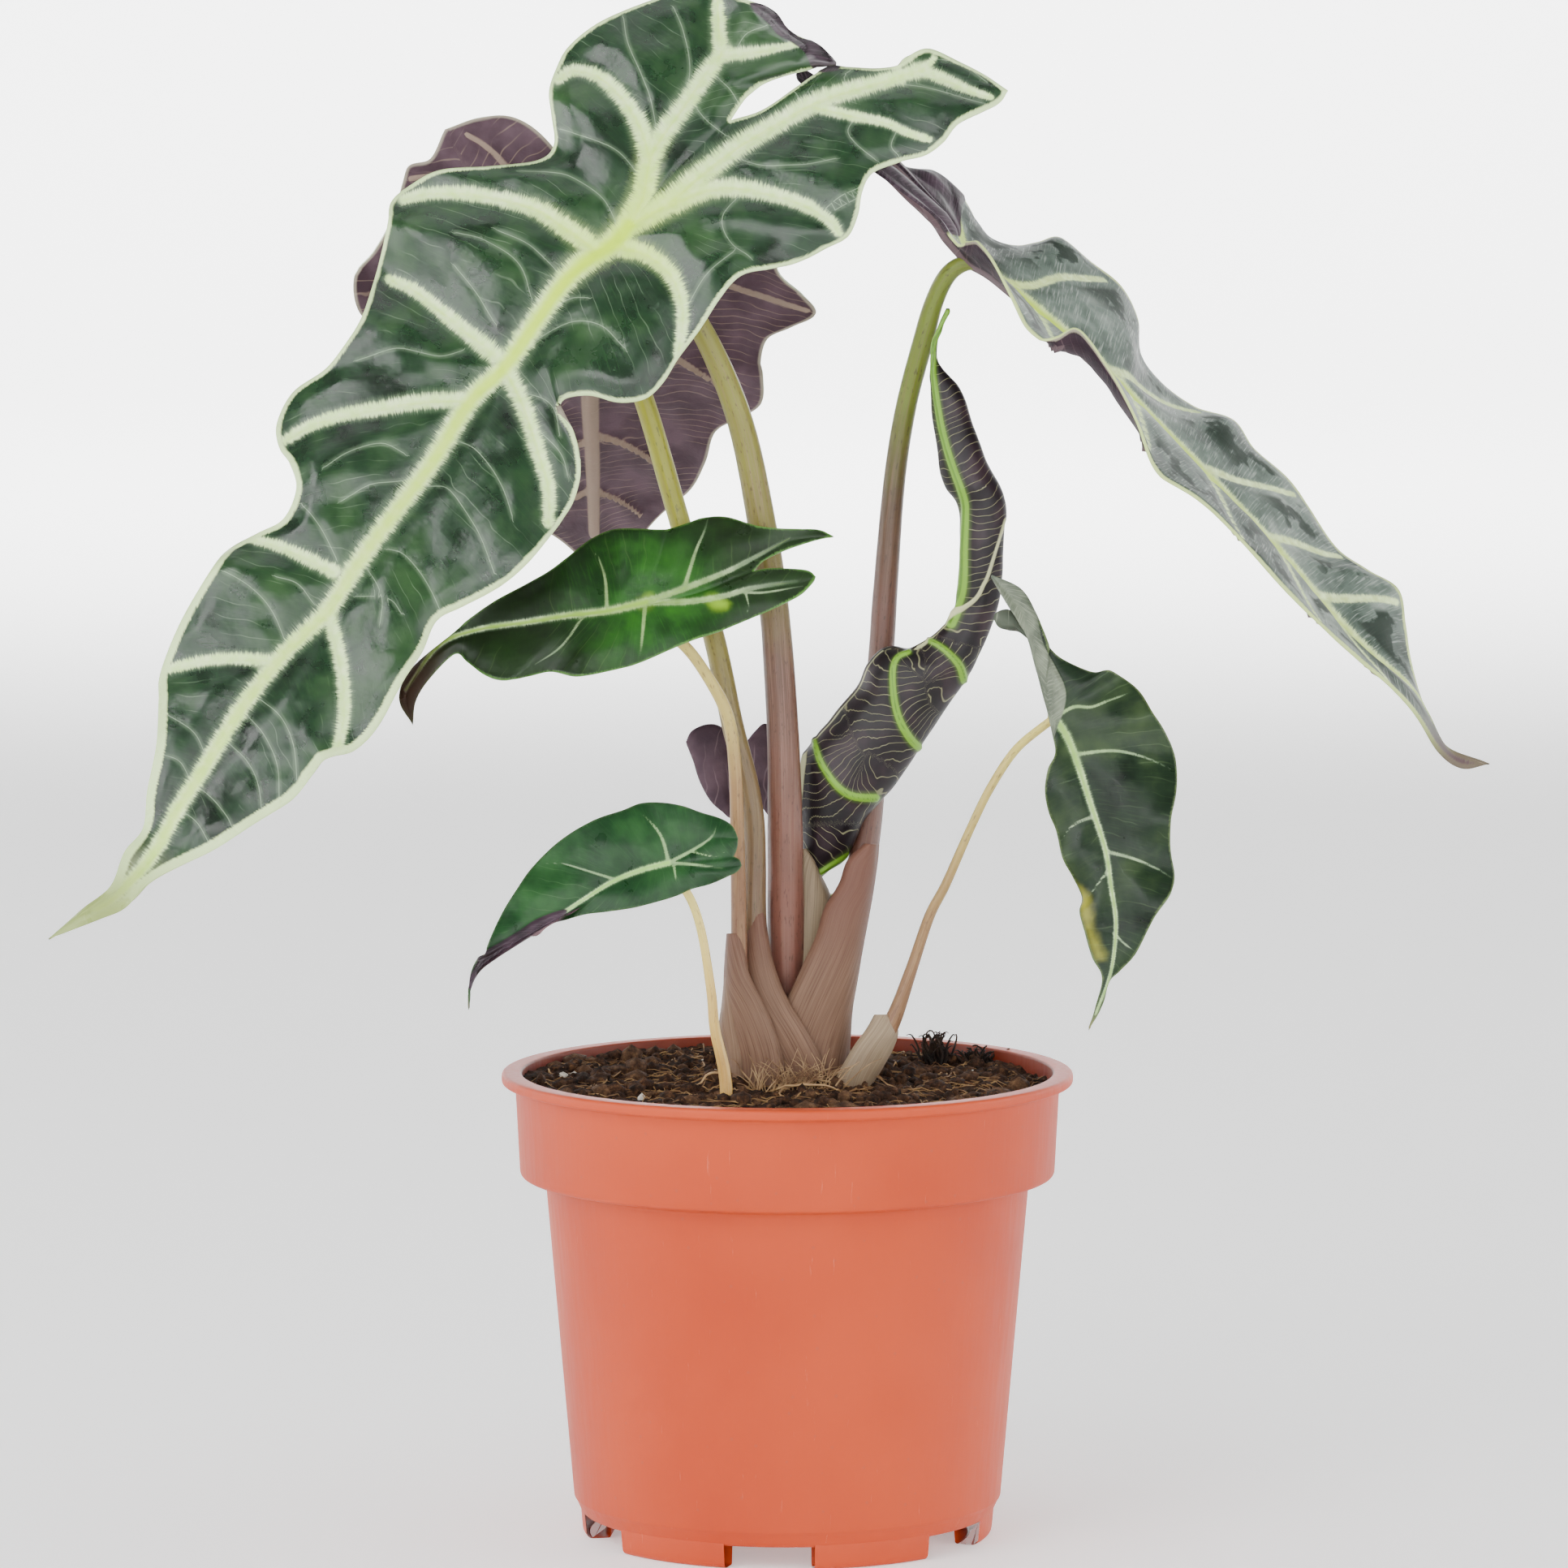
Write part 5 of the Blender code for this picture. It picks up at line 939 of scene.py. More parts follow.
def depth_inside(places, outlines):
    """How far inside the nearest outline each drawn place is, mm; negative outside."""
    deepest = np.full(len(places), -FAR_OFF)
    for outline in outlines:
        ring = smooth_line(photo_points(outline + outline[:1]), 5)
        gap = near_line(places, ring)[0]
        inside = np.zeros(len(places), bool)
        for a, b in zip(ring[:-1], ring[1:]):
            spans = (a[1] > places[:, 1]) != (b[1] > places[:, 1])
            crossing = a[0] + (places[:, 1] - a[1]) * (b[0] - a[0]) / (b[1] - a[1] + 1e-12)
            inside ^= spans & (places[:, 0] < crossing)
        deepest = np.maximum(deepest, np.where(inside, gap, -gap))
    return deepest


def rim_distance(skin):
    """Distance of each vertex from the blade's margin, mm."""
    form = bmesh.new()
    form.from_mesh(skin.data)
    edge = [vert.index for vert in form.verts if vert.is_boundary]
    form.free()
    points = places_of(skin)
    tree = kdtree.KDTree(len(edge))
    for index in edge:
        tree.insert(points[index], index)
    tree.balance()
    return np.array([tree.find(point)[2] for point in points])


def soft_step(values, low, high):
    share = np.clip((values - low) / (high - low), 0, 1)
    return share * share * (3 - 2 * share)


def add_blade(name, node, leaf, veins, hairs, finishes, step, quilting, waves, folds=(), yellow=()):
    """A blade with sunken veins, quilting between them, and an underside of its own finish.

    Quilting is the height in mm of the skin between the veins; waves the height of its broad rumples.
    """
    skin = blade_skin(name, leaf, step)
    points = places_of(skin)
    if veins is None:
        # midrib, basal ribs and side veins by their place on the blade
        lines = [(sheet(leaf, 0, "outer", np.linspace(0, 1, 60), [0.0])[::-1, 0], 6.0, 3.0)]
        for side in (0, 1):
            lines.append((sheet(leaf, side, "outer", np.linspace(1, 2, 20), [0.0])[:, 0], 4.0, 1.8))
        for side, root, end in RIGHT_VEINS:
            v = np.linspace(0, 0.9, 20)
            t = root + (end - root) * v ** 0.8
            line = np.array([sheet(leaf, side, "outer", np.array([a]), [b])[0, 0] for a, b in zip(t, v)])
            lines.append((line, 3.2, 2.0))
        fields = vein_fields(points, lines, [])
    else:
        drawn = [(smooth_line(photo_points(line), 6), root, end) for line, root, end in veins]
        thin = [smooth_line(photo_points(line), 6) for line in hairs]
        fields = vein_fields(drawn_places(points), drawn, thin)
    rim = rim_distance(skin)
    vein, hair, along = fields
    joint = in_space((*leaf["joint"], leaf["depth"]))
    from_joint = np.linalg.norm(points - joint, axis=1)
    set_field(skin, "vein", vein)
    set_field(skin, "hair", hair)
    set_field(skin, "rim", np.stack([rim, from_joint, along], axis=-1))
    rolled = depth_inside(drawn_places(points), folds)
    yellowed = depth_inside(drawn_places(points), yellow)
    set_field(skin, "fold", np.stack([rolled, yellowed, np.zeros(len(rim))], axis=-1))
    bulge = 0
    for low, high, part, size, seed in QUILTS:
        bumps = rumple(points, size, seed) if size else 1
        bulge += soft_step(vein[:, 1], low, high) * quilting * part * bumps
    bulge -= (1 - soft_step(vein[:, 0], 0.0, 0.7)) * quilting * VEIN_GROOVE
    bulge -= (1 - soft_step(hair[:, 1], 0.0, 1.6)) * quilting * HAIR_GROOVE
    broad = waves * rumple(points, 24.0, 2)
    calm = soft_step(rim, 0.0, 5.0)
    edge_wave = (1 - soft_step(rim, 0.0, 9.0)) * waves * 0.5 * rumple(points, 11.0, 3)
    height = bulge * calm + broad * (0.25 + 0.75 * calm) + edge_wave
    height += FOLD_HEIGHT * soft_step(rolled, -0.2, 1.0) * (1 - soft_step(rim, 5.0, 10.0))
    up = np.array(leaf["up"]) / np.linalg.norm(leaf["up"])
    move_to(skin, points + up * height[:, None])
    for finish in finishes:
        skin.data.materials.append(finish)
    ribs = skin.vertex_groups.new(name="ribs")
    weights = np.clip(1.25 - vein[:, 0], 0, 1) * np.clip(1.4 - 0.8 * hair[:, 2], 0.35, 1)
    weights *= soft_step(rim, 0.3, 4.0)
    for index, weight in enumerate(np.clip(weights, 0, 1)):
        ribs.add([index], float(weight), "REPLACE")
    finish_modifier(skin, "SOLIDIFY", thickness=RIB_DEPTH * MM, offset=-1.0, vertex_group="ribs",
                    thickness_vertex_group=LEAF_THICKNESS / RIB_DEPTH, material_offset=1,
                    material_offset_rim=0, use_rim=True)
    stands_for(skin, "leaf", node)
    return skin


# Leaf finishes. A waxy cuticle gives the upper side a broad soft gloss; pale tissue along the veins
# runs out into the green in fine strokes.
PALE_VEIN = "#DDF0B8"
VEIN_EDGE = "#9FB896"
UNDER_MARGIN = "#A9A28C"


def leaf_top(name, deep, mid, light, vein, core, margin, tip, feather=1.3, lines=0.2, minor=1.0,
             gloss=0.26, rough_range=(0.26, 0.44), patches=None, streaky=0.30, hem_widths=(1.0, 1.0),
             folded=None, shade=None, yellow=None, ends=1.0, thin_vein=None):
    """Upper side: quilted green, feathered pale veins, hair veins and a pale margin.

    Tip and shade are where the dry tip and the painted shade, a darker green, begin and end, in mm from
    the stalk, and their colour. Folded is the underside where it shows: dark, pale and streaks.
    """
    finish, tree, shader = new_finish(name, 0.32, Specular_IOR_Level=gloss)
    place = object_millimetres(tree)
    ratio, distance, run = mesh_field(tree, "vein")
    signed, plain, core_ratio = mesh_field(tree, "hair")
    rim, from_joint, along = mesh_field(tree, "rim")
    rolled, yellowed, _ = mesh_field(tree, "fold")
    grain = add(tree, "Attribute", attribute_name="grain")
    # blotches of the green, 20 and 6 mm across
    broad = add(tree, "TexNoise", {"Vector": place, "Scale": 0.05, "Detail": 3.0})
    small = add(tree, "TexNoise", {"Vector": place, "Scale": 0.17, "Detail": 4.0})
    tone = add(tree, "Math", small, 0.45, operation="MULTIPLY")
    tone = add(tree, "Math", broad, 0.55, tone, operation="MULTIPLY_ADD")
    green = add(tree, "ValToRGB", tone, stops=[(0.36, deep), (0.5, mid), (0.68, light)])
    # fine strokes that follow the rows between rib and margin, 0.4 mm apart
    strokes = add(tree, "Mapping", grain, {"Scale": (2.6, 0.16, 1.0)})
    strokes = add(tree, "TexNoise", {"Vector": strokes, "Scale": 1.0, "Detail": 2.0})
    share = add(tree, "MapRange", strokes, 0.5, 0.75, 0.0, streaky)
    green = add(tree, "Mix", {0: share, 6: green, 7: light})
    if shade:
        # painted shade: the blade turns a darker green away from its stalk, over the half towards its tip
        low, high, shade_green = shade
        share = add(tree, "Math", broad, 16.0, from_joint, operation="MULTIPLY_ADD")
        share = add(tree, "MapRange", share, low, high, 0.0, 0.85)
        green = add(tree, "Mix", {0: share, 6: green, 7: shade_green})
    if yellow:
        share = add(tree, "Math", small, 5.0, yellowed, operation="MULTIPLY_ADD")
        share = add(tree, "MapRange", share, 1.6, 5.0, 0.0, 0.75)
        green = add(tree, "Mix", {0: share, 6: green, 7: yellow})
    if patches:
        # dark patches stay between the side veins, away from the midrib
        share = add(tree, "MapRange", small, 0.47, 0.56, 0.0, 0.95)
        for value, low, high in ((distance, 1.8, 4.0), (rim, 2.0, 4.0), (rim, 22.0, 12.0)):
            value = add(tree, "MapRange", value, low, high)
            share = add(tree, "Math", share, value, operation="MULTIPLY")
        green = add(tree, "Mix", {0: share, 6: green, 7: patches})
    # hair veins along the rows, about 3.4 mm apart, each present over part of its row
    thin = contours(tree, place, add(tree, "SeparateXYZ", grain), 0.29, 0.09, 1.6)
    thin = add(tree, "MapRange", thin, 0.045, 0.015)
    some = add(tree, "TexNoise", {"Vector": place, "Scale": 0.085, "Detail": 2.0})
    some = add(tree, "MapRange", some, 0.48, 0.62, 0.0, lines)
    thin = add(tree, "Math", thin, some, operation="MULTIPLY")
    # drawn thin veins, 0.2 mm wide with a faint halo
    hair_line = add(tree, "Math", signed, operation="ABSOLUTE")
    hair_line = add(tree, "MapRange", hair_line, 0.13, 0.04, 0.0, 0.38)
    near = add(tree, "MapRange", plain, 1.1, 0.8)
    hair_line = add(tree, "Math", hair_line, near, operation="MULTIPLY")
    halo = add(tree, "MapRange", plain, 0.9, 0.2, 0.0, 0.10)
    hair_line = add(tree, "Math", hair_line, halo, operation="MAXIMUM")
    # broad veins with edges of fine strokes, 0.3 mm wide, square to the vein
    edge_place = add(tree, "CombineXYZ", add(tree, "Math", run, 3.6, operation="MULTIPLY"),
                     add(tree, "Math", distance, 0.30, operation="MULTIPLY"))
    fringe = add(tree, "TexNoise", {"Vector": edge_place, "Scale": 1.0, "Detail": 4.0, "Roughness": 0.65})
    ragged = add(tree, "Math", fringe, 0.5, operation="SUBTRACT")
    ragged = add(tree, "Math", ragged, feather, ratio, operation="MULTIPLY_ADD")
    band = add(tree, "MapRange", ragged, 1.10, 0.48)
    glow = add(tree, "MapRange", ragged, 1.5, 0.95, 0.0, 0.10)
    band = add(tree, "Math", band, glow, operation="MAXIMUM")
    # on the small blades side veins are fainter than the midrib and fade towards their ends
    aside = add(tree, "Math", core_ratio, ratio, operation="SUBTRACT")
    aside = add(tree, "MapRange", aside, 0.1, 0.4, 1.0, minor, interpolation_type="LINEAR")
    ending = add(tree, "MapRange", along, 0.55, 1.0, 1.0, ends)
    for share in (aside, ending):
        band = add(tree, "Math", band, share, operation="MULTIPLY")
    pale = add(tree, "TexNoise", {"Vector": place, "Scale": 0.5, "Detail": 3.0})
    pale = add(tree, "ValToRGB", pale, stops=[(0.35, vein), (0.8, PALE_VEIN)])
    pale = add(tree, "Mix", {0: band, 6: VEIN_EDGE, 7: pale})
    # yellow-green heart of the ribs, strongest at the stalk
    heart = add(tree, "MapRange", core_ratio, 0.80, 0.12)
    warm = add(tree, "MapRange", from_joint, 8.0, 120.0, 1.0, 0.42)
    heart = add(tree, "Math", heart, warm, operation="MULTIPLY")
    bloom = add(tree, "MapRange", from_joint, 26.0, 4.0, 0.0, 0.55)
    bloom = add(tree, "Math", bloom, band, operation="MULTIPLY")
    # pale margin, wider towards the tip
    wide = add(tree, "MapRange", from_joint, 60.0, 140.0, *hem_widths, interpolation_type="LINEAR")
    hem = add(tree, "Math", fringe, 1.2, rim, operation="MULTIPLY_ADD")
    hem = add(tree, "Math", hem, wide, operation="SUBTRACT")
    hem = add(tree, "MapRange", hem, 0.85, 0.25)
    # the drawn-out tip, which dries first
    low, high, dry_colour = tip
    dry = add(tree, "MapRange", from_joint, low, high, 0.0, 0.9)
    colour = green
    thin_vein = thin_vein or vein
    for share, tint in ((thin, thin_vein), (hair_line, thin_vein), (band, pale), (heart, core),
                        (bloom, core), (hem, margin), (dry, dry_colour)):
        colour = add(tree, "Mix", {0: share, 6: colour, 7: tint})
    if folded:
        # a rolled margin shows the underside with its lengthwise streaks, about 17 mm wide at most
        dark, lighter, streaks = folded
        under = add(tree, "ValToRGB", small, stops=[(0.4, dark), (0.62, lighter)])
        share = add(tree, "MapRange", strokes, 0.45, 0.7, 0.0, 0.34)
        under = add(tree, "Mix", {0: share, 6: under, 7: streaks})
        reach = add(tree, "Math", small, 9.0, rim, operation="MULTIPLY_ADD")
        reach = add(tree, "MapRange", reach, 23.0, 19.5)
        share = add(tree, "Math", add(tree, "MapRange", rolled, -0.10, 0.25), reach, operation="MULTIPLY")
        colour = add(tree, "Mix", {0: share, 6: colour, 7: under})
    rough = add(tree, "MapRange", small, 0.3, 0.7, *rough_range, interpolation_type="LINEAR")
    rough = add(tree, "Math", band, 0.12, rough, operation="MULTIPLY_ADD")
    # crepe of the skin, drawn 1.7 mm across, because the real one is too fine to show
    relief = add(tree, "TexNoise", {"Vector": place, "Scale": 0.6, "Detail": 1.0})
    for value, weight in ((strokes, 0.15), (hair_line, -0.5)):
        relief = add(tree, "Math", value, weight, relief, operation="MULTIPLY_ADD")
    plug(tree, shader, colour, rough, relief, strength=0.35, distance=0.25)
    return finish


def leaf_back(name, ground, dark, vein):
    """Underside: matt purple-brown with raised tan veins and a fine net."""
    finish, tree, shader = new_finish(name, 0.62, Specular_IOR_Level=0.15)
    place = object_millimetres(tree)
    cloudy = add(tree, "TexNoise", {"Vector": place, "Scale": 0.12, "Detail": 4.0})
    colour = add(tree, "ValToRGB", cloudy, stops=[(0.35, dark), (0.65, ground)])
    # a net of fine veins that run in contours round the stalk, 2.4 mm apart
    net = contours(tree, place, mesh_field(tree, "grain")[0], 0.42, 0.08, 3.4)
    net = add(tree, "MapRange", net, 0.08, 0.02, 0.0, 0.38)
    presence = add(tree, "TexNoise", {"Vector": place, "Scale": 0.10, "Detail": 1.0})
    presence = add(tree, "MapRange", presence, 0.36, 0.56)
    net = add(tree, "Math", net, presence, operation="MULTIPLY")
    band = add(tree, "MapRange", mesh_field(tree, "vein")[0], 1.1, 0.7, 0.0, 0.75)
    hem = add(tree, "MapRange", mesh_field(tree, "rim")[0], 0.9, 0.3, 0.0, 0.6)
    for share, tint in ((net, vein), (band, vein), (hem, UNDER_MARGIN)):
        colour = add(tree, "Mix", {0: share, 6: colour, 7: tint})
    fine = add(tree, "TexNoise", {"Vector": place, "Scale": 1.6, "Detail": 3.0})
    relief = add(tree, "Math", net, 1.2, fine, operation="MULTIPLY_ADD")
    plug(tree, shader, colour, None, relief, strength=0.35, distance=0.25)
    return finish


def stalk_skin(name, low, middle, high, spots, streaks):
    """Petiole: smooth fleshy skin, brown at the foot and green at the blade, streaked and spotted."""
    finish, tree, shader = new_finish(name, 0.42, Specular_IOR_Level=0.45)
    grain = add(tree, "Attribute", attribute_name="grain")
    ripe = add(tree, "TexNoise", {"Vector": object_millimetres(tree), "Scale": 0.09, "Detail": 3.0})
    ripe = add(tree, "Math", ripe, 0.25, mesh_field(tree, "ripe")[0], operation="MULTIPLY_ADD")
    colour = add(tree, "ValToRGB", ripe, stops=[(0.12, low), (0.55, middle), (1.0, high)])
    # lengthwise fibres, 0.3 mm apart
    fibres = add(tree, "Mapping", grain, {"Scale": (3.2, 0.05, 0.0)})
    fibres = add(tree, "TexNoise", {"Vector": fibres, "Scale": 1.0, "Detail": 3.0})
    # dark flecks along the stalk, up to 0.7 by 3 mm
    flecks = add(tree, "Mapping", grain, {"Scale": (1.5, 0.35, 0.0)})
    flecks = add(tree, "TexNoise", {"Vector": flecks, "Scale": 1.0, "Detail": 2.0, "Roughness": 0.7})
    for value, start, full, most, tint in ((fibres, 0.45, 0.7, 0.34, streaks),
                                           (flecks, 0.58, 0.68, 0.6, spots)):
        share = add(tree, "MapRange", value, start, full, 0.0, most)
        colour = add(tree, "Mix", {0: share, 6: colour, 7: tint})
    plug(tree, shader, colour, None, fibres, strength=0.3, distance=0.15)
    return finish


def papery(name, light, dark, stain, top=None):
    """Dry leaf sheath: thin, matt and lengthwise fibrous, stained towards the soil, fleshy at the top."""
    finish, tree, shader = new_finish(name, 0.6, Specular_IOR_Level=0.3)
    grain = add(tree, "Attribute", attribute_name="grain")
    height = add(tree, "SeparateXYZ", grain, get=2)
    fibres = add(tree, "Mapping", grain, {"Scale": (4.2, 0.05, 0.0)})
    fibres = add(tree, "TexNoise", {"Vector": fibres, "Scale": 1.0, "Detail": 4.0, "Roughness": 0.6})
    colour = add(tree, "ValToRGB", fibres, stops=[(0.30, dark), (0.70, light)])
    wet = add(tree, "TexNoise", {"Vector": grain, "Scale": 0.12, "Detail": 3.0})
    wet = add(tree, "Math", wet, 16.0, operation="MULTIPLY")
    wet = add(tree, "Math", height, wet, operation="SUBTRACT")
    wet = add(tree, "MapRange", wet, 98.0, 84.0, 0.0, 0.75, interpolation_type="LINEAR")
    colour = add(tree, "Mix", {0: wet, 6: colour, 7: stain})
    if top:
        fleshy = add(tree, "MapRange", height, 112.0, 140.0, 0.0, 0.8)
        colour = add(tree, "Mix", {0: fleshy, 6: colour, 7: top})
    plug(tree, shader, colour, None, fibres, strength=0.35, distance=0.15)
    return finish


def moulded_polypropylene():
    """Injection-moulded terracotta polypropylene: satin, evenly coloured, with dust specks and scuffs, and
    painted shade inside the wall above the soil.
    """
    finish, tree, shader = new_finish("moulded_polypropylene", 0.5, Specular_IOR_Level=0.28)
    place = object_millimetres(tree)
    cloudy = add(tree, "TexNoise", {"Vector": place, "Scale": 0.02, "Detail": 2.0})
    colour = add(tree, "ValToRGB", cloudy, stops=[(0.35, "#A93711"), (0.65, "#B34019")])
    specks = add(tree, "TexVoronoi", {"Vector": place, "Scale": 0.22, "Randomness": 1.0})
    specks = add(tree, "MapRange", specks, 0.10, 0.055, 0.0, 0.35)
    scuffs = add(tree, "Mapping", place, {"Rotation": (0.3, 0.5, 0.2), "Scale": (0.7, 0.7, 0.05)})
    scuffs = add(tree, "TexNoise", {"Vector": scuffs, "Scale": 1.0, "Detail": 5.0, "Roughness": 0.7})
    worn = add(tree, "MapRange", scuffs, 0.64, 0.74, 0.0, 0.22)
    # painted shade: the inside of the wall above the soil is darkened to a dark brown-red
    radius = add(tree, "VectorMath", place, tuple(AXIS), operation="SUBTRACT")
    radius = add(tree, "VectorMath", radius, (1.0, 1.0, 0.0), operation="MULTIPLY")
    radius = add(tree, "VectorMath", radius, get=1, operation="LENGTH")
    inside = add(tree, "MapRange", radius, *INNER_SHADE_RADII, 0.0, 0.8)
    above = add(tree, "MapRange", add(tree, "SeparateXYZ", place, get=2), *INNER_SHADE_HEIGHTS)
    inner_shade = add(tree, "Math", inside, above, operation="MULTIPLY")
    # the last of these mixes is the painted shade inside the wall
    for share, tint in ((specks, "#8F4A38"), (worn, "#E59A80"), (inner_shade, "#4A1A0C")):
        colour = add(tree, "Mix", {0: share, 6: colour, 7: tint})
    rough = add(tree, "MapRange", scuffs, 0.3, 0.75, 0.44, 0.58, interpolation_type="LINEAR")
    matt = add(tree, "TexNoise", {"Vector": place, "Scale": 2.5, "Detail": 3.0})
    plug(tree, shader, colour, rough, matt, strength=0.10, distance=0.10)
    return finish


def peat(name, dark, mid, light):
    """Potting peat: matt crumbs and short fibres."""
    finish, tree, shader = new_finish(name, 0.92, Specular_IOR_Level=0.2)
    place = object_millimetres(tree)
    crumbs = add(tree, "TexNoise", {"Vector": place, "Scale": 0.55, "Detail": 6.0, "Roughness": 0.7})
    colour = add(tree, "ValToRGB", crumbs, stops=[(0.36, dark), (0.52, mid), (0.68, light)])
    grit = add(tree, "TexNoise", {"Vector": place, "Scale": 2.2, "Detail": 4.0})
    plug(tree, shader, colour, None, grit, strength=0.9, distance=0.5)
    return finish


def fibre_finish(name, dark, light):
    """Dry plant fibre."""
    finish, tree, shader = new_finish(name, 0.75, Specular_IOR_Level=0.25)
    cloudy = add(tree, "TexNoise", {"Vector": object_millimetres(tree), "Scale": 0.2, "Detail": 3.0})
    plug(tree, shader, add(tree, "ValToRGB", cloudy, stops=[(0.35, dark), (0.65, light)]))
    return finish


def young_finish():
    """Young blade: glossy near-black purple, a bright green rib, and a net of fine pale veins."""
    finish, tree, shader = new_finish("young_blade_skin", 0.42, Specular_IOR_Level=0.3)
    place = object_millimetres(tree)
    ratio, distance, run = mesh_field(tree, "vein")
    cloudy = add(tree, "TexNoise", {"Vector": place, "Scale": 0.13, "Detail": 3.0})
    colour = add(tree, "ValToRGB", cloudy, stops=[(0.35, "#0C070A"), (0.5, "#170F14"), (0.72, "#2F2127")])
    # a net of fine veins in wandering contours, 1.6 mm apart
    sway = add(tree, "MapRange", distance, 0.0, 14.0, 0.0, 2.4, interpolation_type="LINEAR")
    net = contours(tree, place, run, 0.62, 0.10, 3.6, sway)
    net = add(tree, "MapRange", net, 0.06, 0.015, 0.0, 0.4)
    # bright green ribs with a soft halo and a groove, the pale margin of the outer layer, the green tip
    halo = add(tree, "MapRange", ratio, 1.9, 0.8, 0.0, 0.35)
    band = add(tree, "MapRange", ratio, 1.05, 0.72)
    groove = add(tree, "MapRange", ratio, 0.3, 0.12, 0.0, 0.6)
    hem = add(tree, "MapRange", mesh_field(tree, "hair")[1], 0.55, 0.25)
    tip = add(tree, "MapRange", mesh_field(tree, "grain")[0], 247.0, 252.0)
    for share, tint in ((net, "#A9A87C"), (halo, "#5C7A2A"), (band, "#6C982C"), (groove, "#365A18"),
                        (hem, "#B7B98C"), (tip, "#6E8A3E")):
        colour = add(tree, "Mix", {0: share, 6: colour, 7: tint})
    relief = add(tree, "Math", cloudy, 0.5, net, operation="MULTIPLY_ADD")
    plug(tree, shader, colour, None, relief, strength=0.45, distance=0.2)
    return finish


# Stalks

UPRIGHT = 2.0  # the first stretch of each stalk, straight up out of the corm or the soil, mm
STALK_RINGS = 180


def stalk_line(plan):
    """Points in space (mm) with a radius each, from the foot to the blade."""
    x, y, z, radius = plan["foot"]
    points = [(x, y, z, radius)]
    for drawn in plan["route"]:
        points.append((*in_space(drawn[:3]), drawn[3]))
    leaf = plan["blade"]
    if leaf is not None:
        up = np.array(leaf["up"]) / np.linalg.norm(leaf["up"])
        joint = in_space((*leaf["joint"], leaf["depth"]))
        points.append((*(joint - up * plan["approach"]), points[-1][3]))
        points.append((*(joint - up * plan["end"]), points[-1][3] * 0.9))
    route = at_fraction(smooth_line(points, 14), np.linspace(0, 1, STALK_RINGS))
    foot = np.array([[x, y, z, radius], [x, y, z + UPRIGHT, radius]])
    return np.vstack([foot, route[1:]])


def add_stalk(node, slot, finish, sides, ripe_low, ripe_high):
    """A petiole. Its field "ripe" goes from 0 low down to 1 at the green height."""
    line = stalk_line(PETIOLES[node])
    line[:, 3] *= 1 + 0.025 * rumple(line[:, :3], 16.0, 5) + 0.012 * rumple(line[:, :3], 5.0, 6)
    stalk = loft(node.replace("petiole", "stalk"), tube_rings(line, sides, ridges=0.012))
    height = places_of(stalk)[:, 2]
    ripe = np.clip((height - ripe_low) / (ripe_high - ripe_low), 0, 1)
    set_field(stalk, "ripe", np.repeat(ripe[:, None], 3, axis=1))
    stands_for(stalk, slot, node, finish=finish)


# Sheaths, drawn as rows of pixels: height, left and right edge, and the depth (mm) of the free
# margin, of the bulge in front, of the far side and of the hidden end.
SHEATH_POINTS = 26
FRONT_SHEATH_ROWS = [
    (1095, 921, 934, -4.2, -5.6, -1.5, 1.5), (1120, 917, 941, -5.0, -6.8, -1.5, 1.5),
    (1150, 913, 945, -5.8, -7.8, -1.5, 1.5), (1185, 909, 952, -6.6, -8.6, -1.5, 1.5),
    (1215, 907, 962, -7.4, -9.2, -1.5, 2.0), (1245, 905, 978, -8.0, -9.6, -1.5, 2.0),
    (1270, 905, 994, -8.2, -9.6, -1.5, 2.0), (1300, 906, 1010, -7.5, -9.0, -1.5, 2.0),
    (1325, 908, 1020, -6.6, -8.4, -1.5, 2.0),
    (1352, 912, 1022, -6.4, -8.0, -1.5, 2.0)]
RIGHT_SHEATH_ROWS = [
    (1040, 1066, 1082, -2.2, -3.6, 2.0, 4.0), (1062, 1044, 1080, -3.0, -4.6, 1.5, 4.0),
    (1090, 1034, 1076, -4.0, -5.4, 1.0, 4.0), (1120, 1016, 1071, -4.8, -6.2, 0.5, 4.0),
    (1150, 1007, 1065, -5.4, -6.8, 0.0, 4.0), (1180, 994, 1060, -5.8, -7.0, -0.5, 4.0),
    (1210, 980, 1055, -6.0, -7.2, -1.0, 4.0), (1240, 966, 1050, -6.0, -7.2, -1.0, 4.0),
    (1275, 952, 1047, -5.6, -7.0, -1.0, 4.0), (1310, 944, 1044, -5.2, -6.8, -1.0, 4.0),
    (1348, 946, 1040, -5.0, -6.6, -1.0, 4.0)]
INNER_SHEATH_ROWS = [
    (1046, 990, 993, 3.4, 3.0, 5.0, 6.0), (1060, 984, 1004, 3.0, 2.2, 5.0, 6.5),
    (1080, 980, 1012, 2.6, 1.6, 5.0, 6.5), (1110, 978, 1024, 2.0, 1.0, 5.0, 6.5),
    (1150, 976, 1024, 1.5, 0.5, 5.0, 6.5), (1200, 975, 1020, 1.0, 0.2, 5.0, 6.5),
    (1260, 974, 1012, 1.0, 0.0, 5.0, 6.5)]
MIDDLE_SHEATH_ROWS = [
    (1150, 896, 912, -9.6, -10.6, -6.5, -5.0), (1180, 894, 918, -10.2, -11.4, -6.5, -5.0),
    (1205, 893, 924, -10.4, -12.0, -6.5, -5.0), (1235, 893, 940, -10.6, -12.6, -6.5, -5.0),
    (1265, 896, 953, -10.6, -12.8, -6.5, -5.0), (1295, 899, 962, -10.2, -12.6, -6.5, -5.0),
    (1322, 903, 966, -9.9, -12.2, -6.5, -5.0), (1356, 908, 964, -9.6, -12.0, -6.5, -5.0)]
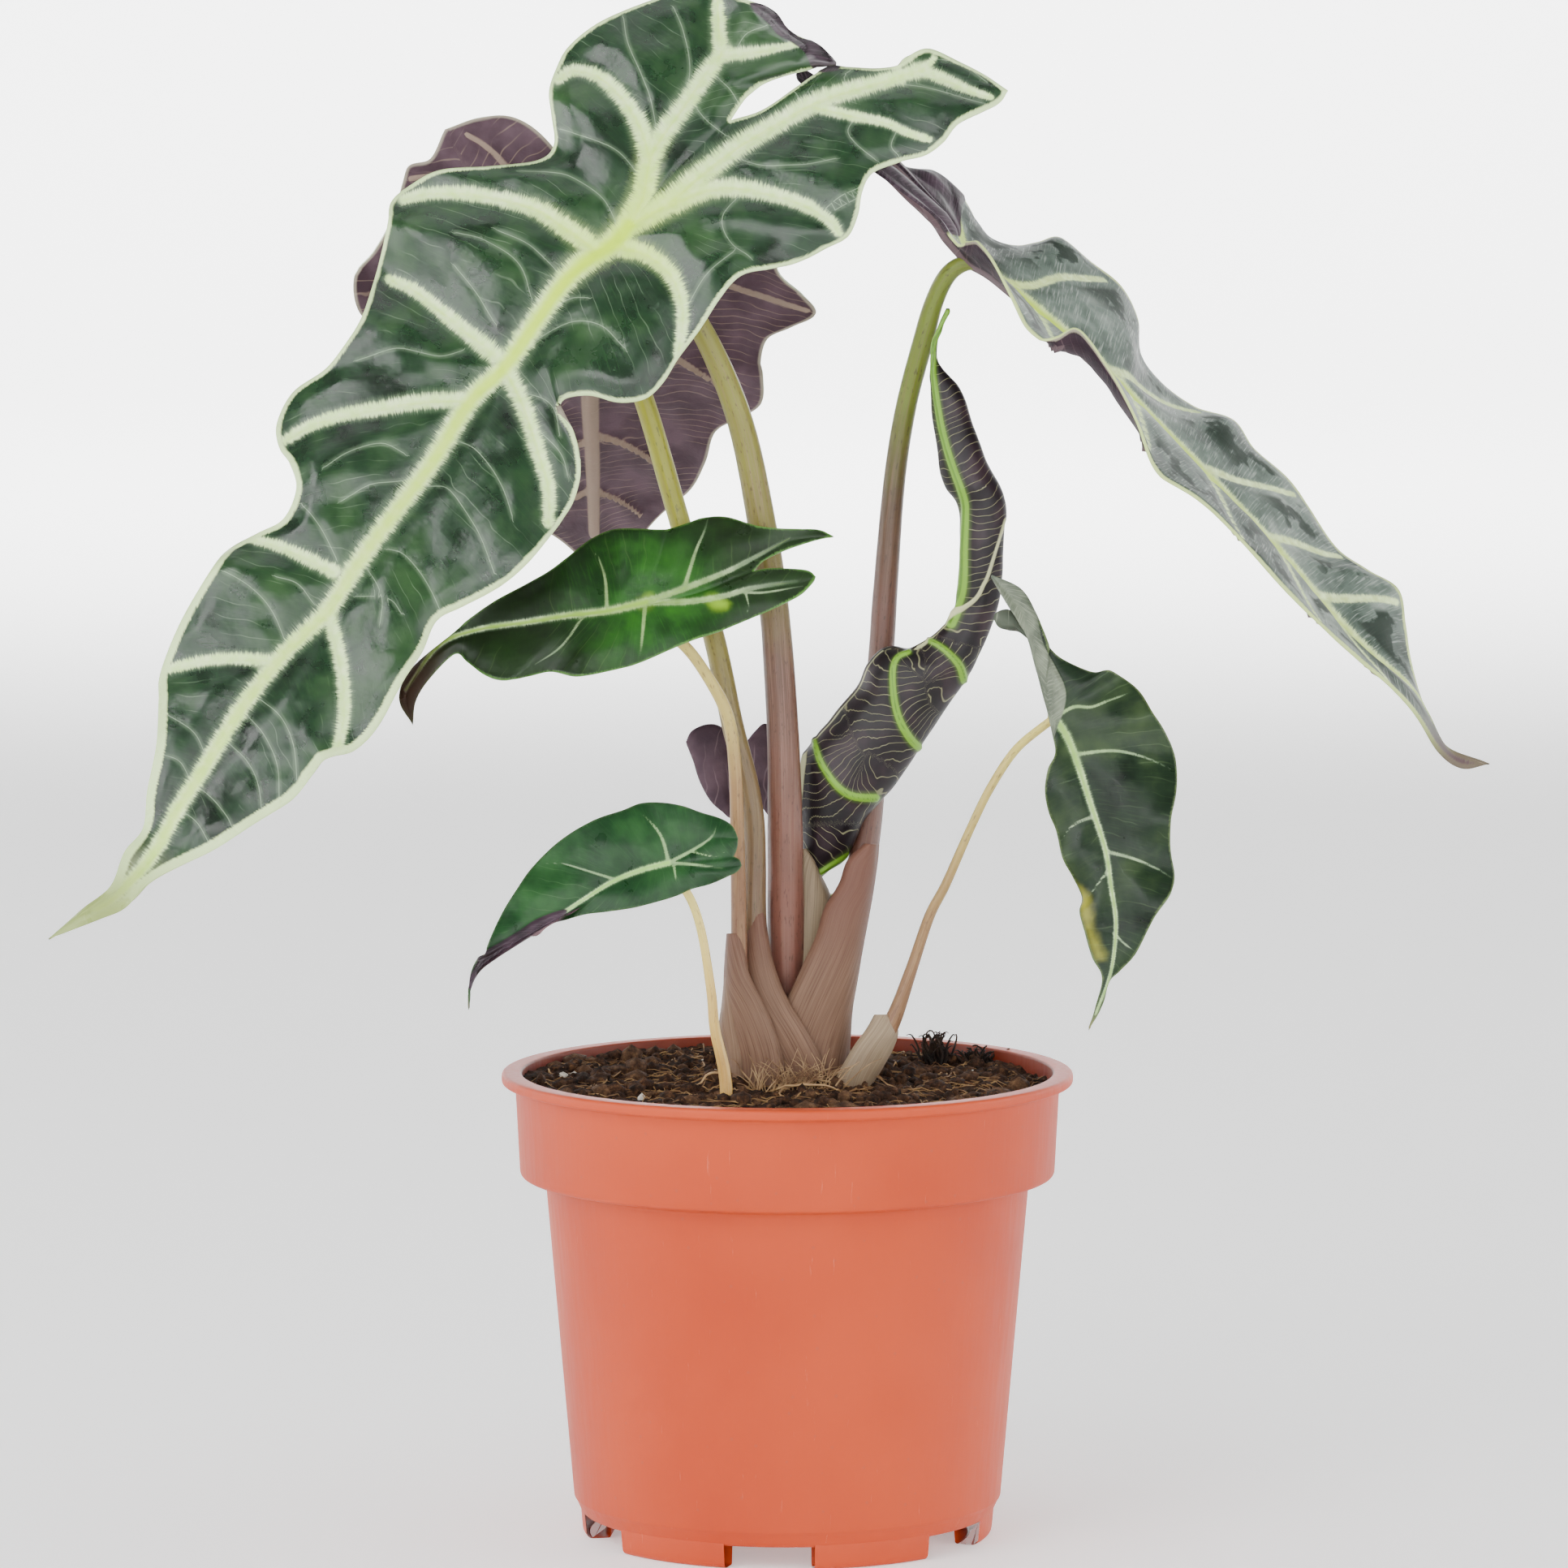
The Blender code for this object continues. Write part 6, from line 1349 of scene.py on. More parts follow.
LEFT_SCALE_ROWS = [
    (1186, 896, 900, -9.0, -9.6, -6.0, -5.0), (1205, 893, 903, -9.4, -10.4, -6.0, -5.0),
    (1235, 890, 908, -9.6, -11.0, -6.0, -5.0), (1265, 887, 912, -9.8, -11.4, -6.0, -5.0),
    (1290, 894, 916, -10.0, -11.6, -6.0, -5.0), (1310, 898, 918, -10.0, -11.6, -6.0, -5.0),
    (1348, 902, 918, -10.0, -11.6, -6.0, -5.0)]
RIGHT_SCALE_ROWS = [
    (1250, 1078, 1096, -8.0, -9.0, -5.0, -4.0), (1270, 1066, 1106, -8.6, -10.0, -5.0, -3.5),
    (1290, 1052, 1100, -9.0, -10.6, -5.0, -3.0), (1310, 1040, 1090, -9.2, -10.8, -5.0, -3.0),
    (1330, 1030, 1078, -9.2, -10.8, -5.0, -3.0), (1350, 1026, 1066, -9.0, -10.6, -5.0, -3.0)]


def add_sheath(name, rows, margin_left, finish, slot, thickness=0.55):
    """A papery wrap: an arc from its free margin in front, round the far edge, to its hidden end."""
    rings = []
    index = np.linspace(0, len(rows) - 1, 4 * len(rows) + 1)
    for py, left, right, free, front, far, hidden in through_rows(rows, index):
        low = photo_points([(left, py)])[0]
        high = photo_points([(right, py)])[0]
        start, stop = (low, high) if margin_left else (high, low)
        middle = (low + high) / 2
        keys = [(start[0], free), (start[0] * 0.72 + middle[0] * 0.28, front * 0.86 + free * 0.14),
                (middle[0], front), (stop[0] * 0.72 + middle[0] * 0.28, front * 0.7 + far * 0.3),
                (stop[0], far), (stop[0] * 0.9 + middle[0] * 0.1, hidden)]
        curve = at_fraction(smooth_line(keys, 8), np.linspace(0, 1, SHEATH_POINTS))
        level = np.full(SHEATH_POINTS, (low[1] + high[1]) / 2)
        drawn = np.stack([curve[:, 0], level, curve[:, 1]], axis=-1)
        rings.append(in_space(drawn))
    sheath = loft(name, rings, closed=False)
    points = places_of(sheath)
    waves = 0.15 * rumple(points * (1, 1, 0.3), 2.4, 7)
    move_to(sheath, points + normals_of(sheath) * waves[:, None])
    mend(sheath)
    finish_modifier(sheath, "SOLIDIFY", thickness=thickness * MM, offset=0.0)
    finish_modifier(sheath, "BEVEL", width=0.15 * MM, segments=2, limit_method="ANGLE")
    sheath.data.shade_smooth()
    stands_for(sheath, slot, finish=finish)


# The young leaf, still rolled into a spindle
YOUNG_RINGS = 260
YOUNG_MARGIN_PX = [(1237, 640), (1219, 703), (1212, 720), (1202, 738), (1179, 756), (1159, 774),
                   (1138, 794), (1123, 799), (1102, 797), (1085, 802), (1069, 820), (1059, 843),
                   (1041, 866), (1026, 886), (1006, 907), (993, 922), (991, 942), (986, 985),
                   (985, 1030), (986, 1078)]
YOUNG_MIDRIB_PX = [(1168, 384), (1152, 420), (1150, 445), (1151, 470), (1159, 521), (1171, 567),
                   (1187, 613), (1189, 636), (1188, 670), (1187, 720), (1180, 750), (1172, 768)]
YOUNG_SIDE_VEINS_PX = [
    [(1120, 803), (1106, 810), (1100, 828), (1102, 863), (1110, 891), (1123, 912), (1136, 924)],
    [(1146, 790), (1156, 795), (1169, 805), (1182, 820), (1188, 838)],
    [(1002, 905), (1004, 917), (1013, 942), (1031, 968), (1051, 981), (1079, 983)],
    [(1000, 1082), (1022, 1068), (1044, 1055), (1052, 1050)]]
# Silhouette: height in pixels, left and right edge, depth of the spindle's middle (mm)
YOUNG_OUTLINE_PX = [
    (380, 1166, 1170, 3), (400, 1156, 1160, 3), (420, 1150, 1156, 3), (440, 1146, 1155, 3),
    (452, 1146, 1160, 3), (464, 1145, 1171, 3), (475, 1146, 1181, 3), (490, 1147, 1188, 3),
    (507, 1148, 1194, 3), (530, 1151, 1202, 3), (560, 1155, 1212, 3), (580, 1158, 1222, 3.2),
    (601, 1165, 1233, 3.2), (617, 1177, 1237, 3.3), (636, 1182, 1238, 3.4), (660, 1182, 1237, 3.5),
    (690, 1183, 1236, 3.6), (720, 1182, 1234, 3.8)]
# The wrapped lower part leans, so its rows run across it: left and right edge points, and depth
YOUNG_ROWS_PX = [
    ((1182, 745), (1232, 738), 4.0), ((1175, 758), (1224, 765), 4.0), ((1162, 772), (1214, 790), 4.1),
    ((1142, 790), (1206, 808), 4.2), ((1122, 799), (1196, 828), 4.3), ((1102, 797), (1180, 853), 4.5),
    ((1085, 802), (1164, 876), 4.7), ((1069, 820), (1147, 902), 4.9), ((1059, 843), (1130, 928), 5.0),
    ((1041, 866), (1113, 953), 5.2), ((1024, 888), (1099, 972), 5.4), ((1006, 907), (1084, 989), 5.6),
    ((990, 930), (1066, 1010), 5.8), ((986, 965), (1055, 1032), 6.0), ((986, 1000), (1044, 1052), 6.1),
    ((988, 1035), (1029, 1067), 6.2), ((994, 1066), (1013, 1080), 6.3)]


def young_rings(sides):
    """Rings of the spindle in space, from its tip down, with the flap of its wrapped layer."""
    rows = [((left, py), (right, py), depth) for py, left, right, depth in YOUNG_OUTLINE_PX]
    rows += YOUNG_ROWS_PX
    table = np.array([(*photo_points([a])[0], *photo_points([b])[0], depth) for a, b, depth in rows])
    table = through_rows(table, np.linspace(0, len(rows) - 1, YOUNG_RINGS))
    angles = np.arange(sides) * math.tau / sides
    rings = []
    for row in table:
        left, right, depth = row[:2], row[2:4], row[4]
        middle, half = (left + right) / 2, (right - left) / 2
        radius = max(np.linalg.norm(half), 0.25)
        deep = min(radius * 0.8, 0.6 + radius * 0.72)
        drawn = np.stack([middle[0] - half[0] * np.cos(angles), middle[1] - half[1] * np.cos(angles),
                          depth - deep * np.sin(angles)], axis=-1)
        rings.append(in_space(drawn))
    return np.array(rings)


def add_young_leaf(finish):
    """The rolled blade: a spindle with the raised edge of its outer layer and its ribs."""
    spindle = loft("blade_young_roll", young_rings(96))
    mend(spindle)
    points = places_of(spindle)
    drawn = drawn_places(points)
    front = soft_step(-normals_of(spindle)[:, 1], -0.2, 0.25)
    margin = smooth_line(photo_points(YOUNG_MARGIN_PX), 8)
    gap, run, side, _ = near_line(drawn, margin)
    midrib = smooth_line(photo_points(YOUNG_MIDRIB_PX), 8)
    veins = [(midrib, 1.1, 2.3)]
    veins += [(smooth_line(photo_points(line), 8), 1.2, 1.9) for line in YOUNG_SIDE_VEINS_PX]
    vein = vein_fields(drawn, veins, [])[0]
    fade = 60.0 * (1 - front)
    set_field(spindle, "vein", np.stack([vein[:, 0] + fade, vein[:, 1] + fade, vein[:, 2]], axis=-1))
    set_field(spindle, "hair", np.stack([gap * side, gap + fade, run], axis=-1))
    # the rib stands proud; the outer layer ends in a step along its margin
    rise = 0.55 * (1 - soft_step(vein[:, 0], 0.2, 1.1)) * front
    rise += 0.45 * soft_step(-gap * side, -0.25, 0.25) * (1 - soft_step(gap, 2.0, 9.0)) * front
    rise += 0.18 * rumple(points, 5.0, 8) * soft_step(points[:, 2], 100, 140)
    rise += 0.28 * (1 - soft_step(gap, 0.0, 0.55)) * front
    move_to(spindle, points + normals_of(spindle) * rise[:, None])
    spindle.data.materials.append(finish)
    return spindle


LOWER_RIGHT_LOBES_PX = [
    [(1225, 761), (1229, 755), (1240, 752), (1253, 757), (1266, 768), (1276, 790), (1268, 786), (1256, 777),
     (1243, 775), (1231, 771)]]
YOUNG_LOBES_PX = [
    [(846, 914), (851, 903), (859, 897), (871, 893), (884, 894), (897, 905), (905, 935), (908, 975),
     (902, 1006), (891, 1000), (876, 986), (863, 962), (855, 937)],
    [(922, 912), (932, 900), (943, 892), (956, 905), (966, 940), (968, 985), (956, 1010), (938, 990),
     (925, 950)]]


def add_lobes(name, outlines, out, finish):
    """Basal lobes that show beside what hides the rest of their blade, about so far out in mm."""
    lobes = []
    for k, outline in enumerate(outlines):
        ring = smooth_line(photo_points(outline + outline[:1]), 6)[:-1]
        middle = ring.mean(axis=0)
        shares = (0.25, 0.5, 0.75, 0.9, 1.0)
        points, faces = [], []
        for share in shares:
            flat = middle + (ring - middle) * share
            depth = out + 1.6 * share ** 2
            points.append(in_space(np.column_stack([flat, np.full(len(flat), depth)])))
        points.append(in_space(np.array([[*middle, out]])))
        wide = len(ring)
        last = wide * len(shares)
        for m in range(wide):
            n = (m + 1) % wide
            faces.append((last, m, n))
            for i in range(len(shares) - 1):
                faces.append((i * wide + m, (i + 1) * wide + m, (i + 1) * wide + n, i * wide + n))
        lobe = new_piece(f"{name}_{k}", np.vstack(points), faces)
        mend(lobe)
        places = places_of(lobe)
        set_field(lobe, "grain", places)
        for field in ("vein", "hair", "rim"):
            set_field(lobe, field, np.full(places.shape, FAR_OFF))
        finish_modifier(lobe, "SOLIDIFY", thickness=0.7 * MM, offset=0.0)
        lobe.data.materials.append(finish)
        lobes.append(lobe)
    return lobes


# The pot

POT_STEPS = 168  # steps round the pot
FOOT_STEPS = 20
CORNER_STEPS = 5
DRAIN_SIDES = 40


def turned_profile(name, profile, steps, angle=math.tau):
    """Spin a closed profile of (radius, height) in mm round the pot's axis."""
    mesh = bpy.data.meshes.new(name)
    points = [((Vector((r, 0, z)) + Vector(AXIS)) * MM) for r, z in profile]
    edges = [(i, (i + 1) % len(points)) for i in range(len(points))]
    mesh.from_pydata(points, edges, [])
    piece = bpy.data.objects.new(name, mesh)
    bpy.context.scene.collection.objects.link(piece)
    alone(piece)
    bpy.ops.object.mode_set(mode="EDIT")
    bpy.ops.mesh.select_all(action="SELECT")
    bpy.ops.mesh.spin(steps=steps, angle=angle, center=tuple(AXIS * MM), axis=(0, 0, 1))
    bpy.ops.object.mode_set(mode="OBJECT")
    mend(piece, weld=0.002)
    return piece


def rounded(corners):
    """A closed profile of (radius, height) in mm, each corner rounded by its third value."""
    given = np.array(corners, float)[:, :2]
    smooth = []
    for i, (_, _, radius) in enumerate(corners):
        corner, before, after = given[i], given[i - 1], given[(i + 1) % len(given)]
        if radius == 0:
            smooth.append(tuple(corner))
            continue
        to_before = (before - corner) / np.linalg.norm(before - corner)
        to_after = (after - corner) / np.linalg.norm(after - corner)
        half = math.acos(np.clip(to_before @ to_after, -1, 1)) / 2
        cut = min(radius / math.tan(half), 0.45 * np.linalg.norm(before - corner),
                  0.45 * np.linalg.norm(after - corner))
        a, b = corner + to_before * cut, corner + to_after * cut
        for u in np.linspace(0, 1, CORNER_STEPS + 1):
            smooth.append(tuple((1 - u) ** 2 * a + 2 * u * (1 - u) * corner + u * u * b))
    return smooth


def add_pot(finish):
    """The moulded pot: flared lip, stepped collar, tapered wall, feet and drain holes."""
    lip = LIP_DIAMETER / 2
    collar_top = COLLAR_TOP_DIAMETER / 2
    collar_foot = COLLAR_FOOT_DIAMETER / 2
    body_top = BODY_TOP_DIAMETER / 2
    base = BODY_BASE_DIAMETER / 2
    lip_foot = POT_HEIGHT - LIP_THICKNESS
    collar_low = lip_foot - COLLAR_HEIGHT
    inside = FOOT_HEIGHT + POT_FLOOR
    profile = rounded([
        (lip, POT_HEIGHT, 0.9), (lip, lip_foot, 0.7), (collar_top, lip_foot - 0.3, 1.0),
        (collar_foot, collar_low, 1.2), (body_top, collar_low - 0.8, 1.4),
        (base + 0.5, FOOT_HEIGHT + 3.4, 0.6), (base, FOOT_HEIGHT + 2.6, 0.6),
        (base - 1.2, FOOT_HEIGHT, 1.0), (0.0, FOOT_HEIGHT, 0),
        (0.0, inside, 0), (base - 1.6, inside, 1.5), (body_top - WALL, collar_low + 0.6, 1.2),
        (collar_foot - WALL, collar_low + 1.4, 1.2), (collar_top - WALL, POT_HEIGHT, 0.6)])
    shell = turned_profile("pot_shell", profile, POT_STEPS)
    cutters = []
    for k in range(FOOT_COUNT):
        angle = math.radians(FOOT_PITCH * k)
        place = Vector((math.cos(angle), math.sin(angle), 0)) * DRAIN_RING_RADIUS
        place = (place + Vector(AXIS) + Vector((0, 0, FOOT_HEIGHT))) * MM
        bpy.ops.mesh.primitive_cylinder_add(vertices=DRAIN_SIDES, radius=DRAIN_DIAMETER / 2 * MM,
                                            depth=DRAIN_CUT * MM, location=place)
        cutters.append(bpy.context.object)
    cutter = join("drain_cutter", cutters)
    finish_modifier(shell, "BOOLEAN", object=cutter, operation="DIFFERENCE", solver="EXACT")
    bpy.data.objects.remove(cutter)
    feet = []
    for k in range(FOOT_COUNT):
        outer = FOOT_OUTER_RADIUS
        inner = outer - FOOT_WIDTH
        section = rounded([(outer, FOOT_HEIGHT + 0.6, 0), (outer - 0.5, 0, 1.6), (inner + 0.4, 0, 0.6),
                           (inner, FOOT_HEIGHT + 0.6, 0)])
        foot = turned_profile(f"pot_foot_{k}", section, FOOT_STEPS, FOOT_ANGLE)
        bpy.ops.object.mode_set(mode="EDIT")
        bpy.ops.mesh.select_all(action="DESELECT")
        bpy.ops.mesh.select_non_manifold()
        bpy.ops.mesh.fill()
        bpy.ops.mesh.select_all(action="SELECT")
        bpy.ops.mesh.normals_make_consistent(inside=False)
        turn = math.radians(FOOT_PITCH * (k + 0.5)) - FOOT_ANGLE / 2
        bpy.ops.transform.rotate(value=-turn, orient_axis="Z", orient_type="GLOBAL",
                                 center_override=tuple(AXIS * MM))
        bpy.ops.object.mode_set(mode="OBJECT")
        finish_modifier(foot, "BEVEL", width=1.2 * MM, segments=3, limit_method="ANGLE",
                        angle_limit=math.radians(50))
        feet.append(foot)
    pot = join("pot_shell", [shell] + feet)
    alone(pot)
    bpy.ops.object.shade_smooth_by_angle(angle=math.radians(38))
    stands_for(pot, "pot_plastic", "pot", finish=finish)


# Soil and what lies on it

CRUMB_FORMS = 40  # how many crumbs differ in their roughness
FIBRE_POINTS = 9
TORN_FIBRES = 150


def soil_height(x, y):
    """Height of the soil's skin in mm: a low mound at the crown and hollows."""
    radius = np.hypot(x, y)
    mound = 1.6 * np.exp(-(radius / 24.0) ** 2)
    places = np.stack([x, y, np.zeros_like(x)], axis=-1)
    ground = SOIL_TOP + 1.3 + mound * 0.6 - 0.012 * x
    ground += 0.9 * rumple(places, 15.0, 11) + 0.9 * rumple(places, 5.5, 12)
    ground += 0.85 * rumple(places, 2.3, 13) + 0.45 * rumple(places, 1.1, 14)
    return np.minimum(ground, POT_HEIGHT + 0.6)


def soil_at(x, y):
    return soil_height(np.array([x]), np.array([y]))[0]


def add_soil(finish):
    """The soil: a rough skin that fills the pot from wall to wall, closed underneath."""
    rings, sides = 96, 360
    radii = SOIL_RADIUS * np.linspace(0, 1, rings + 1)[1:]
    angles = np.arange(sides) * math.tau / sides
    x = (radii[:, None] * np.cos(angles)).ravel()
    y = (radii[:, None] * np.sin(angles)).ravel()
    z = soil_height(x, y)
    edge_x = SOIL_FOOT_RADIUS * np.cos(angles)
    edge_y = SOIL_FOOT_RADIUS * np.sin(angles)
    points = np.vstack([np.stack([x, y, z], axis=-1),
                        np.stack([edge_x, edge_y, np.full(sides, SOIL_FOOT_HEIGHT)], axis=-1),
                        [[0, 0, soil_at(0, 0)], [0, 0, SOIL_FOOT_HEIGHT]]])
    top, low = rings * sides + sides, rings * sides + sides + 1
    faces = []
    for m in range(sides):
        n = (m + 1) % sides
        faces.append((top, m, n))
        for i in range(rings):
            a, b = i * sides, (i + 1) * sides
            faces.append((a + m, b + m, b + n, a + n))
        faces.append((rings * sides + n, rings * sides + m, low))
    soil = new_piece("soil_skin", points, faces)
    mend(soil)
    stands_for(soil, "soil", "soil", "corm", finish=finish)


def crumb_form(size, flat, seed):
    """Points and faces of one rough crumb about its middle."""
    form = bmesh.new()
    bmesh.ops.create_icosphere(form, subdivisions=1, radius=1.0)
    points = np.array([vert.co for vert in form.verts])
    faces = [[vert.index for vert in face.verts] for face in form.faces]
    form.free()
    swell = 1 + 0.45 * rumple(points, 0.9, seed)
    points = points * swell[:, None] * np.array([1.0, random.uniform(0.6, 1.0), flat]) * size
    turn = random.uniform(0, math.tau)
    cos, sin = math.cos(turn), math.sin(turn)
    return np.stack([points[:, 0] * cos - points[:, 1] * sin, points[:, 0] * sin + points[:, 1] * cos,
                     points[:, 2]], axis=-1), faces


def add_crumbs(name, finish, count, small, large):
    """Loose crumbs over the soil, each sunk a little into it."""
    points, faces = [], []
    start = 0
    for k in range(count):
        radius = CRUMB_REACH * math.sqrt(random.random())
        angle = random.uniform(0, math.tau)
        x, y = radius * math.cos(angle), radius * math.sin(angle)
        size = small + (large - small) * random.random() ** 2.6
        form, form_faces = crumb_form(size, random.uniform(0.5, 0.9), k % CRUMB_FORMS)
        z = soil_at(x, y) + size * 0.18
        points.append(form + (x, y, z))
        faces += [[start + index for index in face] for face in form_faces]
        start += len(form)
    crumbs = new_piece(name, np.vstack(points), faces)
    stands_for(crumbs, "soil", finish=finish)


def add_fibres(name, finish, count, thick, near=0.0, far=52.0, lengths=(5.0, 18.0), lift=0.8):
    """Fibres that lie over the soil, each following its ups and downs."""
    lines = []
    for _ in range(count):
        radius = near + (far - near) * math.sqrt(random.random())
        angle = random.uniform(0, math.tau)
        x, y = radius * math.cos(angle), radius * math.sin(angle)
        heading = random.uniform(0, math.tau)
        step = random.uniform(*lengths) / (FIBRE_POINTS - 1)
        bend = random.uniform(-0.5, 0.5)
        width = random.uniform(*thick)
        rise = random.uniform(0.0, lift)
        line = []
        for k in range(FIBRE_POINTS):
            hump = math.sin(math.pi * k / (FIBRE_POINTS - 1))
            line.append((x, y, soil_at(x, y) + 0.15 + rise * hump, width * (0.35 + 0.65 * hump)))
            x += step * math.cos(heading)
            y += step * math.sin(heading)
            heading += bend * random.uniform(0.0, 0.8)
            if math.hypot(x, y) > FIBRE_REACH:
                break
        if len(line) > 3:
            lines.append(line)
    stands_for(strands(name, lines, 4), "soil", finish=finish)


def add_torn_fibres(finish):
    """What is left of old sheaths: short fibres that stand and lean round the crown."""
    lines = []
    for _ in range(TORN_FIBRES):
        x = random.uniform(-8.0, 12.0)
        y = random.uniform(-16.0, -12.0) + 0.25 * abs(x)
        heading = random.gauss(-math.pi / 2, 0.9)
        lean = random.uniform(0.3, 1.1)
        step = random.uniform(0.5, 1.5)
        width = random.uniform(0.09, 0.24)
        z = SOIL_TOP + random.uniform(0.0, 1.5)
        line = []
        for k in range(FIBRE_POINTS):
            line.append((x, y, z, width * (1 - k / 11)))
            x += step * lean * math.cos(heading)
            y += 0.4 * step * lean * math.sin(heading)
            z += step * (1.0 - 0.13 * k * lean)
            heading += random.uniform(-0.4, 0.4)
        lines.append(line)
    stands_for(strands("sheath_fibres", lines, 4), "stalk", finish=finish)


def add_sprig(finish):
    """Two small dark tufts of dry moss by the back rim, all curls."""
    lines = []
    for count, right, spread, climbs in ((46, SPRIG_PLACE[0], 1.5, (1.2, 2.3)),
                                         (34, SPRIG_PLACE[0] + 8.5, 2.6, (0.6, 1.2))):
        for _ in range(count):
            x = right + random.gauss(0.0, spread)
            y = SPRIG_PLACE[1] + random.gauss(0.0, 1.4)
            z = soil_at(x, y) - 0.3
            heading = random.uniform(0, math.tau)
            climb = random.uniform(*climbs)
            line = []
            for k in range(12):
                line.append((x, y, z, 0.36 * (1 - k / 14)))
                x += 0.36 * math.cos(heading)
                y += 0.3 * math.sin(heading)
                z += 0.55 * climb * math.cos(k / 5.5)
                heading += random.uniform(-0.9, 1.2)
            lines.append(line)
    stands_for(strands("soil_sprig", lines, 5), "soil", finish=finish)


# Everything in its place

random.seed(SEED)

PURPLE_UNDERSIDE = ("#180F15", "#382833", "#655560")  # dark, pale and streaks
GREY_UNDERSIDE = ("#4C5446", "#6E7664", "#9CA48E")

front_top = leaf_top("front_blade_cuticle", "#08180B", "#102C15", "#25441F", "#C2E68C", "#C2E600",
                     "#C6E09C", (163, 182, "#7C8A42"), feather=1.4, lines=0.12, gloss=0.5,
                     rough_range=(0.22, 0.40), hem_widths=(0.9, 1.9), folded=PURPLE_UNDERSIDE,
                     thin_vein="#A9C4A0")
right_under = leaf_back("right_blade_underside", "#35272F", "#211820", "#6C585C")
underside = leaf_back("blade_underside", "#46323A", "#2C1E26", "#7E6468")
back_under = leaf_back("back_blade_underside", "#54424A", "#3A2A31", "#93806E")
back_top = leaf_top("back_blade_cuticle", "#0C1F0C", "#163A17", "#30581F", "#C9D8BC", "#CFDF8A",
                    "#C2CFAC", (900, 901, "#7C8A42"))
right_top = leaf_top("right_blade_cuticle", "#26332A", "#56635A", "#98A198", "#B4C686", "#B6D23C",
                     "#B7C97E", (128, 146, "#4A3038"), lines=0.0, gloss=0.25, rough_range=(0.42, 0.6),
                     patches="#122016", streaky=0.65, folded=PURPLE_UNDERSIDE)
# the middle blade's shade is painted: a darker green away from its stalk
middle_top = leaf_top("middle_blade_cuticle", "#0E260D", "#183F12", "#2C6A18", "#6C8A4E", "#8CB43E",
                      "#4E7A34", (40, 52, "#33241C"), lines=0.1, minor=0.6, hem_widths=(0.3, 0.3),
                      shade=(13.0, 34.0, "#172012"), yellow="#8FB81E", ends=0.1)
lower_left_top = leaf_top("lower_left_blade_cuticle", "#0A2010", "#143618", "#265024", "#84A876",
                          "#8CBC58", "#46603A", (50, 58, "#3A2822"), lines=0.08, minor=0.45,
                          hem_widths=(0.2, 0.2), folded=PURPLE_UNDERSIDE, ends=0.1)
lower_right_top = leaf_top("lower_right_blade_cuticle", "#0A150C", "#142414", "#2C3D20", "#86A070",
                           "#88B050", "#56663E", (62, 70, "#8A7A4A"), lines=0.08, minor=0.6,
                           gloss=0.2, hem_widths=(0.3, 0.3), folded=GREY_UNDERSIDE, yellow="#9C9A34",
                           ends=0.1)
grey_under = leaf_back("lower_right_blade_underside", "#565D50", "#3C4238", "#8C947E")

# piece, node, outline, veins, hair veins, finishes, mesh step (mm), quilting and waves (mm)
add_blade("blade_front_skin", "blade_front", FRONT, FRONT_VEINS_PX, FRONT_HAIRS_PX,
          [front_top, underside], 1.25, 1.2, 1.5, FRONT_FOLDS_PX)
add_blade("blade_back_skin", "blade_back", BACK, BACK_VEINS_PX, [], [back_top, back_under], 1.0, 0.7, 1.0)
add_blade("blade_right_skin", "blade_right", RIGHT, None, [], [right_top, right_under], 0.9, 0.9, 1.0,
          RIGHT_FOLDS_PX)
add_blade("blade_middle_skin", "blade_middle", MIDDLE, MIDDLE_VEINS_PX, [], [middle_top, underside],
          0.7, 0.55, 0.7, (), MIDDLE_YELLOW_PX)
add_blade("blade_lower_left_skin", "blade_lower_left", LOWER_LEFT, LOWER_LEFT_VEINS_PX, [],
          [lower_left_top, underside], 0.65, 0.4, 0.5, LOWER_LEFT_FOLDS_PX)
lower_right = add_blade("blade_lower_right_skin", "blade_lower_right", LOWER_RIGHT, LOWER_RIGHT_VEINS_PX,
                        [], [lower_right_top, grey_under], 0.7, 0.5, 0.6, LOWER_RIGHT_FOLDS_PX,
                        LOWER_RIGHT_YELLOW_PX)
lobes = add_lobes("lower_right_lobe", LOWER_RIGHT_LOBES_PX, -13.6, grey_under)
join("blade_lower_right_skin", [lower_right] + lobes)

olive = stalk_skin("back_stalk_skin", "#5E4232", "#624E2E", "#8E9022", "#40361F", "#867648")
brown = stalk_skin("front_stalk_skin", "#784C40", "#523628", "#7A7A2A", "#3E261D", "#8C6A58")
green = stalk_skin("right_stalk_skin", "#5A3A2F", "#463420", "#607016", "#342318", "#705442")
tan = stalk_skin("tan_stalk_skin", "#6E4838", "#86663C", "#C8BA5E", "#563C2A", "#AC9064")
cream = stalk_skin("small_stalk_skin", "#946A3E", "#C0984A", "#D8CA6A", "#806444", "#DCCE8A")
young_green = stalk_skin("young_stalk_skin", "#8E7A62", "#94A05A", "#9DBA52", "#5A5230", "#C2C98A")

# node, slot, skin, sides round it, and the heights where it is all brown and all green (mm)
add_stalk("petiole_front", "stalk", brown, 48, 120, 258)
add_stalk("petiole_back", "stalk", olive, 44, 110, 240)
add_stalk("petiole_right", "stalk", green, 44, 190, 254)
add_stalk("petiole_young", "small_stalk", young_green, 28, 110, 150)
add_stalk("petiole_middle", "small_stalk", tan, 30, 122, 204)
add_stalk("petiole_lower_left", "small_stalk", cream, 24, 80, 150)
add_stalk("petiole_lower_right", "small_stalk", tan, 28, 100, 180)

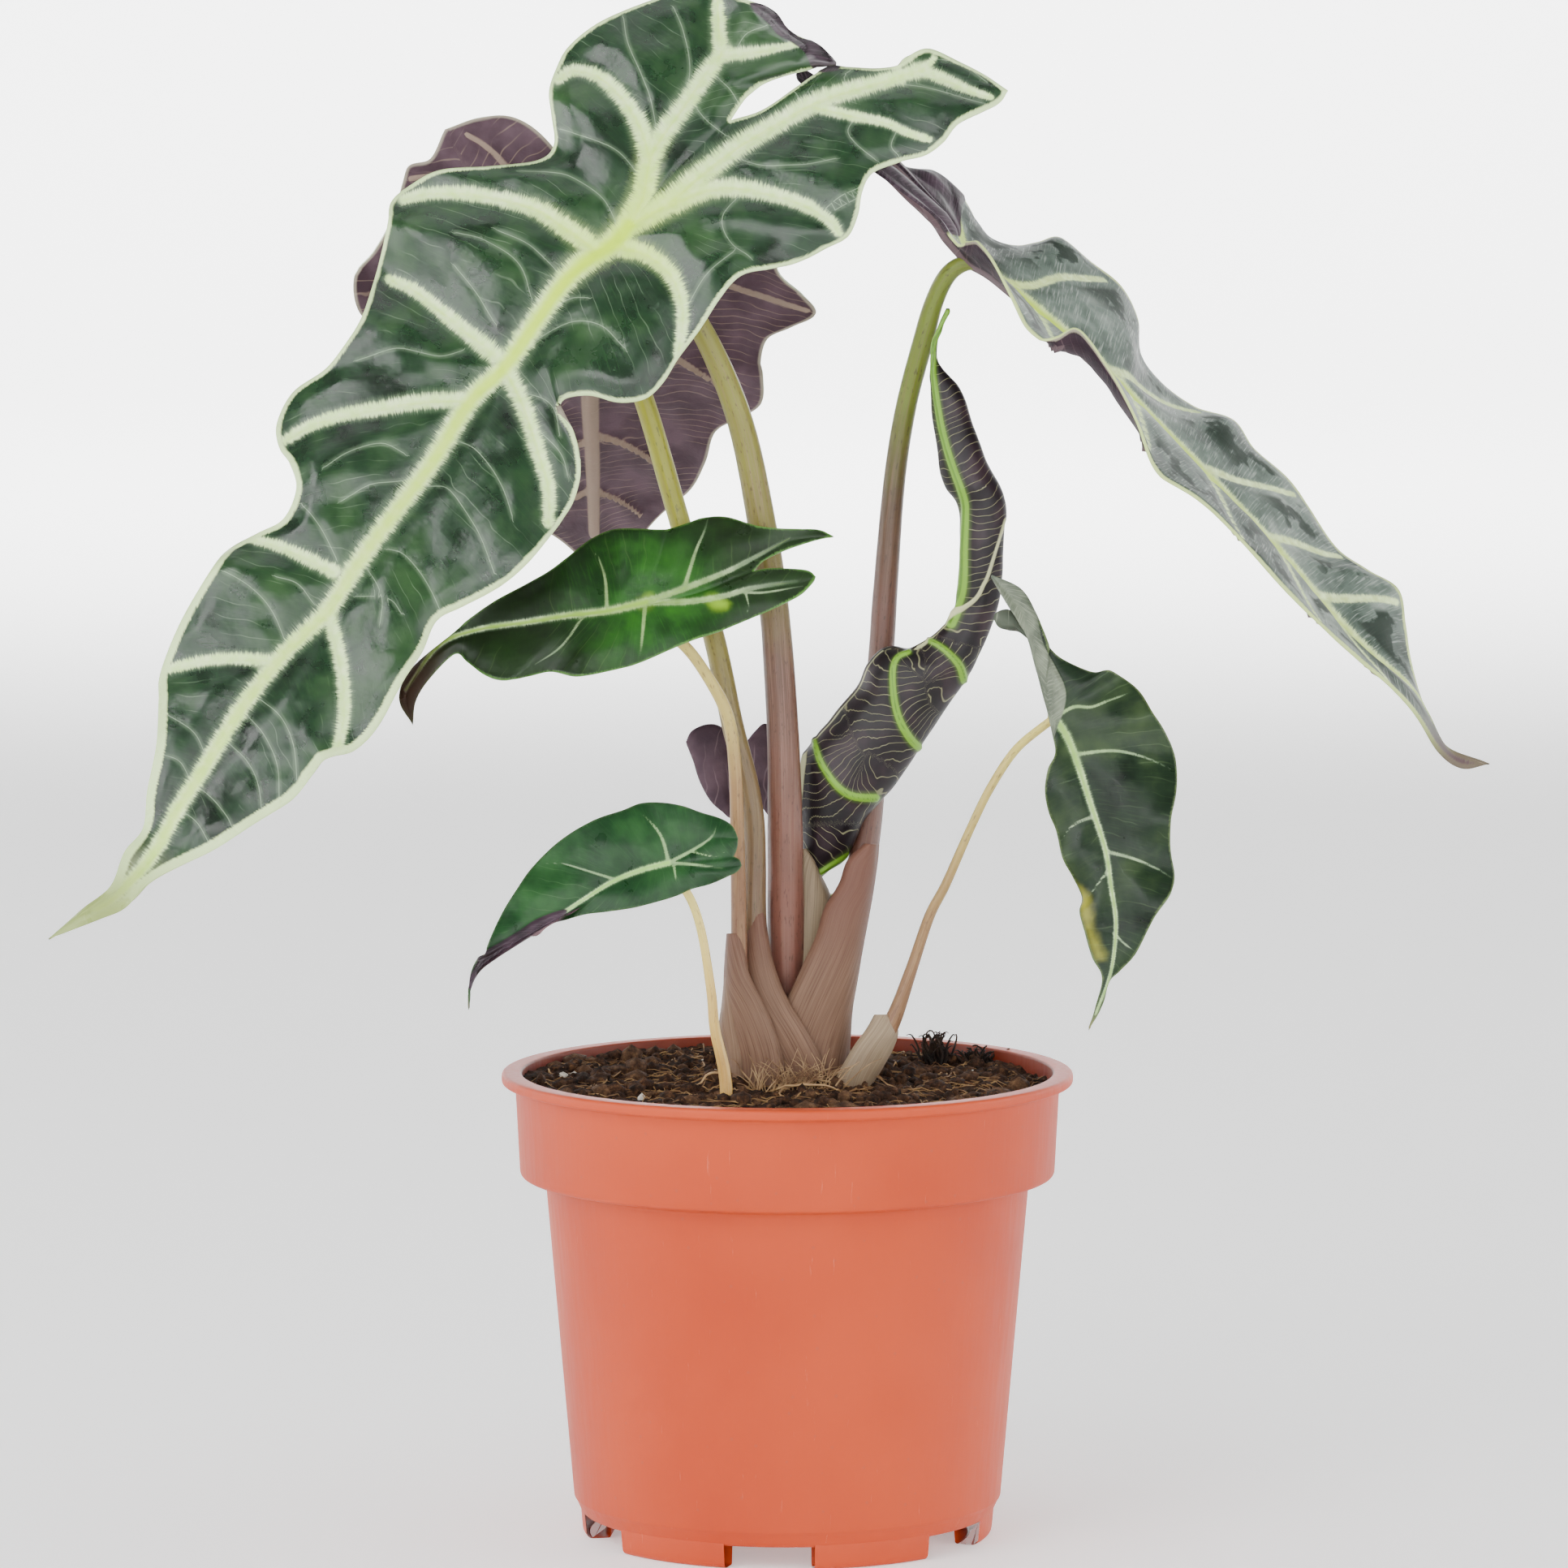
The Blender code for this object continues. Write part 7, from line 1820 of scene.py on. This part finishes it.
sheath_skin = papery("front_sheath_tissue", "#826450", "#50382A", "#4A3226", top="#5E3B30")
pale_sheath = papery("dry_sheath_tissue", "#9C8A70", "#74624D", "#5A4838")
dark_sheath = papery("old_sheath_tissue", "#8A6F58", "#5F4636", "#3E2B20")
add_sheath("sheath_front", FRONT_SHEATH_ROWS, False, sheath_skin, "stalk")
add_sheath("sheath_right", RIGHT_SHEATH_ROWS, True, sheath_skin, "stalk")
add_sheath("sheath_inner", INNER_SHEATH_ROWS, True, pale_sheath, "stalk", thickness=0.3)
add_sheath("sheath_middle", MIDDLE_SHEATH_ROWS, False, sheath_skin, "small_stalk")
add_sheath("sheath_old_left", LEFT_SCALE_ROWS, False, dark_sheath, "small_stalk", thickness=0.35)
add_sheath("sheath_old_right", RIGHT_SCALE_ROWS, True, pale_sheath, "small_stalk", thickness=0.35)

young_skin = young_finish()
lobe_skin = leaf_back("young_lobe_underside", "#58464E", "#382A32", "#8A767A")
young = [add_young_leaf(young_skin)] + add_lobes("young_lobe", YOUNG_LOBES_PX, 6.6, lobe_skin)
young_blade = join("blade_young_skin", young)
stands_for(young_blade, "young_leaf", "blade_young")

add_pot(moulded_polypropylene())

soil_finish = peat("damp_peat", "#150C07", "#301D11", "#5C4029")
add_soil(soil_finish)
add_crumbs("soil_crumbs", soil_finish, 900, 0.5, 2.6)
add_crumbs("soil_bark", peat("composted_bark", "#2A1A11", "#4A3423", "#6B4F36"), 160, 1.0, 3.4)
add_crumbs("soil_perlite", peat("expanded_perlite", "#A8A196", "#CFC8BC", "#E8E3D9"), 14, 0.6, 1.6)
add_fibres("soil_fibres", fibre_finish("coir_fibre", "#5E4028", "#9C7B52"), 420, (0.07, 0.18))
add_fibres("soil_roots", fibre_finish("dry_root", "#7A5E42", "#B69468"), 16, (0.15, 0.34), near=4.0,
           far=22.0, lengths=(8.0, 18.0), lift=2.0)
add_torn_fibres(fibre_finish("torn_sheath_fibre", "#6A4E38", "#B0926C"))
add_sprig(fibre_finish("dark_moss", "#140D09", "#3A281C"))


# Floor, camera and light

def add_floor():
    """A plain pale floor whose far edge curves up into a round studio wall."""
    profile = smooth_line(STUDIO_WALL, 6)
    angles = np.arange(FLOOR_SIDES) * math.tau / FLOOR_SIDES
    points = [(r * math.cos(angle), r * math.sin(angle), max(z, 0.0)) for r, z in profile[1:]
              for angle in angles]
    rings = [range(i * FLOOR_SIDES, (i + 1) * FLOOR_SIDES) for i in range(len(profile) - 1)]
    faces = [tuple(rings[0])]
    for low, high in zip(rings, rings[1:]):
        for k in range(FLOOR_SIDES):
            m = (k + 1) % FLOOR_SIDES
            faces.append((low[k], high[k], high[m], low[m]))
    mesh = bpy.data.meshes.new("floor")
    mesh.from_pydata(points, [], faces)
    mesh.shade_smooth()
    floor = bpy.data.objects.new("floor", mesh)
    bpy.context.scene.collection.objects.link(floor)
    finish, _, shader = new_finish("pale_paper", 0.9, Specular_IOR_Level=0.1)
    shader.inputs["Base Color"].default_value = paint("#FAFAFA")
    shader.inputs["Emission Color"].default_value = paint("#FFFFFF")
    shader.inputs["Emission Strength"].default_value = PAPER_GLOW
    mesh.materials.append(finish)


def add_light(name, place, size, power, target=LAMP_TARGET, spread=180):
    data = bpy.data.lights.new(name, "AREA")
    data.energy = power
    data.size = size
    data.spread = math.radians(spread)
    lamp = bpy.data.objects.new(name, data)
    lamp.location = place
    lamp.rotation_euler = (Vector(target) - Vector(place)).to_track_quat("-Z", "Y").to_euler()
    bpy.context.scene.collection.objects.link(lamp)


add_floor()
for lamp in LAMPS:
    add_light(*lamp)
# Four wide lamps light the studio wall all round and leave the plant to the lamps above
for i, (x, y) in enumerate(((0, 1), (1, 0), (0, -1), (-1, 0))):
    add_light(f"wall_lamp_{i + 1}", (WALL_LAMP_RADIUS * x, WALL_LAMP_RADIUS * y, WALL_LAMP_HEIGHT),
              WALL_LAMP_WIDTH, WALL_LAMP_POWER,
              (WALL_TARGET_RADIUS * x, WALL_TARGET_RADIUS * y, WALL_TARGET_HEIGHT), WALL_LAMP_SPREAD)
world = bpy.data.worlds.new("studio")
world.use_nodes = True
sky = world.node_tree.nodes["Background"].inputs
sky["Color"].default_value = paint("#FFFFFF")
sky["Strength"].default_value = SKY_GLOW
bpy.context.scene.world = world

lens = bpy.data.cameras.new("photo_camera")
lens.sensor_width = SENSOR_WIDTH
lens.lens = SENSOR_WIDTH * PHOTO_FOCAL / PHOTO_SIDE
lens.clip_end = VIEW_REACH
camera = bpy.data.objects.new("photo_camera", lens)
camera.location = (EYE + AXIS) * MM
camera.rotation_euler = (math.pi / 2 - PHOTO_PITCH, 0.0, 0.0)
bpy.context.scene.collection.objects.link(camera)
bpy.context.scene.camera = camera

bpy.context.view_layer.update()
